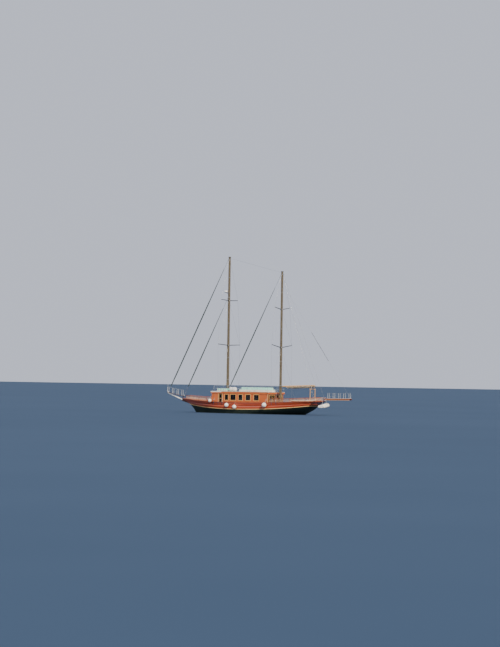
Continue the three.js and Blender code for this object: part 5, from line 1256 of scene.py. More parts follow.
casings = Form()
bars = Form()
blinds = Form()
for side in (-1, 1):
    for x0, x1 in SIDE_WINDOWS:
        casing_on_side(casings, x0, x1, WINDOW_FOOT, WINDOW_TOP, side)
        # Inner sash against the glass, inside the wall's thickness
        y_out, y_in = side * (HOUSE_HALF - 0.03), side * (HOUSE_HALF - 0.058)
        for a, b, c, d in ((x0, x0 + 0.03, WINDOW_FOOT, WINDOW_TOP), (x1 - 0.03, x1, WINDOW_FOOT, WINDOW_TOP),
                           (x0 + 0.03, x1 - 0.03, WINDOW_FOOT, WINDOW_FOOT + 0.035),
                           (x0 + 0.03, x1 - 0.03, WINDOW_TOP - 0.03, WINDOW_TOP)):
            box(bars, a, b, y_in, y_out, c, d)
        if x0 < 0.8:
            # The three after windows have their lower halves screened by a pale blind
            box(blinds, x0 + 0.02, x1 - 0.02, side * 2.226, side * 2.224, WINDOW_FOOT + 0.01,
                WINDOW_FOOT + 0.4)
        middle = (x0 + x1) / 2
        if x1 - x0 > 0.8:
            box(bars, middle - 0.014, middle + 0.014, y_in, y_out, WINDOW_FOOT + 0.035, WINDOW_TOP - 0.03)
    casing_on_side(casings, DOOR_X0, DOOR_X1, DOOR_FOOT + 0.075, DOOR_TOP, side)
piece(casings, "window_casings", [frame_wood], smooth=30, bevel=0.004)
piece(bars, "window_sashes", [dark_wood], smooth=30)
piece(blinds, "window_blinds", [blind_cloth], smooth=0)

# Mouldings along the side walls: corner posts, a rail under the windows, and raised panels below it
mouldings = Form()
for side in (-1, 1):
    y0, y1 = side * (HOUSE_HALF + 0.0005), side * (HOUSE_HALF + 0.014)
    post_z = deck_top(HOUSE_AFT) + 0.06
    box(mouldings, HOUSE_AFT + 0.002, HOUSE_AFT + 0.11, y0, y1, post_z, 3.045, 1)
    for a, b in ((HOUSE_AFT + 0.11, DOOR_X0 - CASING), (DOOR_X1 + CASING, 5.0)):
        box(mouldings, a, b, y0, y1, 1.86, 1.91)
        box(mouldings, a, b, y0, side * (HOUSE_HALF + 0.022), 2.99, 3.045)
    panel_edges = [-4.72, -3.75, -2.8, -1.83, -0.75, 0.22, 1.1, 2.0, 3.12]
    for a, b in zip(panel_edges, panel_edges[1:]):
        foot = max(deck_top(a), deck_top(b)) + 0.1
        for x0, x1, z0, z1 in surround(a + 0.08, b - 0.08, foot + 0.03, 1.79, 0.03, level=True):
            box(mouldings, x0, x1, y0, side * (HOUSE_HALF + 0.009), z0, z1)
piece(mouldings, "wall_mouldings", [house_wood, frame_wood], smooth=30, bevel=0.003)

# Raked front: casings laid along the slant
SLANT = math.hypot(1, RAKE) * (WALL_TOP - FRONT_FOOT_Z)
FRONT_WINDOWS = [(-2.05, -1.45), (-1.3, -0.7), (-0.55, 0.55), (0.7, 1.3), (1.45, 2.05)]
FRONT_LOW, FRONT_HIGH = 0.78, SLANT - 0.43
slope = math.atan(RAKE)


def on_front(y, along, out):
    """A point on the raked front: along is measured up the slant, out is away from its face."""
    return (FRONT_FOOT_X - math.sin(slope) * along + math.cos(slope) * out, y,
            FRONT_FOOT_Z + math.cos(slope) * along + math.sin(slope) * out)


def slab_on_front(form, y0, y1, low, high, out0, out1, mark=0):
    corners = [on_front(y, a, o) for o in (out0, out1)
               for y, a in ((y0, low), (y1, low), (y1, high), (y0, high))]
    form.add(corners, prism_faces(4), mark)


front_trim = Form()
for y0, y1 in FRONT_WINDOWS:
    for a, b, c, d in surround(y0, y1, FRONT_LOW, FRONT_HIGH, 0.06):
        slab_on_front(front_trim, a, b, c, d, 0.0005, CASING_OUT)
slab_on_front(front_trim, -2.29, 2.29, FRONT_LOW - 0.16, FRONT_LOW - 0.1, 0.0005, 0.02)
for a, b in zip((-2.25, -1.35, -0.6, 0.6, 1.35), (-1.4, -0.65, 0.55, 1.3, 2.25)):
    for y0, y1, c, d in surround(a + 0.06, b - 0.06, 0.15, FRONT_LOW - 0.22, 0.03, level=True):
        slab_on_front(front_trim, y0, y1, c, d, 0.0005, 0.01, 1)
outward(piece(front_trim, "front_window_casings", [frame_wood, house_wood], smooth=30, bevel=0.003))

# Aft wall casings
aft_trim = Form()
for y0, y1, z0, z1 in ((-1.9, -1.1, WINDOW_FOOT, WINDOW_TOP), (0.35, 1.9, WINDOW_FOOT, WINDOW_TOP)):
    x0, x1 = HOUSE_AFT - CASING_OUT, HOUSE_AFT - 0.0005
    for a, b, c, d in surround(y0, y1, z0, z1, 0.06):
        sill = 0.012 if d == z0 else 0.0
        box(aft_trim, x0 - sill, x1, a, b, c, d)
    for share in (0.5,) if y1 - y0 < 1 else (1 / 3, 2 / 3):
        y = y0 + (y1 - y0) * share
        box(aft_trim, HOUSE_AFT + 0.004, HOUSE_AFT + 0.04, y - 0.018, y + 0.018, z0, z1)
    box(aft_trim, HOUSE_AFT + 0.046, HOUSE_AFT + 0.054, y0 + 0.001, y1 - 0.001, z0 + 0.001, z1 - 0.001, 1)
outward(piece(aft_trim, "aft_window_casings", [frame_wood, cabin_glass], smooth=30, bevel=0.003))

# Door leaves: glass in the panes, a bolection round each pane, and a lever handle, riding on each door
LEAF_IN = HOUSE_HALF - HOUSE_THICK
LEAF_OUT = LEAF_IN + 0.045
for name, body, side in (("port", "port_door", 1), ("starboard", "starboard_door", -1)):
    trim = Form()
    for z0, z1 in ((2.3, 2.92), (1.56, 2.19)):
        box(trim, 3.391, 3.819, side * (LEAF_IN + 0.018), side * (LEAF_IN + 0.026), z0 + 0.001, z1 - 0.001, 1)
        for face, out in ((LEAF_OUT, 0.008), (LEAF_IN, -0.008)):
            y0, y1 = side * (face + (0.0004 if out > 0 else -0.0004)), side * (face + out)
            for a, b, c, d in surround(3.39, 3.82, z0, z1, 0.025):
                box(trim, a, b, y0, y1, c, d)
    for out in (LEAF_OUT, LEAF_IN):
        grow = side * (0.03 if out == LEAF_OUT else -0.03)
        tube(trim, [(3.332, side * out, 2.24), (3.332, side * out + grow, 2.24)], 0.012, 12, 2)
        tube(trim, [(3.332, side * out + grow, 2.24), (3.34, side * out + grow * 1.2, 2.241),
                    (3.44, side * out + grow * 1.2, 2.24)], 0.008, 12, 2)
    outward(piece(trim, f"door_trim_{name}", [frame_wood, cabin_glass, bronze], body=body, smooth=30,
                  bevel=0.002))
trim = Form()
box(trim, HOUSE_AFT + 0.018, HOUSE_AFT + 0.026, -0.629, -0.171, 2.181, 2.859, 1)
for x0, x1 in ((HOUSE_AFT - 0.008, HOUSE_AFT - 0.0004), (HOUSE_AFT + 0.0454, HOUSE_AFT + 0.053)):
    panel_bars = surround(-0.575, -0.225, 1.645, 2.02, 0.025, level=True)
    for a, b, c, d in surround(-0.63, -0.17, 2.18, 2.86, 0.025) + panel_bars:
        box(trim, x0, x1, a, b, c, d)
for face, out in ((HOUSE_AFT, -0.03), (HOUSE_AFT + 0.045, 0.03)):
    tube(trim, [(face, -0.1, 2.2), (face + out, -0.1, 2.2)], 0.012, 12, 2)
    tube(trim, [(face + out, -0.1, 2.2), (face + out * 1.2, -0.11, 2.2), (face + out * 1.2, -0.2, 2.2)],
         0.008, 12, 2)
outward(piece(trim, "door_trim_aft", [frame_wood, cabin_glass, bronze], body="aft_door", smooth=30,
              bevel=0.002))

# Roof: beaded fascia boards with a white edge over them, the front board, and the painted roof deck. At the
# front, that white edge and the white front board are partly painted highlight of the roof's front corner.
ROOF_HALF, ROOF_AFT, ROOF_FORE, FASCIA_FOOT, FASCIA_THICK = 2.5, -5.08, 5.33, 3.05, 0.045
VISOR_AFT = 3.4
MAIN_X, MAIN_FOOT_RADIUS = 3.75, 0.21
MIZZEN_X, MIZZEN_FOOT_RADIUS = -5.7, 0.195


def rounded_plan(x0, x1, half, corner, z, steps=5):
    """A level rounded rectangle, run so that its left is outward."""
    points = []
    for cx, cy, start in ((x0, -half, 180), (x0, half, 90), (x1, half, 0), (x1, -half, -90)):
        centre = (cx + corner if cx == x0 else cx - corner, cy + corner if cy < 0 else cy - corner)
        for n in range(steps + 1):
            angle = math.radians(start - 90 * n / steps)
            points.append(Vector((centre[0] + corner * math.cos(angle), centre[1] + corner * math.sin(angle),
                                  z)))
    return points


def roof_edge(inset, z, corner=0.12):
    return rounded_plan(ROOF_AFT + inset, ROOF_FORE - inset, ROOF_HALF - inset, max(corner - inset, 0.02), z)


roof = Form()
fascia_section = [(0.0, 0.0), (0.0, 0.05), (-0.008, 0.056), (-0.008, 0.225), (0.0, 0.232), (0.0, 0.262),
                  (-FASCIA_THICK, 0.262), (-FASCIA_THICK, 0.0)]
sweep(roof, roof_edge(0.0, FASCIA_FOOT), fascia_section[::-1], closed=True)
sweep(roof, roof_edge(0.0, FASCIA_FOOT), [(-0.001, 0.262), (-0.001, 0.284), (-0.014, 0.3), (-0.12, 0.3),
                                          (-0.12, 0.262)][::-1], closed=True, mark=1)
outward(piece(roof, "roof_fascia", [house_wood, white_paint], replaces=["roof"], smooth=30))

# The white front board is partly painted highlight: it stands for the light line along the roof's front edge
front_board_and_highlight = Form()
edge = [p for p in roof_edge(-0.0004, FASCIA_FOOT) if p.x > 4]
back = [Vector((VISOR_AFT, edge[-1].y, FASCIA_FOOT)), Vector((VISOR_AFT, edge[0].y, FASCIA_FOOT))]
sweep(front_board_and_highlight, [back[1], *edge, back[0]], [(0.0, 0.17), (0.008, 0.176), (0.008, 0.29), (0.0, 0.298)][::-1])
outward(piece(front_board_and_highlight, "roof_front_board", [white_paint], smooth=30))

roof_top = Form()
hole_sides, HOLE = 24, MAIN_FOOT_RADIUS + 0.01
outer_ring = roof_edge(0.1, ROOF_Z)
hole_ring = [Vector((MAIN_X + HOLE * c, HOLE * s, ROOF_Z)) for c, s in circle(hole_sides)]
shape = bmesh.new()
outer_edges, hole_edges = [], []
for ring, edges in ((outer_ring, outer_edges), (hole_ring, hole_edges)):
    made_corners = [shape.verts.new(p) for p in ring]
    for n in range(len(ring)):
        edges.append(shape.edges.new((made_corners[n], made_corners[(n + 1) % len(ring)])))
filled = bmesh.ops.triangle_fill(shape, edges=outer_edges + hole_edges, use_beauty=True)
top_faces = [item for item in filled["geom"] if isinstance(item, bmesh.types.BMFace)]
shape.verts.ensure_lookup_table()
shape.verts.index_update()
corners = [v.co.copy() for v in shape.verts]
triangles = [tuple(v.index for v in face.verts) for face in top_faces]
shape.free()
under = [Vector((p.x, p.y, ROOF_Z - 0.06)) for p in corners]
lift = len(corners)
walls = []
for ring_start, ring_count in ((0, len(outer_ring)), (len(outer_ring), len(hole_ring))):
    for n in range(ring_count):
        a, b = ring_start + n, ring_start + (n + 1) % ring_count
        walls.append((a, b, b + lift, a + lift))
roof_top.add(corners + under, triangles + [tuple(i + lift for i in reversed(t)) for t in triangles] + walls)
outward(piece(roof_top, "roof_deck", [roof_paint], replaces=["roof"], smooth=0))
# Handholds and battens that divide the roof's covering, and a collar round the mast
battens = Form()
for x in (-3.9, -2.7, -1.5, -0.3, 0.9, 2.1):
    for y0, y1 in ((-2.3, -0.85), (0.85, 2.3)):
        if x > 1.5 and y0 > 0:
            y0 = 1.3
        box(battens, x - 0.02, x + 0.02, y0, y1, ROOF_Z + 0.0004, ROOF_Z + 0.007)
collar_ring = [(HOLE, 0.0), (HOLE + 0.05, 0.0), (HOLE + 0.05, 0.03), (HOLE + 0.025, 0.045),
               (HOLE + 0.01, 0.09), (HOLE, 0.09)]
ring_path = [Vector((MAIN_X + c, s, ROOF_Z + 0.0004)) for c, s in circle(32)]
sweep(battens, ring_path[::-1], [(r - 1.0, z) for r, z in collar_ring], closed=True, mark=1)
outward(piece(battens, "roof_battens", [house_wood, white_paint], smooth=30, bevel=0.002))

GOOSE_X = MIZZEN_X - 0.27


# Masts: tapered spars with iron bands, a truck, a boot at the deck, and cleats for the halyards
def mast_foot(x, radius):
    return max(deck_top(x - radius), deck_top(x + radius)) + 0.0004


MASTS = {
    # place, radius at the foot and at the head, height of the truck, its radius
    "main": (MAIN_X, MAIN_FOOT_RADIUS, 0.165, 24.2, 0.22),
    "mizzen": (MIZZEN_X, MIZZEN_FOOT_RADIUS, 0.16, 21.8, 0.205),
}


def mast_radius(mast, z):
    x, foot_radius, head_radius, head, _ = MASTS[mast]
    foot = mast_foot(x, foot_radius)
    return foot_radius + (head_radius - foot_radius) * (z - foot) / (head - foot)


def band(form, mast, z, deep=0.06, proud=0.006, mark=1):
    """An iron band round a mast."""
    x = MASTS[mast][0]
    radius = mast_radius(mast, z)
    lathe(form, (x, 0, z - deep / 2), (x, 0, z + deep),
          [(0, radius), (0.003, radius + proud), (deep - 0.003, radius + proud), (deep, radius)], 32, mark)


for mast, (x, foot_radius, head_radius, head, cap_radius) in MASTS.items():
    foot = mast_foot(x, foot_radius)
    tall = head - foot
    form = Form()
    steps = [(tall * n / 12, foot_radius + (head_radius - foot_radius) * n / 12) for n in range(12)]
    lathe(form, (x, 0, foot), (x, 0, head), steps + [(tall - 0.12, head_radius),
                                                     (tall - 0.1, head_radius + 0.02),
                                                     (tall - 0.07, cap_radius - 0.01),
                                                     (tall - 0.06, cap_radius), (tall - 0.008, cap_radius),
                                                     (tall, cap_radius - 0.008)], 32)
    lathe(form, (x, 0, foot), (x, 0, foot + 1),
          [(0, foot_radius + 0.07), (0.04, foot_radius + 0.07), (0.05, foot_radius + 0.03),
           (0.16, foot_radius + 0.012), (0.165, foot_radius)], 32, 1)
    heights = (5.2, 8.6, 13.9, 17.9, 21.0, 23.75) if mast == "main" else (4.35, 8.0, 13.0, 18.6, 21.3)
    for z in heights:
        band(form, mast, z)
    # Cleats round the foot, with their halyards' coils hung on them
    cleat_z = ROOF_Z + 1.2 if mast == "main" else 2.7
    for n in range(6):
        angle = math.radians(30 + 60 * n)
        radius = mast_radius(mast, cleat_z)
        out = Vector((math.cos(angle), math.sin(angle), 0))
        base = Vector((x, 0, cleat_z + 0.12 * (n % 2))) + out * radius
        tube(form, [base, base + out * 0.04], 0.014, 8, 1)
        tube(form, [base + out * 0.045 + Vector((0, 0, -0.09)), base + out * 0.04,
                    base + out * 0.045 + Vector((0, 0, 0.09))], [0.006, 0.012, 0.006], 8, 1)
    if mast == "mizzen":
        # Gooseneck bracket with its upright pin
        box(form, GOOSE_X - 0.05, MIZZEN_X - 0.1, -0.05, 0.05, 4.1, 4.13, 1)
        tube(form, [(GOOSE_X, 0, 4.12), (GOOSE_X, 0, 4.315)], 0.018, 20, 1)
        tube(form, [(GOOSE_X, 0, 4.312), (GOOSE_X, 0, 4.324)], 0.026, 20, 1)
    piece(form, f"{mast}_mast_spar", [spar_wood, galvanised], replaces=[f"{mast}_mast"], smooth=35)

# Halyard falls down each mast, and the coils on the cleats
for mast, (x, foot_radius, _, head, _) in MASTS.items():
    ropes = Form()
    cleat_z = ROOF_Z + 1.2 if mast == "main" else 2.7
    for n in range(6):
        angle = math.radians(30 + 60 * n)
        out = Vector((math.cos(angle), math.sin(angle), 0))
        around = Vector((-out.y, out.x, 0))
        low_z = cleat_z + 0.12 * (n % 2)
        gap = 0.034
        low = Vector((x, 0, low_z + 0.05)) + out * (mast_radius(mast, low_z) + gap)
        high = Vector((x, 0, head - 0.35)) + out * (mast_radius(mast, head - 0.35) + 0.02)
        tube(ropes, [low, low.lerp(high, 0.5), high], 0.006, 6)
        # The coil: five long turns side by side, hung from the cleat
        loop = []
        for step in range(5 * 16 + 1):
            turn = 2 * math.pi * step / 16
            hang = 0.24 * (1 - math.cos(turn)) / 2
            spread_out = 0.045 + 0.02 * hang / 0.24
            loop.append(Vector((x, 0, low_z + 0.06 - hang * 1.6)) + around * (math.sin(turn) * spread_out)
                        + out * (mast_radius(mast, low_z) + 0.02 + 0.008 * step / 16))
        tube(ropes, loop, 0.006, 6)
    piece(ropes, f"{mast}_halyards", [tan_rope], smooth=60)

# Spreaders: streamlined arms from a collar to the shroud at each tip
SPREADERS = {
    "main_spreaders_lower": ("main", 10.48, 10.6, 3.2, 0.12),
    "main_spreaders_upper": ("main", 17.4, 17.5, 2.43, 0.09),
    "mizzen_spreaders_lower": ("mizzen", 10.16, 10.55, 3.05, 0.12),
    "mizzen_spreaders_upper": ("mizzen", 15.97, 16.25, 2.3, 0.09),
}
for name, (mast, root_z, tip_z, span, back) in SPREADERS.items():
    x = MASTS[mast][0]
    radius = mast_radius(mast, root_z)
    form = Form()
    for side in (-1, 1):
        root, tip = Vector((x, side * (radius - 0.02), root_z)), Vector((x - back, side * span, tip_z))
        way = (tip - root).normalized()
        fore = way.cross(Vector((0, 0, 1))).normalized()
        rise = fore.cross(way)
        rings = []
        for share, chord, deep in ((0, 0.055, 0.03), (0.05, 0.055, 0.0275), (0.5, 0.052, 0.025),
                                   (0.94, 0.044, 0.021), (0.985, 0.04, 0.02), (1.0, 0.03, 0.012)):
            here = root.lerp(tip, share)
            rings += [here + fore * 1.6 * chord * c + rise * 2.15 * deep * s for c, s in circle(14)]
        form.add(rings, grid_faces(6, 14, wrap=True, caps=True))
        lathe(form, tip - rise * 0.03, tip + rise,
              [(0, 0.012), (0.005, 0.022), (0.055, 0.022), (0.06, 0.012)], 12, 1)
    lathe(form, (x, 0, root_z - 0.06), (x, 0, root_z + 1),
          [(0, radius + 0.001), (0.006, radius + 0.016), (0.114, radius + 0.016), (0.12, radius + 0.001)], 32,
          1)
    for side in (-1, 1):
        box(form, x - 0.1, x + 0.1, side * (radius + 0.004), side * (radius + 0.09), root_z - 0.062,
            root_z - 0.05, 1)
        box(form, x - 0.1, x + 0.1, side * (radius + 0.004), side * (radius + 0.09), root_z + 0.05,
            root_z + 0.062, 1)
    outward(piece(form, name + "_arms", [spreaders_painted_shade, galvanised], replaces=[name], smooth=40))


# Standing rigging: triatic stay, backstays, shrouds to the hull sides, and their bottle screws
def wire(form, start, end, radius=0.006, mark=0):
    """A taut wire with a swaged end and a bottle screw at its foot."""
    start, end = Vector(start), Vector(end)
    way = (end - start).normalized()
    tube(form, [start + way * 0.5, end - way * 0.16], radius, 8, mark)
    lathe(form, start, end, [(0, 0.008), (0.01, 0.014), (0.07, 0.014), (0.085, 0.009), (0.12, 0.009),
                             (0.13, 0.019), (0.4, 0.019),
                             (0.41, 0.009), (0.45, 0.009), (0.46, 0.013), (0.53, 0.011), (0.54, 0.006)], 10,
          1)
    lathe(form, end, start, [(0, 0.012), (0.012, 0.016), (0.05, 0.016), (0.06, 0.01), (0.17, 0.009),
                             (0.18, 0.005)], 10, 1)


stays = Form()
triatic = [(MAIN_X - mast_radius("main", 23.95) + 0.004, 0, 23.95),
           (MIZZEN_X + mast_radius("mizzen", 21.6) - 0.004, 0, 21.6)]
tube(stays, triatic, 0.009, 10)
for end, start in (triatic, reversed(triatic)):
    lathe(stays, end, start, [(0, 0.02), (0.06, 0.02), (0.07, 0.012), (0.2, 0.011), (0.21, 0.009)], 10, 1)
piece(stays, "triatic_stay_wire", [wire_steel, stainless], replaces=["triatic_stay"], smooth=50)

stays = Form()
face = MIZZEN_X - mast_radius("mizzen", 21.3)
TANG_X = MIZZEN_X - 0.25
box(stays, TANG_X, face + 0.01, -0.07, 0.07, 21.2, 21.212, 1)
box(stays, TANG_X, face + 0.01, -0.012, 0.012, 21.2, 21.4, 1)
box(stays, TANG_X, face + 0.01, -0.07, 0.07, 21.388, 21.4, 1)
box(stays, TANG_X, TANG_X + 0.06, -0.07, 0.07, 21.2, 21.4, 1)
for side in (-1, 1):
    wire(stays, (-12.558, side * 1.666, 2.126), (TANG_X + 0.05, side * 0.04, 21.3), 0.009)
piece(stays, "backstay_wires", [wire_steel, stainless], replaces=["backstays"], smooth=50)

# Shrouds: main pair from the masthead over both spreaders, lower pairs from under the lower spreaders
shrouds = Form()
plates = Form()


def chainplate(x, side, toward):
    """A flat bar bolted outside the hull below the cap rail, with its eye over the cap; returns the eye."""
    high = cap_top(x)
    half = cap_half(x) + 0.012
    eye = Vector((x, side * (half + 0.004), high + 0.06))
    lean = (Vector(toward) - eye).normalized()
    low_z = at_x(rows["deckEdge"], x, 2) + 0.06
    low = Vector((x, side * (wall_half(x, low_z) + 0.006), low_z))
    corner = Vector((x, side * (half + 0.004), high - 0.07))
    bar = []
    for here, half_wide in ((low, 0.03), (corner, 0.03), (eye + Vector((0, 0, 0.012)), 0.026)):
        for a, b in ((-1, 0), (1, 0), (1, 1), (-1, 1)):
            bar.append(here + Vector((a * half_wide, side * b * 0.01, 0)))
    faces = grid_faces(3, 4, wrap=True, caps=True)
    plates.add(bar, faces if side > 0 else [tuple(reversed(face)) for face in faces], 0)
    lathe(plates, eye - Vector((0, side * 0.008, 0)), eye + Vector((0, side, 0)),
          [(0, 0.028), (0.016, 0.028)], 12, 0)
    return eye + lean * 0.015


def shroud_set(mast, spreaders, feet, cap_x):
    """Cap shrouds over the spreader tips, and lowers to either side of them."""
    lower, upper = (SPREADERS[name] for name in spreaders)
    x = MASTS[mast][0]
    head_z = MASTS[mast][3] - 0.35
    for side in (-1, 1):
        lower_tip = Vector((x - lower[4], side * (lower[3] + 0.014), lower[2]))
        upper_tip = Vector((x - upper[4], side * (upper[3] + 0.014), upper[2]))
        head = Vector((x, side * mast_radius(mast, head_z), head_z))
        foot = chainplate(cap_x, side, lower_tip)
        wire(shrouds, foot, lower_tip, 0.007)
        tube(shrouds, [lower_tip, upper_tip, head], 0.007, 8)
        middle = Vector((x, side * mast_radius(mast, upper[1] - 0.2), upper[1] - 0.2))
        tube(shrouds, [lower_tip + Vector((0, -side * 0.02, 0.02)), middle], 0.006, 8)
        for foot_x, high_z in feet:
            high = Vector((x, side * mast_radius(mast, high_z), high_z))
            wire(shrouds, chainplate(foot_x, side, high), high, 0.006)


shroud_set("main", ("main_spreaders_lower", "main_spreaders_upper"), ((4.5, 10.3), (2.8, 10.3)), 3.57)
shroud_set("mizzen", ("mizzen_spreaders_lower", "mizzen_spreaders_upper"), ((-4.95, 10.0), (-6.65, 10.0)),
           -5.88)
piece(shrouds, "shroud_wires", [wire_steel, stainless], smooth=50)
piece(plates, "chainplates", [stainless], smooth=30, bevel=0.002)

# Furled sails rolled on their stays: wire, drum, and cloth wound in overlapping turns
FURLED = {
    # tack and head; the drum's place on the wire; the roll's lowest and highest z; its full radius
    "jib_furled": ((14.72, 0, walk_at(14.72) + WALK_THICK + 0.0004), "main", 23.9, 0.06, 4.0, 22.4, 0.095),
    "staysail_furled": ((11.76, 0, walk_at(11.76) + WALK_THICK + 0.0004), "main", 17.9, 0.06, 4.0, 16.3,
                        0.09),
    "mizzen_staysail_furled": ((MAIN_X - mast_radius("main", 3.66) + 0.003, 0, 3.66), "mizzen", 21.4, 0.23,
                               4.2, 19.3, 0.085),
}
for name, (tack, mast, head_z, drum, roll_from, roll_to, full) in FURLED.items():
    tack = Vector(tack)
    head = Vector((MASTS[mast][0] + mast_radius(mast, head_z) - 0.003, 0, head_z))
    way = (head - tack).normalized()
    low, high = (roll_from - tack.z) / way.z, (roll_to - tack.z) / way.z
    side = Vector((0, 1, 0))
    rise = way.cross(side)
    fittings = Form()
    drum_form = [(0.0, 0.013), (0.01, 0.07), (0.015, 0.076), (0.03, 0.076), (0.035, 0.042), (0.105, 0.042),
                 (0.11, 0.076), (0.126, 0.076), (0.13, 0.07), (0.14, 0.026), (0.28, 0.024), (0.3, 0.02)]
    lathe(fittings, tack, head, [(0, 0.012)] + [(drum + up, r) for up, r in drum_form] + [(low + 0.1, 0.02)],
          24, 1)
    tube(fittings, [tack + way * (high - 0.1), head], 0.008, 8)
    lathe(fittings, head, tack, [(0, 0.012), (0.01, 0.02), (0.06, 0.02), (0.07, 0.012), (0.12, 0.012),
                                 (0.13, 0.032), (0.3, 0.032), (0.31, 0.02),
                                 ((head - tack).length - high + 0.05, 0.016)], 16, 1)
    turns = 5 * 16
    rope = [tack + way * (drum + 0.04 + 0.06 * n / turns) + (side * c + rise * s) * 0.049
            for n, (c, s) in enumerate(circle(16) * 5)]
    tube(fittings, rope, 0.006, 6, 2)
    piece(fittings, name + "_stay", [wire_steel, stainless, white_rope], smooth=40)

    # The cloth: one wound sheet whose leech climbs round the roll
    size, rings = 26, int((high - low) / 0.12)
    corners, places = [], []
    for i in range(rings + 1):
        along = low + (high - low) * i / rings
        up, down = along - low, high - along
        radius = full * min(1.0, 0.75 + 0.25 * up / 2.2, 0.35 + 0.5 * down / 6.0,
                            0.85 + 0.15 * max(down - 6.0, 0) / 1.0)
        radius *= min(1.0, 0.45 + up / 0.12, 0.5 + down / 0.12)
        for n in range(size):
            turn = n / size
            climb = (turn - along / 0.95) % 1.0
            second = (turn + 0.4 - along / 1.9) % 1.0
            here = radius * (0.93 + 0.07 * (1 - climb) + 0.02 * math.cos(2 * math.pi * second) + 0.012
                             * math.sin(along * 9 + turn * 12.566))
            angle = 2 * math.pi * turn
            corners.append(tack + way * along + (side * math.cos(angle) + rise * math.sin(angle)) * here)
            places.append((turn, along))
    roll = Form()
    roll.add(corners, grid_faces(rings + 1, size, wrap=True, caps=True), 0, places)
    outward(piece(roll, name + "_roll", [dark_canvas], replaces=[name], smooth=55))


# Mizzen boom with iron bands, sheet bails, and its eye round the gooseneck pin
BOOM_ROOT, BOOM_END = Vector((GOOSE_X - 0.06, 0, 4.2515)), Vector((-11.85, 0, 4.49))
boom_way = (BOOM_END - BOOM_ROOT).normalized()


def boom_height(x):
    return BOOM_ROOT.z + (BOOM_END.z - BOOM_ROOT.z) * (x - BOOM_ROOT.x) / (BOOM_END.x - BOOM_ROOT.x)


boom = Form()
lathe(boom, BOOM_ROOT, BOOM_END, [(0, 0.055), (0.03, 0.074), (0.1, 0.075), (2.8, 0.07), (5.5, 0.0655),
                                  (5.6, 0.065), (5.618, 0.05)], 28)
for along, radius in ((0.06, 0.0755), (1.3, 0.0735), (3.4, 0.0695), (5.38, 0.0662)):
    lathe(boom, BOOM_ROOT + boom_way * along, BOOM_END,
          [(0, radius - 0.003), (0.003, radius + 0.003), (0.05, radius + 0.003), (0.053, radius - 0.003)], 28,
          1)
ring, ring_faces = [], []
for z in (4.131, 4.3):
    for radius in (0.0195, 0.048):
        ring += [(GOOSE_X + radius * c, radius * s, z) for c, s in circle(28)]
for n in range(28):
    m = (n + 1) % 28
    ring_faces += [(28 + n, 28 + m, 84 + m, 84 + n), (m, n, 56 + n, 56 + m), (m, 28 + m, 28 + n, n),
                   (56 + n, 84 + n, 84 + m, 56 + m)]
boom.add(ring, ring_faces, 1)
beam(boom, (GOOSE_X - 0.04, 0, 4.2165), (GOOSE_X - 0.1, 0, 4.2165), 0.06, 0.12, 1)
for along in (5.3, 3.4, 1.3):
    here = BOOM_ROOT + boom_way * along
    tube(boom, [here + Vector((0, -0.045, 0.03)), here + Vector((0, -0.04, 0.125)),
                here + Vector((0, 0.04, 0.125)), here + Vector((0, 0.045, 0.03))], 0.008, 8, 1)
outward(piece(boom, "mizzen_boom_spar", [frame_wood, galvanised], "boom", ["mizzen_boom"], smooth=35))

# The furled mizzen: one cloth flaked from side to side under the boom, as far as it hangs
FURL = ((-6.7, 0.06, 0.07), (-6.95, 0.115, 0.13), (-7.9, 0.15, 0.16), (-9.0, 0.16, 0.165),
        (-10.1, 0.15, 0.16), (-11.2, 0.135, 0.15), (-11.65, 0.11, 0.12), (-11.82, 0.05, 0.06))


def between_rows(table, x):
    for first, second in zip(table, table[1:]):
        if first[0] >= x >= second[0]:
            share = (x - first[0]) / (second[0] - first[0])
            return [a + (b - a) * share for a, b in zip(first[1:], second[1:])]
    return list(table[-1][1:])


FLAKES = 24
FLAKE_STEPS = 7
corners, places = [], []
stations = 64
for i in range(stations + 1):
    x = FURL[0][0] + (FURL[-1][0] - FURL[0][0]) * i / stations
    wide, deep = between_rows(FURL, x)
    under_boom = boom_height(x) - 0.06
    line = []
    for flake in range(FLAKES):
        level = (flake + 0.5) / FLAKES
        reach = wide * math.sqrt(max(1 - (2 * level - 1) ** 2,
                                     0.05)) * (0.93 + 0.07 * math.sin(3.1 * flake + 1.7 * x))
        for step in range(FLAKE_STEPS):
            share = step / (FLAKE_STEPS - 1)
            across = (2 * share - 1) * (1 if flake % 2 else -1)
            lift = (share - 0.5) / FLAKES * 0.8
            sag = 0.006 * math.sin(5.3 * x + 2.1 * flake) * (1 - across * across)
            line.append(Vector((x, reach * math.sin(across * math.pi / 2),
                                under_boom - (level + lift) * 2 * deep + sag)))
    run = 0.0
    for n, here in enumerate(line):
        run += (here - line[n - 1]).length if n else 0.0
        corners.append(here)
        places.append((x, run))
wide_of_line = FLAKES * FLAKE_STEPS
sail = Form()
sail.add(corners, grid_faces(stations + 1, wide_of_line), 0, places)
sail_piece = piece(sail, "mizzen_sail_flaked", [sailcloth], "boom", ["mizzen_sail"], smooth=70)

# Sail ties round boom and cloth
ties = Form()
for x in (-7.1, -7.9, -8.7, -9.5, -10.3, -11.1, -11.6):
    wide, deep = between_rows(FURL, x)
    boom_z = boom_height(x)
    middle = boom_z - 0.06 - deep
    loop = []
    for n in range(33):
        angle = 2 * math.pi * n / 32
        y = (wide + 0.012) * math.sin(angle)
        z = middle + (deep + 0.012) * math.cos(angle)
        if math.cos(angle) > 0.3:
            z = max(z, boom_z + 0.077 * math.cos(angle))
            y = (0.5 * abs(y) + 0.045) * (1 if y > 0 else -1 if y < 0 else 0)
        loop.append((x + 0.02 * math.sin(angle), y, z))
    tube(ties, loop, 0.009, 6)
piece(ties, "sail_ties", [white_rope], "boom", smooth=60)


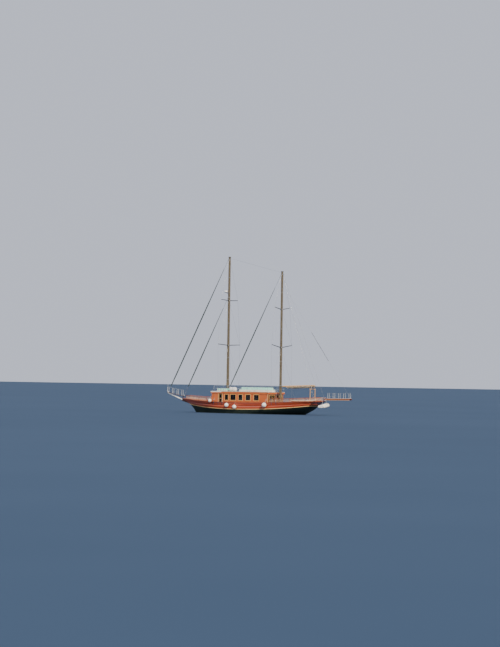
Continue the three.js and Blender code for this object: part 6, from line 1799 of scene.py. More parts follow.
# Boom gallows: varnished posts on bolted feet, and a bar with a rubber saddle under the boom
GALLOWS_X, GALLOWS_FOOT, GALLOWS_LOW, GALLOWS_TOP = -11.3, 1.6986, 3.86, 3.95
gallows = Form()
for side in (-1, 1):
    foot, head = (GALLOWS_X, side * 0.75, GALLOWS_FOOT), (GALLOWS_X, side * 0.75, GALLOWS_TOP)
    lathe(gallows, foot, head, [(0, 0.08), (0.014, 0.08), (0.022, 0.074), (0.03, 0.052), (0.07, 0.047),
                                (0.078, 0.039)], 24, 1)
    lathe(gallows, foot, head, [(0.07, 0.036), (0.5, 0.04), (1.2, 0.041), (2.0, 0.038), (2.17, 0.036)], 24)
    for n in range(4):
        angle = n * 1.5708 + 0.8
        x, y = GALLOWS_X + 0.062 * math.cos(angle), side * 0.75 + 0.062 * math.sin(angle)
        lathe(gallows, (x, y, GALLOWS_FOOT + 0.012), (x, y, 3.0),
              [(0, 0.009), (0.008, 0.009), (0.012, 0.005)], 6, 1)
    box(gallows, GALLOWS_X - 0.046, GALLOWS_X + 0.046, side * 0.75 - 0.05, side * 0.75 + 0.05,
        GALLOWS_LOW - 0.05, GALLOWS_LOW, 1)
bar_path = [(GALLOWS_X, y, GALLOWS_LOW) for y in (-0.9, -0.896, -0.3, 0.3, 0.896, 0.9)]
sweep(gallows, bar_path, rounded(0.09, 0.09, 0.02))
sweep(gallows, [(GALLOWS_X, y, GALLOWS_LOW - 0.002) for y in (-0.17, 0.17)], rounded(0.096, 0.094, 0.022),
      mark=2)
outward(piece(gallows, "gallows_frame", [frame_wood, stainless, black_rubber], replaces=["boom_gallows"],
              bevel=0.002))

# Radar: a clamped tray with struts before the main mast, and the scanner's cover with its joint line
RADAR_X, RADAR_Z = MAIN_X + 0.56, 18.7
radar = Form()
mast_face = MAIN_X + mast_radius("main", RADAR_Z)
box(radar, mast_face + 0.02, RADAR_X + 0.2, -0.13, 0.13, RADAR_Z - 0.034, RADAR_Z - 0.026, 1)
for side in (-1, 1):
    beam(radar, (mast_face + 0.012, side * 0.12, RADAR_Z - 0.02),
         (RADAR_X + 0.2, side * 0.12, RADAR_Z - 0.02), 0.02, 0.04, 1)
    tube(radar, [(mast_face + 0.03, side * 0.07, RADAR_Z - 0.24), (RADAR_X, side * 0.11, RADAR_Z - 0.045)],
         0.014, 12, 1)
box(radar, mast_face + 0.004, mast_face + 0.05, -0.08, 0.08, RADAR_Z - 0.26, RADAR_Z, 1)
for z in (RADAR_Z - 0.23, RADAR_Z - 0.04):
    band(radar, "main", z, 0.03, 0.008, 1)
dome_foot = RADAR_Z - 0.02
lathe(radar, (RADAR_X, 0, dome_foot), (RADAR_X, 0, RADAR_Z + 1),
      [(0, 0.2), (0.004, 0.24), (0.02, 0.262), (0.05, 0.296), (0.085, 0.308), (0.094, 0.309), (0.098, 0.303),
       (0.103, 0.303),
       (0.107, 0.309), (0.15, 0.309), (0.19, 0.3), (0.228, 0.28), (0.255, 0.24), (0.27, 0.19), (0.278, 0.11),
       (0.28, 0.0)], 40)
tube(radar, [(RADAR_X, 0, RADAR_Z - 0.03), (mast_face + 0.12, 0, RADAR_Z - 0.09),
             (mast_face + 0.02, 0.03, RADAR_Z - 0.3), (mast_face + 0.01, 0.05, RADAR_Z - 0.33)], 0.008, 8, 2)
outward(piece(radar, "radar_scanner", [gelcoat, stainless, black_rubber], replaces=["radar"], smooth=30))

# Helm pedestal: panelled column on a plinth, three instruments in bronze rims, and the wheel's bearing
HELM_X, HELM_Y, HELM_FOOT, HELM_AXIS, WHEEL_X = -5.48, 1.2, 1.371, 2.221, -5.6548
helm = Form()
box(helm, HELM_X - 0.13, HELM_X + 0.13, HELM_Y - 0.17, HELM_Y + 0.17, HELM_FOOT, HELM_FOOT + 0.05)
box(helm, HELM_X - 0.105, HELM_X + 0.105, HELM_Y - 0.14, HELM_Y + 0.14, HELM_FOOT + 0.05, HELM_FOOT + 0.09)
box(helm, HELM_X - 0.08, HELM_X + 0.08, HELM_Y - 0.11, HELM_Y + 0.11, HELM_FOOT + 0.09, HELM_FOOT + 0.95)
for x in (-1, 1):
    for y in (-1, 1):
        box(helm, HELM_X + x * 0.065, HELM_X + x * 0.09, HELM_Y + y * 0.095, HELM_Y + y * 0.12,
            HELM_FOOT + 0.09, HELM_FOOT + 0.95, 1)
for z in (0.09, 0.5, 0.91):
    for side in (-1, 1):
        box(helm, HELM_X + side * 0.078, HELM_X + side * 0.086, HELM_Y - 0.096, HELM_Y + 0.096, HELM_FOOT + z,
            HELM_FOOT + z + 0.04, 1)
        box(helm, HELM_X - 0.066, HELM_X + 0.066, HELM_Y + side * 0.108, HELM_Y + side * 0.116, HELM_FOOT + z,
            HELM_FOOT + z + 0.04, 1)
box(helm, HELM_X - 0.115, HELM_X + 0.115, HELM_Y - 0.145, HELM_Y + 0.145, HELM_FOOT + 0.95, HELM_FOOT + 0.985,
    1)
for dy, radius in ((-0.085, 0.036), (0.0, 0.048), (0.085, 0.036)):
    top = (HELM_X, HELM_Y + dy, HELM_FOOT + 0.984)
    lathe(helm, top, (top[0], top[1], 3), [(0, radius), (0.012, radius), (0.016, radius - 0.006),
                                           (0.012, radius - 0.008)], 24, 2)
    lathe(helm, (top[0], top[1], top[2] + 0.001), (top[0], top[1], 3),
          [(0, radius - 0.009), (0.009, radius - 0.009), (0.012, radius * 0.4)], 24, 3)
lathe(helm, (HELM_X - 0.09, HELM_Y, HELM_AXIS), (-9, HELM_Y, HELM_AXIS),
      [(0, 0.062), (0.008, 0.062), (0.014, 0.045), (0.026, 0.04), (0.028, 0.03), (0.05, 0.03)], 24, 2)
outward(piece(helm, "helm_column", [red_wood, cap_wood, bronze, cabin_glass], replaces=["helm_pedestal"],
              smooth=30, bevel=0.004))

# Wheel: six turned spokes with handles, a rim with a bronze ring let into each face, and a capped hub
wheel = Form()
hub = Vector((WHEEL_X, HELM_Y, HELM_AXIS))
rim_section = [(0.024, -0.014), (0.024, 0.014), (0.016, 0.022), (-0.016, 0.022), (-0.024, 0.014),
               (-0.024, -0.014), (-0.016, -0.022), (0.016, -0.022)]
hoop(wheel, hub, (1, 0, 0), 0.44, rim_section, 60)
for face in (-0.0235, 0.0235):
    hoop(wheel, hub, (1, 0, 0), 0.44, [(-0.006, face - 0.001), (-0.006, face + 0.001), (0.006, face + 0.001),
                                       (0.006, face - 0.001)], 60, 1)
lathe(wheel, hub - Vector((0.034, 0, 0)), hub + Vector((1, 0, 0)),
      [(0, 0.05), (0.004, 0.062), (0.012, 0.07), (0.056, 0.07), (0.064, 0.062), (0.068, 0.05)], 30)
lathe(wheel, hub - Vector((0.0345, 0, 0)), hub - Vector((1, 0, 0)),
      [(0, 0.034), (0.003, 0.034), (0.008, 0.02), (0.009, 0.0)], 24, 1)
for n in range(6):
    angle = math.radians(90 + 60 * n)
    tip = hub + Vector((0, math.cos(angle), math.sin(angle)))
    lathe(wheel, hub, tip, [(0.06, 0.018), (0.09, 0.018), (0.1, 0.013), (0.11, 0.017), (0.2, 0.021),
                            (0.3, 0.015), (0.38, 0.012), (0.395, 0.017),
                            (0.42, 0.017), (0.465, 0.012), (0.475, 0.015), (0.5, 0.019), (0.525, 0.017),
                            (0.537, 0.01), (0.54, 0.0)], 14)
outward(piece(wheel, "steering_wheel", [cap_wood, bronze], body="wheel", replaces=["helm_wheel"], smooth=40))


def fillet(points, radius, steps=6):
    """The same path with its inner corners rounded."""
    points = [Vector(p) for p in points]
    path = [points[0]]
    for before, here, after in zip(points, points[1:], points[2:]):
        back, on = (before - here).normalized(), (after - here).normalized()
        reach = min(radius, (before - here).length * 0.49, (after - here).length * 0.49)
        for n in range(steps + 1):
            t = n / steps
            path.append((here + back * reach) * (1 - t) ** 2 + here * 2 * t * (1 - t) + (here + on * reach)
                        * t ** 2)
    return path + [points[-1]]


# Gangway: two deep stringers with a pale rubbing strip, slats on bearers, and a steel hinge at its root
GANG_Y, GANG_HALF, GANG_ROOT, GANG_TIP, GANG_DEEP, GANG_DEEP_FROM = -1.05, 0.3, -12.73723, -17.3, 0.25, -13.1
HINGE_X, HINGE_Z = -12.71123, 2.5
STRINGER = 0.045


def gang_top(x):
    return 2.53 + 0.05 * (GANG_ROOT - x) / (GANG_ROOT - GANG_TIP)


gangway = Form()
tip_z, deep_z = gang_top(GANG_TIP), gang_top(GANG_DEEP_FROM) - GANG_DEEP
stringer = [(GANG_ROOT, 2.47), (GANG_DEEP_FROM, deep_z), (GANG_TIP + 0.12, tip_z - GANG_DEEP),
            (GANG_TIP + 0.03, tip_z - 0.2),
            (GANG_TIP, tip_z - 0.13), (GANG_TIP, tip_z), (GANG_ROOT, gang_top(GANG_ROOT))]
strip_of_stringer = [(GANG_DEEP_FROM, deep_z + 0.004), (GANG_TIP + 0.13, tip_z - GANG_DEEP + 0.004),
                     (GANG_TIP + 0.13, tip_z - GANG_DEEP + 0.05), (GANG_DEEP_FROM, deep_z + 0.05)]
for side in (-1, 1):
    edge = GANG_Y + side * GANG_HALF
    slab(gangway, stringer, edge - side * STRINGER, edge)
    slab(gangway, strip_of_stringer, edge, edge + side * 0.006, 1)
    slab(gangway, [(HINGE_X, HINGE_Z - 0.022), (HINGE_X - 0.3, HINGE_Z - 0.016),
                   (HINGE_X - 0.3, HINGE_Z + 0.016), (HINGE_X, HINGE_Z + 0.022)],
         edge, edge + side * 0.005, 2)
for n in range(5):
    x = -13.3 - n * 0.97
    box(gangway, x - 0.03, x + 0.03, GANG_Y - 0.255, GANG_Y + 0.255, gang_top(x) - 0.11, gang_top(x) - 0.024)
box(gangway, GANG_ROOT - 0.03, GANG_ROOT, GANG_Y - 0.255, GANG_Y + 0.255, 2.472, gang_top(GANG_ROOT) - 0.024)
outward(piece(gangway, "gangway_stringers", [red_wood, frame_wood, stainless], body="gangway",
              replaces=["passerelle"], smooth=30, bevel=0.003))
slat_rows = Form()
SLAT_PITCH = 0.101
for n in range(45):
    x = GANG_ROOT - 0.005 - n * SLAT_PITCH
    box(slat_rows, x - 0.092, x, GANG_Y - 0.256, GANG_Y + 0.256, gang_top(x - 0.05) - 0.024,
        gang_top(x - 0.05) + 0.0005)
outward(piece(slat_rows, "gangway_slats", [dark_wood], body="gangway", smooth=30, bevel=0.003))
hinge = Form()
for y0, y1 in ((-0.3, -0.18), (-0.06, 0.06), (0.18, 0.3)):
    start = (HINGE_X, GANG_Y + y0, HINGE_Z)
    lathe(hinge, start, (HINGE_X, GANG_Y + 2, HINGE_Z),
          [(0, 0.034), (0.004, 0.038), (y1 - y0 - 0.004, 0.038), (y1 - y0, 0.034)], 24)
    box(hinge, GANG_ROOT - 0.09, HINGE_X - 0.03, GANG_Y + y0, GANG_Y + y1, HINGE_Z + 0.022, HINGE_Z + 0.031)
outward(piece(hinge, "gangway_hinge", [stainless], body="gangway", smooth=30))

# Gangway rails: toe timbers, stanchions, a round top rail with ball ends, and two wires through eyes
GANG_POSTS = [-13.5 - 0.9 * n for n in range(5)]
RAIL_IN = 0.276
gang_rail = Form()
for side in (-1, 1):
    y = GANG_Y + side * RAIL_IN
    beam(gang_rail, (-13.4, y, gang_top(-13.4) + 0.0146), (-17.2, y, gang_top(-17.2) + 0.0146), 0.034, 0.028,
         2)
    for x in GANG_POSTS:
        foot = (x, y, gang_top(x) + 0.0286)
        lathe(gang_rail, foot, (x, y, 9), [(0, 0.017), (0.06, 0.0165), (0.066, 0.0135), (0.77, 0.0125)], 14)
        for z in (0.3, 0.55):
            hoop(gang_rail, (x, y - side * 0.018, gang_top(x) + z), (0, 1, 0), 0.008,
                 [(0.003, 0), (0, 0.003), (-0.003, 0), (0, -0.003)], 12)
    ends = [(x, y, gang_top(x) + 0.8) for x in (GANG_POSTS[0] + 0.03, GANG_POSTS[-1] - 0.03)]
    tube(gang_rail, ends, 0.0125, 16, 1)
    for end in ends:
        ball(gang_rail, end, 0.0165, 8, 14, 1)
    for z in (0.3, 0.55):
        tube(gang_rail, [(x, y - side * 0.018, gang_top(x) + z) for x in (GANG_POSTS[0], GANG_POSTS[-1])],
             0.004, 8, 1)
beam(gang_rail, (-17.18, GANG_Y - 0.26, gang_top(-17.18) + 0.0146),
     (-17.18, GANG_Y + 0.26, gang_top(-17.18) + 0.0146), 0.034, 0.027, 2)
piece(gang_rail, "gangway_rails", [white_tube, wire_steel, white_paint], body="gangway",
      replaces=["passerelle_rail"], smooth=40)

# Gangway lift: wire from the mizzen mast, a three-part tackle, and wire on to the gangway's tip
dark_rope = rope_material("dark_polyester_rope", "34333A", "141417")
LIFT_FOOT, LIFT_HEAD = Vector((-17.25, -1.05, 2.5798)), Vector((-6.0248, 0, 19.594))
lift_way = (LIFT_HEAD - LIFT_FOOT).normalized()


def on_lift(z):
    return LIFT_FOOT + lift_way * ((z - LIFT_FOOT.z) / lift_way.z)


lift = Form()
tube(lift, [LIFT_FOOT, on_lift(8.06)], 0.006, 8, 1)
tube(lift, [on_lift(12.59), LIFT_HEAD], 0.006, 8, 1)
lathe(lift, LIFT_FOOT, LIFT_HEAD, [(0, 0.004), (0.01, 0.02), (0.06, 0.02), (0.07, 0.01), (0.24, 0.01),
                                   (0.25, 0.006)], 12, 1)
block_and_strop(lift, on_lift(8.2), lift_way, 0.09, 2, 1)
block_and_strop(lift, on_lift(12.5), lift_way, 0.075, 2, 1)
lift_across = lift_way.orthogonal().normalized()
for shift in (-0.028, 0.0, 0.028):
    tube(lift, [on_lift(8.24) + lift_across * shift, on_lift(12.46) + lift_across * shift * 0.7], 0.0085, 8,
         0)
piece(lift, "gangway_lift_tackle", [dark_rope, wire_steel, dark_wood], replaces=["passerelle_lift"],
      smooth=40)

# Davits: sockets on the cap rail, box arms with a sheave, two-part falls and a crossbar
TENDER_X, TENDER_Z, DAVIT_X, DAVIT_FOOT, ARM_Z = -13.6, 1.45, -12.6212, 2.1603, 2.62
DAVIT_YS = (-0.06, 1.06)


def tender_at(x, y, rise=0.0):
    return Vector((TENDER_X + x, y, TENDER_Z + 0.13 * (0.06 - y) + rise))


def thwart_top(y):
    return tender_at(0, y).z + 0.13


davits = Form()
for y in DAVIT_YS:
    foot = Vector((DAVIT_X, y, DAVIT_FOOT))
    lathe(davits, foot, foot + Vector((0, 0, 1)),
          [(0, 0.029), (0.006, 0.03), (0.06, 0.03), (0.09, 0.03)], 20)
    beam(davits, foot + Vector((0.02, 0, 0.05)), (TENDER_X, y, ARM_Z), 0.056, 0.056)
    beam(davits, foot + Vector((0.0, 0, 0.06)), foot + Vector((-0.3, 0, 0.2)), 0.062, 0.064, 0)
    head = Vector((TENDER_X, y, ARM_Z))
    lathe(davits, head + Vector((0, -0.04, 0.0)), head + Vector((0, 1, 0)),
          [(0, 0.03), (0.004, 0.034), (0.076, 0.034), (0.08, 0.03)], 20)
    low = Vector((TENDER_X, y, thwart_top(y) + 0.0006))
    lathe(davits, low, head, [(0, 0.003), (0.004, 0.014), (0.02, 0.014), (0.024, 0.006), (0.06, 0.006)], 12)
    block_and_strop(davits, low + Vector((0, 0, 0.12)), (0, 0, 1), 0.06, 2, 0)
    for shift in (-0.012, 0.012):
        tube(davits, [low + Vector((shift, 0, 0.13)), head + Vector((shift * 1.6, 0, 0))], 0.006, 8, 1)
    tube(davits, [head + Vector((0.03, 0, 0.034)), foot + Vector((-0.32, 0, 0.24))], 0.006, 8, 1)
tube(davits, [(TENDER_X + 0.06, y, ARM_Z) for y in DAVIT_YS], 0.021, 16)
piece(davits, "davit_arms", [stainless, white_rope, dark_wood], replaces=["davits"], smooth=40)

# Tender: one inflated tube round the bow with coned ends, rubbing band, lifeline, floor and thwarts
TUBE_R, TENDER_HALF, TENDER_BOW = 0.188, 0.43, 0.19
tube_line = fillet([tender_at(TENDER_HALF, 1.26), tender_at(TENDER_HALF, 0.06),
                    tender_at(TENDER_BOW, -0.38, 0.09),
                    tender_at(-TENDER_BOW, -0.38, 0.09), tender_at(-TENDER_HALF, 0.06),
                    tender_at(-TENDER_HALF, 1.26)], 0.22, 8)
cone = [(1.5, 0.04), (1.495, 0.075), (1.47, 0.115), (1.42, 0.152), (1.36, 0.175), (1.3, 0.186)]
starboard_cone = [tender_at(-TENDER_HALF, y) for y, _ in reversed(cone)]
path = [tender_at(TENDER_HALF, y) for y, _ in cone] + tube_line + starboard_cone
radii = [r for _, r in cone] + [TUBE_R] * len(tube_line) + [r for _, r in reversed(cone)]
tender = Form()
tube(tender, path, radii, 28)
middle = tender_at(0, 0.6)
outer_line = []
for here in tube_line:
    out = Vector((here.x - middle.x, min(here.y - middle.y, 0.0) if here.y < 0.06 else 0.0, 0)).normalized()
    outer_line.append((here, out))
tube(tender, [here + out * (TUBE_R + 0.002) for here, out in outer_line], 0.018, 10, 1)
tube(tender, [here + out * TUBE_R * 0.78 + Vector((0, 0, TUBE_R * 0.66)) for here, out in outer_line], 0.0055,
     8, 2)
for here, out in outer_line[1::4]:
    place = here + out * TUBE_R * 0.75 + Vector((0, 0, TUBE_R * 0.64))
    ball(tender, place, 0.026, 6, 12, 1, 0.45)
beam(tender, tender_at(0, 1.44, -0.1), tender_at(0, -0.36, -0.1), 2 * TENDER_HALF - 0.02, 0.028, 3)
for y in (1.3, 0.95, 0.6, 0.25, -0.1):
    box(tender, TENDER_X - 0.36, TENDER_X + 0.36, y - 0.012, y + 0.012, tender_at(0, y).z - 0.09,
        tender_at(0, y).z - 0.078, 4)
beam(tender, tender_at(0, 1.42, -0.13), tender_at(0, -0.3, -0.13), 0.09, 0.04, 1)
transom_z = tender_at(0, 1.5).z
box(tender, TENDER_X - TENDER_HALF + 0.06, TENDER_X + TENDER_HALF - 0.06, 1.4, 1.44, transom_z - 0.11,
    transom_z + 0.17, 3)
box(tender, TENDER_X - 0.14, TENDER_X + 0.14, 1.392, 1.4, transom_z - 0.02, transom_z + 0.165, 4)
for y in DAVIT_YS:
    box(tender, TENDER_X - TENDER_HALF + 0.03, TENDER_X + TENDER_HALF - 0.03, y - 0.09, y + 0.09,
        thwart_top(y) - 0.028, thwart_top(y), 3)
outward(piece(tender, "tender_boat", [inflated_vinyl, coated_fabric, white_rope, white_paint, galvanised],
              replaces=["tender"], smooth=40))

# Rudder: planked blade between a stock and a shaped after edge, iron straps, and the pintle at its foot
rudder = Form()
RUDDER_X = -8.48
blade = [(-8.285, -0.83), (-8.32, -2.19), (-8.36, -2.225), (-9.2, -2.225), (-9.27, -2.16), (-9.325, -1.9),
         (-9.3, -1.5), (-9.215, -0.86), (-9.17, -0.825)]
count = len(blade)
for side in (-1, 1):
    corners = [(x, side * (0.053 if x > -9.0 else 0.026), z) for x, z in blade]
    rudder.add(corners, [tuple(range(count)) if side < 0 else tuple(reversed(range(count)))])
half_of = [0.053 if x > -9.0 else 0.026 for x, _ in blade]
edges = [(x, y, z) for (x, z), half in zip(blade, half_of) for y in (-half, half)]
rudder.add(edges, [(2 * n, 2 * n + 1, (2 * n + 3) % (2 * count), (2 * n + 2) % (2 * count))
                   for n in range(count)])
lathe(rudder, (RUDDER_X, 0, -2.279), (RUDDER_X, 0, 0),
      [(0, 0.06), (0.01, 0.069), (0.05, 0.069), (1.5, 0.069), (1.557, 0.069)], 28, 0)
for z in (-1.0, -1.55, -2.08):
    for side in (-1, 1):
        slab(rudder, [(-8.3, z - 0.035), (-9.02, z - 0.026), (-9.02, z + 0.026), (-8.3, z + 0.035)],
             side * 0.0535, side * 0.059, 1)
        for n in range(5):
            x = -8.58 - n * 0.1
            lathe(rudder, (x, side * 0.058, z), (x, side, z), [(0, 0.012), (0.004, 0.009), (0.005, 0.0)], 8,
                  1)
outward(piece(rudder, "rudder_blade", [green_bottom, bronze], body="rudder_body", replaces=["rudder"],
              smooth=30, bevel=0.006))

# Propeller: boss with a cone and four blades, each a twisted and skewed surface with an aerofoil's thickness
PROP_X, PROP_Z, BLADE_X = -7.4808, -1.45, -7.631
prop = Form()
lathe(prop, (PROP_X, 0, PROP_Z), (-9, 0, PROP_Z),
      [(0, 0.1), (0.01, 0.118), (0.12, 0.118), (0.24, 0.105), (0.3, 0.085), (0.38, 0.058), (0.41, 0.03),
       (0.42, 0.0)], 32)
BLADE_ROWS = [(0.1, 0.13, 0.026, 0.95), (0.18, 0.2, 0.022, 0.8), (0.27, 0.25, 0.018, 0.66),
              (0.36, 0.25, 0.013, 0.56), (0.43, 0.19, 0.009, 0.5),
              (0.47, 0.1, 0.006, 0.46), (0.479, 0.03, 0.004, 0.45)]
for n in range(4):
    turn = Matrix.Rotation(math.pi / 2 * n, 3, "X")
    corners = []
    for reach, chord, thick, pitch in BLADE_ROWS:
        for c, s in circle(16):
            along, across = chord / 2 * c, thick / 2 * s
            x = BLADE_X + along * math.cos(pitch) * 0.6 + across * math.sin(pitch) - (reach - 0.1) * 0.06
            swing = (along * math.sin(pitch) * 1.15 - across * math.cos(pitch)) / max(reach, 0.12)
            place = turn @ Vector((0, reach * math.sin(swing), reach * math.cos(swing)))
            corners.append((x, place.y, PROP_Z + place.z))
    faces = grid_faces(len(BLADE_ROWS), 16, wrap=True) + [tuple(range(len(corners) - 16, len(corners)))]
    prop.add(corners, faces)
outward(piece(prop, "propeller_blades", [bronze], body="propeller_body", replaces=["propeller"], smooth=50))

# Ball fenders: inflated balls with a moulded neck and eye, a seam round each, and a lanyard made fast above
FENDERS = {"fender_1": (5.1, 1.90, 0.275), "fender_2": (1.8, 1.27, 0.32), "fender_3": (0.35, 1.03, 0.32),
           "fender_4": (-4.84, 1.4, 0.36)}
for name, (x, z, radius) in FENDERS.items():
    low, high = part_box(name)
    y = (low[1] + high[1]) / 2
    form = Form()
    ball(form, (x, y, z), radius * 0.975, 18, 32)
    lathe(form, (x, y, z + radius * 0.9), (x, y, z + 3),
          [(0, radius * 0.5), (radius * 0.02, radius * 0.34), (radius * 0.06, 0.05), (radius * 0.1, 0.042)],
          20, 1)
    hoop(form, (x, y, z + radius * 0.985), (1, 0, 0), 0.02,
         [(0.008, 0), (0, 0.008), (-0.008, 0), (0, -0.008)], 16, 1)
    for squash in (0.0, 0.18, -0.18):
        reach = radius * 0.976 * math.cos(squash)
        hoop(form, (x, y, z + radius * math.sin(squash)), (0, 0, 1), reach,
             [(0.002, 0), (0, 0.003), (-0.003, 0), (0, -0.003)], 40, 0)
    eye = Vector((x, y, z + radius * 0.985 + 0.014))
    edge = min(cap_half(x) + 0.012, y)
    fast = Vector((x, edge, cap_top(x) + 0.02)) if z + radius < cap_top(x) else Vector((4.66, 2.43, 4.12))
    tube(form, [eye, fast], 0.007, 10, 2)
    ball(form, eye, 0.016, 6, 10, 2)
    if z + radius < cap_top(x):
        inner = Vector((x, cap_half(x) - 0.12, cap_top(x) + 0.012))
        tube(form, [fast, inner], 0.007, 10, 2)
        ball(form, inner, 0.018, 6, 10, 2)
    outward(piece(form, "ball_" + name, [inflated_vinyl, coated_fabric, white_rope], replaces=[name],
                  smooth=60))

# Topping lift: its head stands on the gooseneck's axis under a short crane, so it swings with the boom
TOPPING_Z = 19.2
topping = Form()
topping_head = Vector((GOOSE_X, 0, TOPPING_Z))
boom_end_eye = Vector((-11.78, 0, 4.556))
tube(topping, [boom_end_eye, topping_head], 0.0055, 8)
lathe(topping, boom_end_eye, topping_head, [(0, 0.005), (0.01, 0.014), (0.05, 0.014), (0.06, 0.008),
                                            (0.26, 0.008), (0.27, 0.014), (0.3, 0.014), (0.31, 0.006)], 12)
piece(topping, "boom_topping_lift", [wire_steel], body="boom", smooth=40)
crane = Form()
crane_face = MIZZEN_X - mast_radius("mizzen", TOPPING_Z)
box(crane, GOOSE_X - 0.02, crane_face + 0.01, -0.02, 0.02, TOPPING_Z + 0.016, TOPPING_Z + 0.026)
tube(crane, [(GOOSE_X + 0.005, 0, TOPPING_Z + 0.02), (crane_face + 0.005, 0, TOPPING_Z - 0.12)], 0.008, 10)
for z in (TOPPING_Z - 0.11, TOPPING_Z + 0.02):
    band(crane, "mizzen", z, 0.03, 0.006, 0)
outward(piece(crane, "topping_lift_crane", [galvanised], smooth=30))

# Roof rails: flanged posts, a top and a middle bar with ball ends, and three wires
ROOF_RAIL_Y, ROOF_RAIL_TOP, ROOF_RAIL_MID = 2.43, 4.2, 3.8
ROOF_POSTS = [-4.9 + 1.2 * n for n in range(9)]
for side, name in ((1, "roof_rail_port"), (-1, "roof_rail_starboard")):
    y = side * ROOF_RAIL_Y
    form = Form()
    for x in ROOF_POSTS:
        lathe(form, (x, y, ROOF_Z + 0.0004), (x, y, 9),
              [(0, 0.019), (0.004, 0.019), (0.01, 0.0165), (0.05, 0.015), (0.84, 0.014)], 16)
    for z, radius in ((ROOF_RAIL_TOP, 0.0185), (ROOF_RAIL_MID, 0.0155)):
        tube(form, [(ROOF_POSTS[0] - 0.02, y, z), (ROOF_POSTS[-1] + 0.02, y, z)], radius, 18)
        for x in (ROOF_POSTS[0], ROOF_POSTS[-1]):
            ball(form, (x, y, z), radius + 0.002, 8, 14)
    for z in (3.5, 3.65, 4.0):
        tube(form, [(ROOF_POSTS[0], y, z), (ROOF_POSTS[-1], y, z)], 0.003, 6, 1)
    piece(form, name + "_tubes", [stainless, wire_steel], replaces=[name], smooth=40)

# Roof settee: white boxes with framed locker fronts, kick spaces and a capping along the back board
SETTEE_X0, SETTEE_X1, SETTEE_HALF, SETTEE_SEAT, SETTEE_BACK = -4.4, 1.2, 0.8, 3.6, 4.0
settee = Form()
foot = ROOF_Z + 0.0004
box(settee, SETTEE_X0 + 0.03, SETTEE_X1 - 0.03, -SETTEE_HALF + 0.05, SETTEE_HALF - 0.05, foot, foot + 0.06)
box(settee, SETTEE_X0 + 0.012, SETTEE_X1 - 0.012, -SETTEE_HALF + 0.012, SETTEE_HALF - 0.012, foot + 0.06,
    SETTEE_SEAT - 0.025)
box(settee, SETTEE_X0, SETTEE_X1, -SETTEE_HALF, SETTEE_HALF, SETTEE_SEAT - 0.025, SETTEE_SEAT)
box(settee, SETTEE_X0 + 0.01, SETTEE_X1 - 0.01, -0.022, 0.022, SETTEE_SEAT, SETTEE_BACK - 0.03)
box(settee, SETTEE_X0, SETTEE_X1, -0.03, 0.03, SETTEE_BACK - 0.03, SETTEE_BACK, 1)
for side in (-1, 1):
    face0, face1 = side * (SETTEE_HALF - 0.012), side * (SETTEE_HALF - 0.004)
    for n in range(6):
        a = SETTEE_X0 + 0.05 + n * 0.92
        b = a + 0.86
        for x0, x1, z0, z1 in ((a, b, foot + 0.075, foot + 0.1),
                               (a, b, SETTEE_SEAT - 0.06, SETTEE_SEAT - 0.035),
                               (a, a + 0.03, foot + 0.1, SETTEE_SEAT - 0.06),
                               (b - 0.03, b, foot + 0.1, SETTEE_SEAT - 0.06)):
            box(settee, x0, x1, face0, face1, z0, z1)
        hoop(settee, ((a + b) / 2, side * (SETTEE_HALF - 0.008), foot + 0.15), (0, 1, 0), 0.02,
             [(0.004, 0), (0, 0.004), (-0.004, 0), (0, -0.004)], 16, 2)
outward(piece(settee, "settee_lockers", [white_paint, house_wood, stainless], replaces=["roof_settee"],
              smooth=30, bevel=0.004))


def puffed(corners, faces, cap, voxel, pressure=4.0):
    """Swells a closed pad as its filling would: cloth under pressure, no point moved more than cap metres."""
    pad = bare("pad", corners, [], faces)
    outward(pad)
    soft_edge = pad.modifiers.new("edges", "BEVEL")
    soft_edge.width = 0.022
    soft_edge.segments = 3
    even = pad.modifiers.new("even", "REMESH")
    even.mode = "VOXEL"
    even.voxel_size = voxel
    started = bpy.data.meshes.new_from_object(pad.evaluated_get(bpy.context.evaluated_depsgraph_get()))
    bpy.data.objects.remove(pad)
    soft = linked("soft", started)
    start = [v.co.copy() for v in started.vertices]
    end = start
    cloth = soft.modifiers.new("cloth", "CLOTH")
    cloth.settings.use_pressure = True
    cloth.settings.uniform_pressure_force = pressure
    cloth.settings.effector_weights.gravity = 0
    cloth.settings.quality = 5
    for frame_number in range(1, 21):
        bpy.context.scene.frame_set(frame_number)
    blown = soft.evaluated_get(bpy.context.evaluated_depsgraph_get()).to_mesh()
    end = [v.co.copy() for v in blown.vertices]
    bpy.context.scene.frame_set(1)
    polygons = [tuple(p.vertices) for p in started.polygons]
    bpy.data.objects.remove(soft)
    shifts = [b - a for a, b in zip(start, end)]
    shifts = [s if s.length < cap else s * (cap / s.length) for s in shifts]
    return start, shifts, polygons


def prism(plan, z0, z1):
    """Corners and faces of a pad that stands on a plan."""
    return [(x, y, z) for z in (z0, z1) for x, y in plan], prism_faces(len(plan))


def add_pad(form, pad, seams, place, mark, seam_mark=1, seam=0.006):
    """Puts one puffed pad into a form: place carries it there, and its piping follows the swollen edge."""
    start, shifts, faces = pad
    form.add([place(a + s) for a, s in zip(start, shifts)], faces, mark)
    tree = mathutils.kdtree.KDTree(len(start))
    for n, point in enumerate(start):
        tree.insert(point, n)
    tree.balance()
    for corners in seams:
        ring = []
        for a, b in zip(corners, corners[1:] + corners[:1]):
            a, b = Vector(a), Vector(b)
            steps = max(2, round((b - a).length / 0.05))
            ring += [a + (b - a) * (n / steps) for n in range(steps)]
        path = []
        for point in ring:
            near, index, _ = tree.find(point)
            path.append(place(near + shifts[index]))
        smooth_path = []
        for n in range(len(path)):
            smooth_path.append((path[n - 1] + path[n] * 2 + path[(n + 1) % len(path)]) / 4)
        tube(form, smooth_path + smooth_path[:1], seam, 8, seam_mark, ends=False)


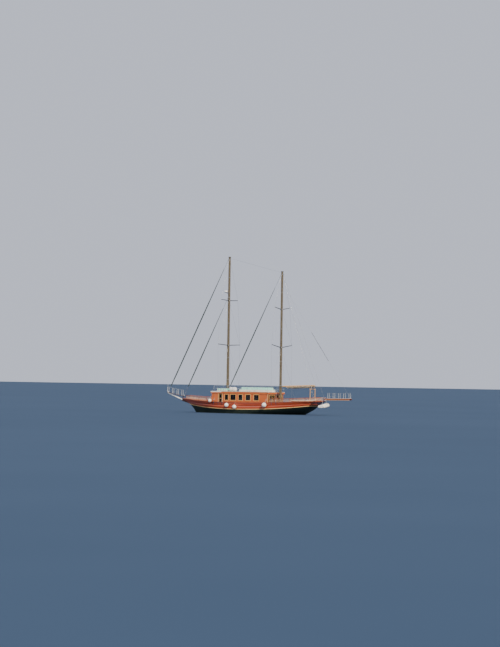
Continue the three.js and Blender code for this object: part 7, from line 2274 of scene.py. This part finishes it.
def moved(dx=0.0, dy=0.0, flip=1):
    return lambda p: Vector((p.x + dx, (p.y + dy) * flip, p.z))


# Settee cushions: six seats a side and their wedge backs, each swollen and piped
PAD_X0, PAD_PITCH, PAD_GAP = -4.38, 0.92667, 0.008
VOXEL = 0.018
half = PAD_PITCH / 2 - PAD_GAP
seat_plan = [(-half + 0.01, 0.222), (half - 0.01, 0.222), (half - 0.01, 0.778), (-half + 0.01, 0.778)]
seat_pad = puffed(*prism(seat_plan, 3.607, 3.712), 0.014, VOXEL)
seat_seams = [[(x, y, z) for x, y in seat_plan] for z in (3.62, 3.7)]
back_side = [(0.04, 3.61), (0.2, 3.61), (0.19, 3.72), (0.142, 4.035), (0.04, 4.035)]
back_corners = [(x, y, z) for x in (-half + 0.01, half - 0.01) for y, z in back_side]
back_pad = puffed(back_corners, prism_faces(5), 0.012, VOXEL)
back_seams = [[(x, y, z) for x, y, z in ((-half + 0.01, 0.142, 4.03), (half - 0.01, 0.142, 4.03),
                                         (half - 0.01, 0.19, 3.73), (-half + 0.01, 0.19, 3.73))]]
for side, name in ((1, "roof_pads_port"), (-1, "roof_pads_starboard")):
    seats, backs = Form(), Form()
    for n in range(6):
        centre = PAD_X0 + PAD_PITCH * (n + 0.5)
        add_pad(seats, seat_pad, seat_seams, moved(centre, 0, side), 0)
        add_pad(backs, back_pad, back_seams, moved(centre, 0, side), 0)
    for form, kind in ((seats, "seat_cushions"), (backs, "back_cushions")):
        row_of_pads = piece(form, name.replace("roof_pads", kind), [mint_cloth, white_cloth],
                            replaces=[name], smooth=70)
        outward(row_of_pads)


# Sun pad round the mast: a white base, and three striped mattresses
def striped_cloth():
    """Sun pad cloth: mint bands 200 mm wide across the ship, with narrower white ones between them."""
    made, tree, shader = finish_of("striped_mattress_cloth")
    place = add(tree, SPLIT, {0: coordinates(tree)})
    bands = add(tree, MATH, [add(tree, MATH, [place, 1 / 0.3], operation="MULTIPLY"), 0.5],
                operation="PINGPONG")
    wash = add(tree, NOISE, {"Vector": coordinates(tree, (6.0, 6.0, 6.0)), "Scale": 1.0, "Detail": 5.0,
                             "Roughness": 0.6})
    mint = add(tree, MIX, {0: wash, 6: "4CC3A8", 7: "84DAC3"}, 2, data_type="RGBA")
    white = add(tree, MIX, {0: wash, 6: "E9F2EC", 7: "F6F7F2"}, 2, data_type="RGBA")
    cloth = add(tree, MIX, {0: add(tree, RANGE, [bands, 0.34, 0.36]), 6: mint, 7: white}, 2, data_type="RGBA")
    feed(tree, shader, {
        "Base Color": cloth,
        "Roughness": 0.85,
        "Sheen Weight": 0.3,
    })
    thread = add(tree, NOISE, {"Vector": coordinates(tree, (420.0, 420.0, 420.0)), "Scale": 1.0,
                               "Detail": 2.0, "Roughness": 0.6})
    height = add(tree, MATH, [wash, 3.0, thread], operation="MULTIPLY_ADD")
    feed(tree, shader, {
        "Normal": add(tree, BUMP, {"Height": height, "Distance": 0.0015, "Strength": 1.0}),
    })
    return made


sunpad_cloth = striped_cloth()
SUNPAD_X0, SUNPAD_X1, SUNPAD_HALF, SUNPAD_TOP, SLOT_HALF, SLOT_X = 3.05, 4.75, 1.5, 3.8, 0.42, 4.15
MATTRESS, SLAT_Z = 0.3, ROOF_Z + 0.02
base = Form()
base_top = SUNPAD_TOP - MATTRESS
pads_plan = [(SUNPAD_X0, SUNPAD_X1, SLOT_HALF, SUNPAD_HALF), (SUNPAD_X0, SUNPAD_X1, -SUNPAD_HALF, -SLOT_HALF),
             (SLOT_X, SUNPAD_X1, -SLOT_HALF, SLOT_HALF)]
for x0, x1, y0, y1 in pads_plan:
    box(base, x0 + 0.004, x1 - 0.004, y0 + 0.004, y1 - 0.004, base_top - 0.03, base_top)
for side in (-1, 1):
    box(base, SUNPAD_X0 + 0.01, SUNPAD_X1 - 0.01, side * (SUNPAD_HALF - 0.03), side * (SUNPAD_HALF - 0.008),
        SLAT_Z, SLAT_Z + 0.07)
    for x in (SUNPAD_X0 + 0.02, (SUNPAD_X0 + SUNPAD_X1) / 2, SUNPAD_X1 - 0.09):
        box(base, x, x + 0.07, side * (SUNPAD_HALF - 0.09), side * (SUNPAD_HALF - 0.03), ROOF_Z + 0.0004,
            base_top - 0.03)
    box(base, SUNPAD_X0 + 0.02, SLOT_X, side * (SLOT_HALF + 0.01), side * (SLOT_HALF + 0.04), ROOF_Z + 0.0004,
        base_top - 0.03)
box(base, SUNPAD_X1 - 0.03, SUNPAD_X1 - 0.008, -SUNPAD_HALF + 0.03, SUNPAD_HALF - 0.03, SLAT_Z, SLAT_Z + 0.07)
for side in (-1, 1):
    box(base, SUNPAD_X0 + 0.008, SUNPAD_X0 + 0.03, side * (SLOT_HALF + 0.04), side * (SUNPAD_HALF - 0.03),
        SLAT_Z, SLAT_Z + 0.07)
box(base, SLOT_X + 0.008, SLOT_X + 0.03, -SLOT_HALF, SLOT_HALF, ROOF_Z + 0.0004, base_top - 0.03)
outward(piece(base, "sunpad_base", [white_paint], replaces=["roof_sunpad"], smooth=30, bevel=0.003))
mattresses = Form()
for n, (x0, x1, y0, y1) in enumerate(pads_plan):
    if n == 1:
        continue
    inset = 0.024
    plan = [(x0 + inset, y0 + inset), (x1 - inset, y0 + inset), (x1 - inset, y1 - inset),
            (x0 + inset, y1 - inset)]
    pad = puffed(*prism(plan, base_top + 0.012, SUNPAD_TOP - 0.016), 0.016, 0.024)
    seams = [[(x, y, z) for x, y in plan] for z in (base_top + 0.03, SUNPAD_TOP - 0.034)]
    for flip in ((1, -1) if n == 0 else (1,)):
        add_pad(mattresses, pad, seams, moved(0, 0, flip), 0)
mattress_piece = piece(mattresses, "sunpad_mattresses", [sunpad_cloth, white_cloth], replaces=["roof_sunpad"],
                       smooth=70)
outward(mattress_piece)

# Liferaft canister: two ribbed half shells with a rubber joint, hold-down straps and a steel cradle
RAFT_Y, RAFT_Z, RAFT_X, RAFT_HALF, RAFT_R = 0.9, 3.71, 2.2, 0.6, 0.293
raft = Form()
raft_profile = [(0, 0.0), (0.004, 0.13), (0.02, 0.185), (0.05, 0.225), (0.1, 0.262), (0.15, 0.282)]
for along in (0.2, 0.34, 0.48):
    raft_profile += [(along, RAFT_R), (along + 0.008, RAFT_R - 0.01), (along + 0.05, RAFT_R - 0.01),
                     (along + 0.058, RAFT_R)]
raft_profile += [(RAFT_HALF - 0.03, RAFT_R)]
raft_profile += [(2 * RAFT_HALF - along, radius) for along, radius in reversed(raft_profile)]
lathe(raft, (RAFT_X - RAFT_HALF, RAFT_Y, RAFT_Z), (9, RAFT_Y, RAFT_Z), raft_profile, 40)
hoop(raft, (RAFT_X, RAFT_Y, RAFT_Z), (1, 0, 0), RAFT_R - 0.002,
     [(0.0, -0.028), (0.006, -0.024), (0.006, 0.024), (0.0, 0.028)], 48, 1)
for along in (-0.33, 0.33):
    hoop(raft, (RAFT_X + along, RAFT_Y, RAFT_Z), (1, 0, 0), RAFT_R,
         [(0.0, -0.02), (0.004, -0.02), (0.004, 0.02), (0.0, 0.02)], 48, 2)
    ring = []
    for n in range(13):
        angle = math.radians(210 + 120 * n / 12)
        ring.append((RAFT_X + along, RAFT_Y + 0.298 * math.cos(angle), RAFT_Z + 0.298 * math.sin(angle)))
    for y in (-0.2, 0.2):
        beam(raft, (RAFT_X + along - 0.03, RAFT_Y + y, 3.42), (RAFT_X + along + 0.03, RAFT_Y + y, 3.42), 0.05,
             0.138, 3)
    box(raft, RAFT_X + along - 0.03, RAFT_X + along + 0.03, RAFT_Y - 0.24, RAFT_Y + 0.24, ROOF_Z + 0.0004,
        ROOF_Z + 0.02, 3)
    tube(raft, ring, 0.012, 10, 3)
for y in (-0.2, 0.2):
    box(raft, RAFT_X - 0.36, RAFT_X + 0.36, RAFT_Y + y - 0.02, RAFT_Y + y + 0.02, ROOF_Z + 0.02,
        ROOF_Z + 0.045, 3)
outward(piece(raft, "liferaft_canister", [gelcoat, black_rubber, coated_fabric, stainless],
              replaces=["liferaft"], smooth=40))

# Bench round the after deck: the CAD box keeps its shape; locker frames and cushions go on it
BENCH_FOOT = 1.6813
INNER = [(-8.9, 1.69), (-10.6, 1.06), (-10.6, -1.06), (-8.9, -1.69)]
OUTER = [(-8.9, 2.25), (-11.15, 1.62), (-11.15, -1.62), (-8.9, -2.25)]
doors = Form()
for (ax, ay), (bx, by) in zip(INNER, INNER[1:]):
    run = Vector((bx - ax, by - ay, 0))
    way = run.normalized()
    out = Vector((-way.y, way.x, 0))
    if way.cross(Vector((-9 - ax, -ay, 0))).z <= 0:
        out = -out
    each = run.length / 3
    for n in range(3):
        for a, b, z0, z1 in surround(0.09, each - 0.09, 0.1, 0.3, 0.04, level=True):
            start = Vector((ax, ay, BENCH_FOOT + (z0 + z1) / 2)) + way * (n * each + a) + out * 0.006
            beam(doors, start, start + way * (b - a), 0.011, z1 - z0)
outward(piece(doors, "bench_locker_frames", [frame_wood], smooth=30, bevel=0.002))


def drawn_in(plan, inset):
    """The same plan with its corners drawn in towards its middle by about the inset on each side."""
    middle = sum((Vector(p) for p in plan), Vector((0, 0))) / len(plan)
    result = []
    for n, here in enumerate(plan):
        here, before, after = Vector(here), Vector(plan[n - 1]), Vector(plan[(n + 1) % len(plan)])
        a, b = (before - here).normalized(), (after - here).normalized()
        way = (a + b).normalized()
        result.append(tuple(here + way * inset / max(math.sin(math.acos(max(-1, min(1, a.dot(b)))) / 2),
                                                     0.3)))
    return result


def between(a, b, t):
    return (a[0] + (b[0] - a[0]) * t, a[1] + (b[1] - a[1]) * t)


cushions = Form()
quads = [
    [OUTER[0], between(OUTER[0], OUTER[1], 0.45), between(INNER[0], INNER[1], 0.52), INNER[0]],
    [between(OUTER[0], OUTER[1], 0.45), OUTER[1], INNER[1], between(INNER[0], INNER[1], 0.52)],
    [OUTER[1], (OUTER[1][0], 0), (INNER[1][0], 0), INNER[1]],
]
for quad in quads:
    plan = drawn_in(quad, 0.028)
    pad = puffed(*prism(plan, 2.09, 2.174), 0.014, 0.02)
    seams = [[(x, y, z) for x, y in plan] for z in (2.1, 2.163)]
    for flip in (1, -1):
        add_pad(cushions, pad, seams, moved(0, 0, flip), 0)
cushion_piece = piece(cushions, "bench_cushions", [cream_cloth, mint_cloth], replaces=["aft_cushions"],
                      smooth=70)
outward(cushion_piece)

# CAD walls, doors and glass that stay on view get their finishes here
for names, finish in (
    (("side_wall_port", "side_wall_starboard", "front_wall"), house_wood),
    # The aft wall takes the dark timber as painted shade for the shaded aft face; the doors are dark timber
    # in their own right
    (("door_port", "door_starboard", "door_aft", "aft_wall"), dark_wood),
    (("glass_port", "glass_starboard", "glass_front"), cabin_glass),
    (("aft_bench",), red_wood),
):
    for name in names:
        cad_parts[name].material_slots[0].material = finish


# Floor at the waterline, soft studio light, and pale surroundings
FLOOR_HALF = 30000.0
floor_corners = [(x * FLOOR_HALF, y * FLOOR_HALF, 0) for x, y in ((-1, -1), (1, -1), (1, 1), (-1, 1))]
floor = bare("floor", floor_corners, [], [(0, 1, 2, 3)])
# Matt slate-blue studio floor with a faint unevenness: dark enough for white paint to stand out against it
floor_finish, floor_tree, floor_shader = finish_of("slate_studio_floor")
floor_cloud = add(floor_tree, NOISE, {"Vector": coordinates(floor_tree, (0.02, 0.02, 0.02)), "Scale": 1.0,
                                      "Detail": 4.0, "Roughness": 0.6})
base_colour = add(floor_tree, MIX, {0: floor_cloud, 6: "34465E", 7: "3F526B"}, 2, data_type="RGBA")
feed(floor_tree, floor_shader, {
    "Base Color": base_colour,
    "Roughness": 0.9,
    "Specular IOR Level": 0.1,
})
floor.data.materials.append(floor_finish)

world = bpy.data.worlds.new("studio")
bpy.context.scene.world = world
world.use_nodes = True
world.node_tree.nodes["Background"].inputs["Color"].default_value = linear("C6CBDA")
world.node_tree.nodes["Background"].inputs["Strength"].default_value = 1.15


def sun(name, azimuth, elevation, strength, softness, colour):
    """A soft distant lamp; azimuth is measured from the bow towards port."""
    lamp = bpy.data.lights.new(name, "SUN")
    lamp.energy = strength
    lamp.angle = math.radians(softness)
    lamp.color = linear(colour)[:3]
    made = bpy.data.objects.new(name, lamp)
    a, e = math.radians(azimuth), math.radians(elevation)
    place = Vector((math.cos(a) * math.cos(e), math.sin(a) * math.cos(e), math.sin(e)))
    made.location = place * 60
    made.rotation_euler = place.to_track_quat("Z", "Y").to_euler()
    bpy.context.collection.objects.link(made)


sun("key", 146.0, 36.0, 4.8, 8.0, "FFF0DA")
sun("fill", 60.0, 30.0, 0.6, 40.0, "E6EEFF")
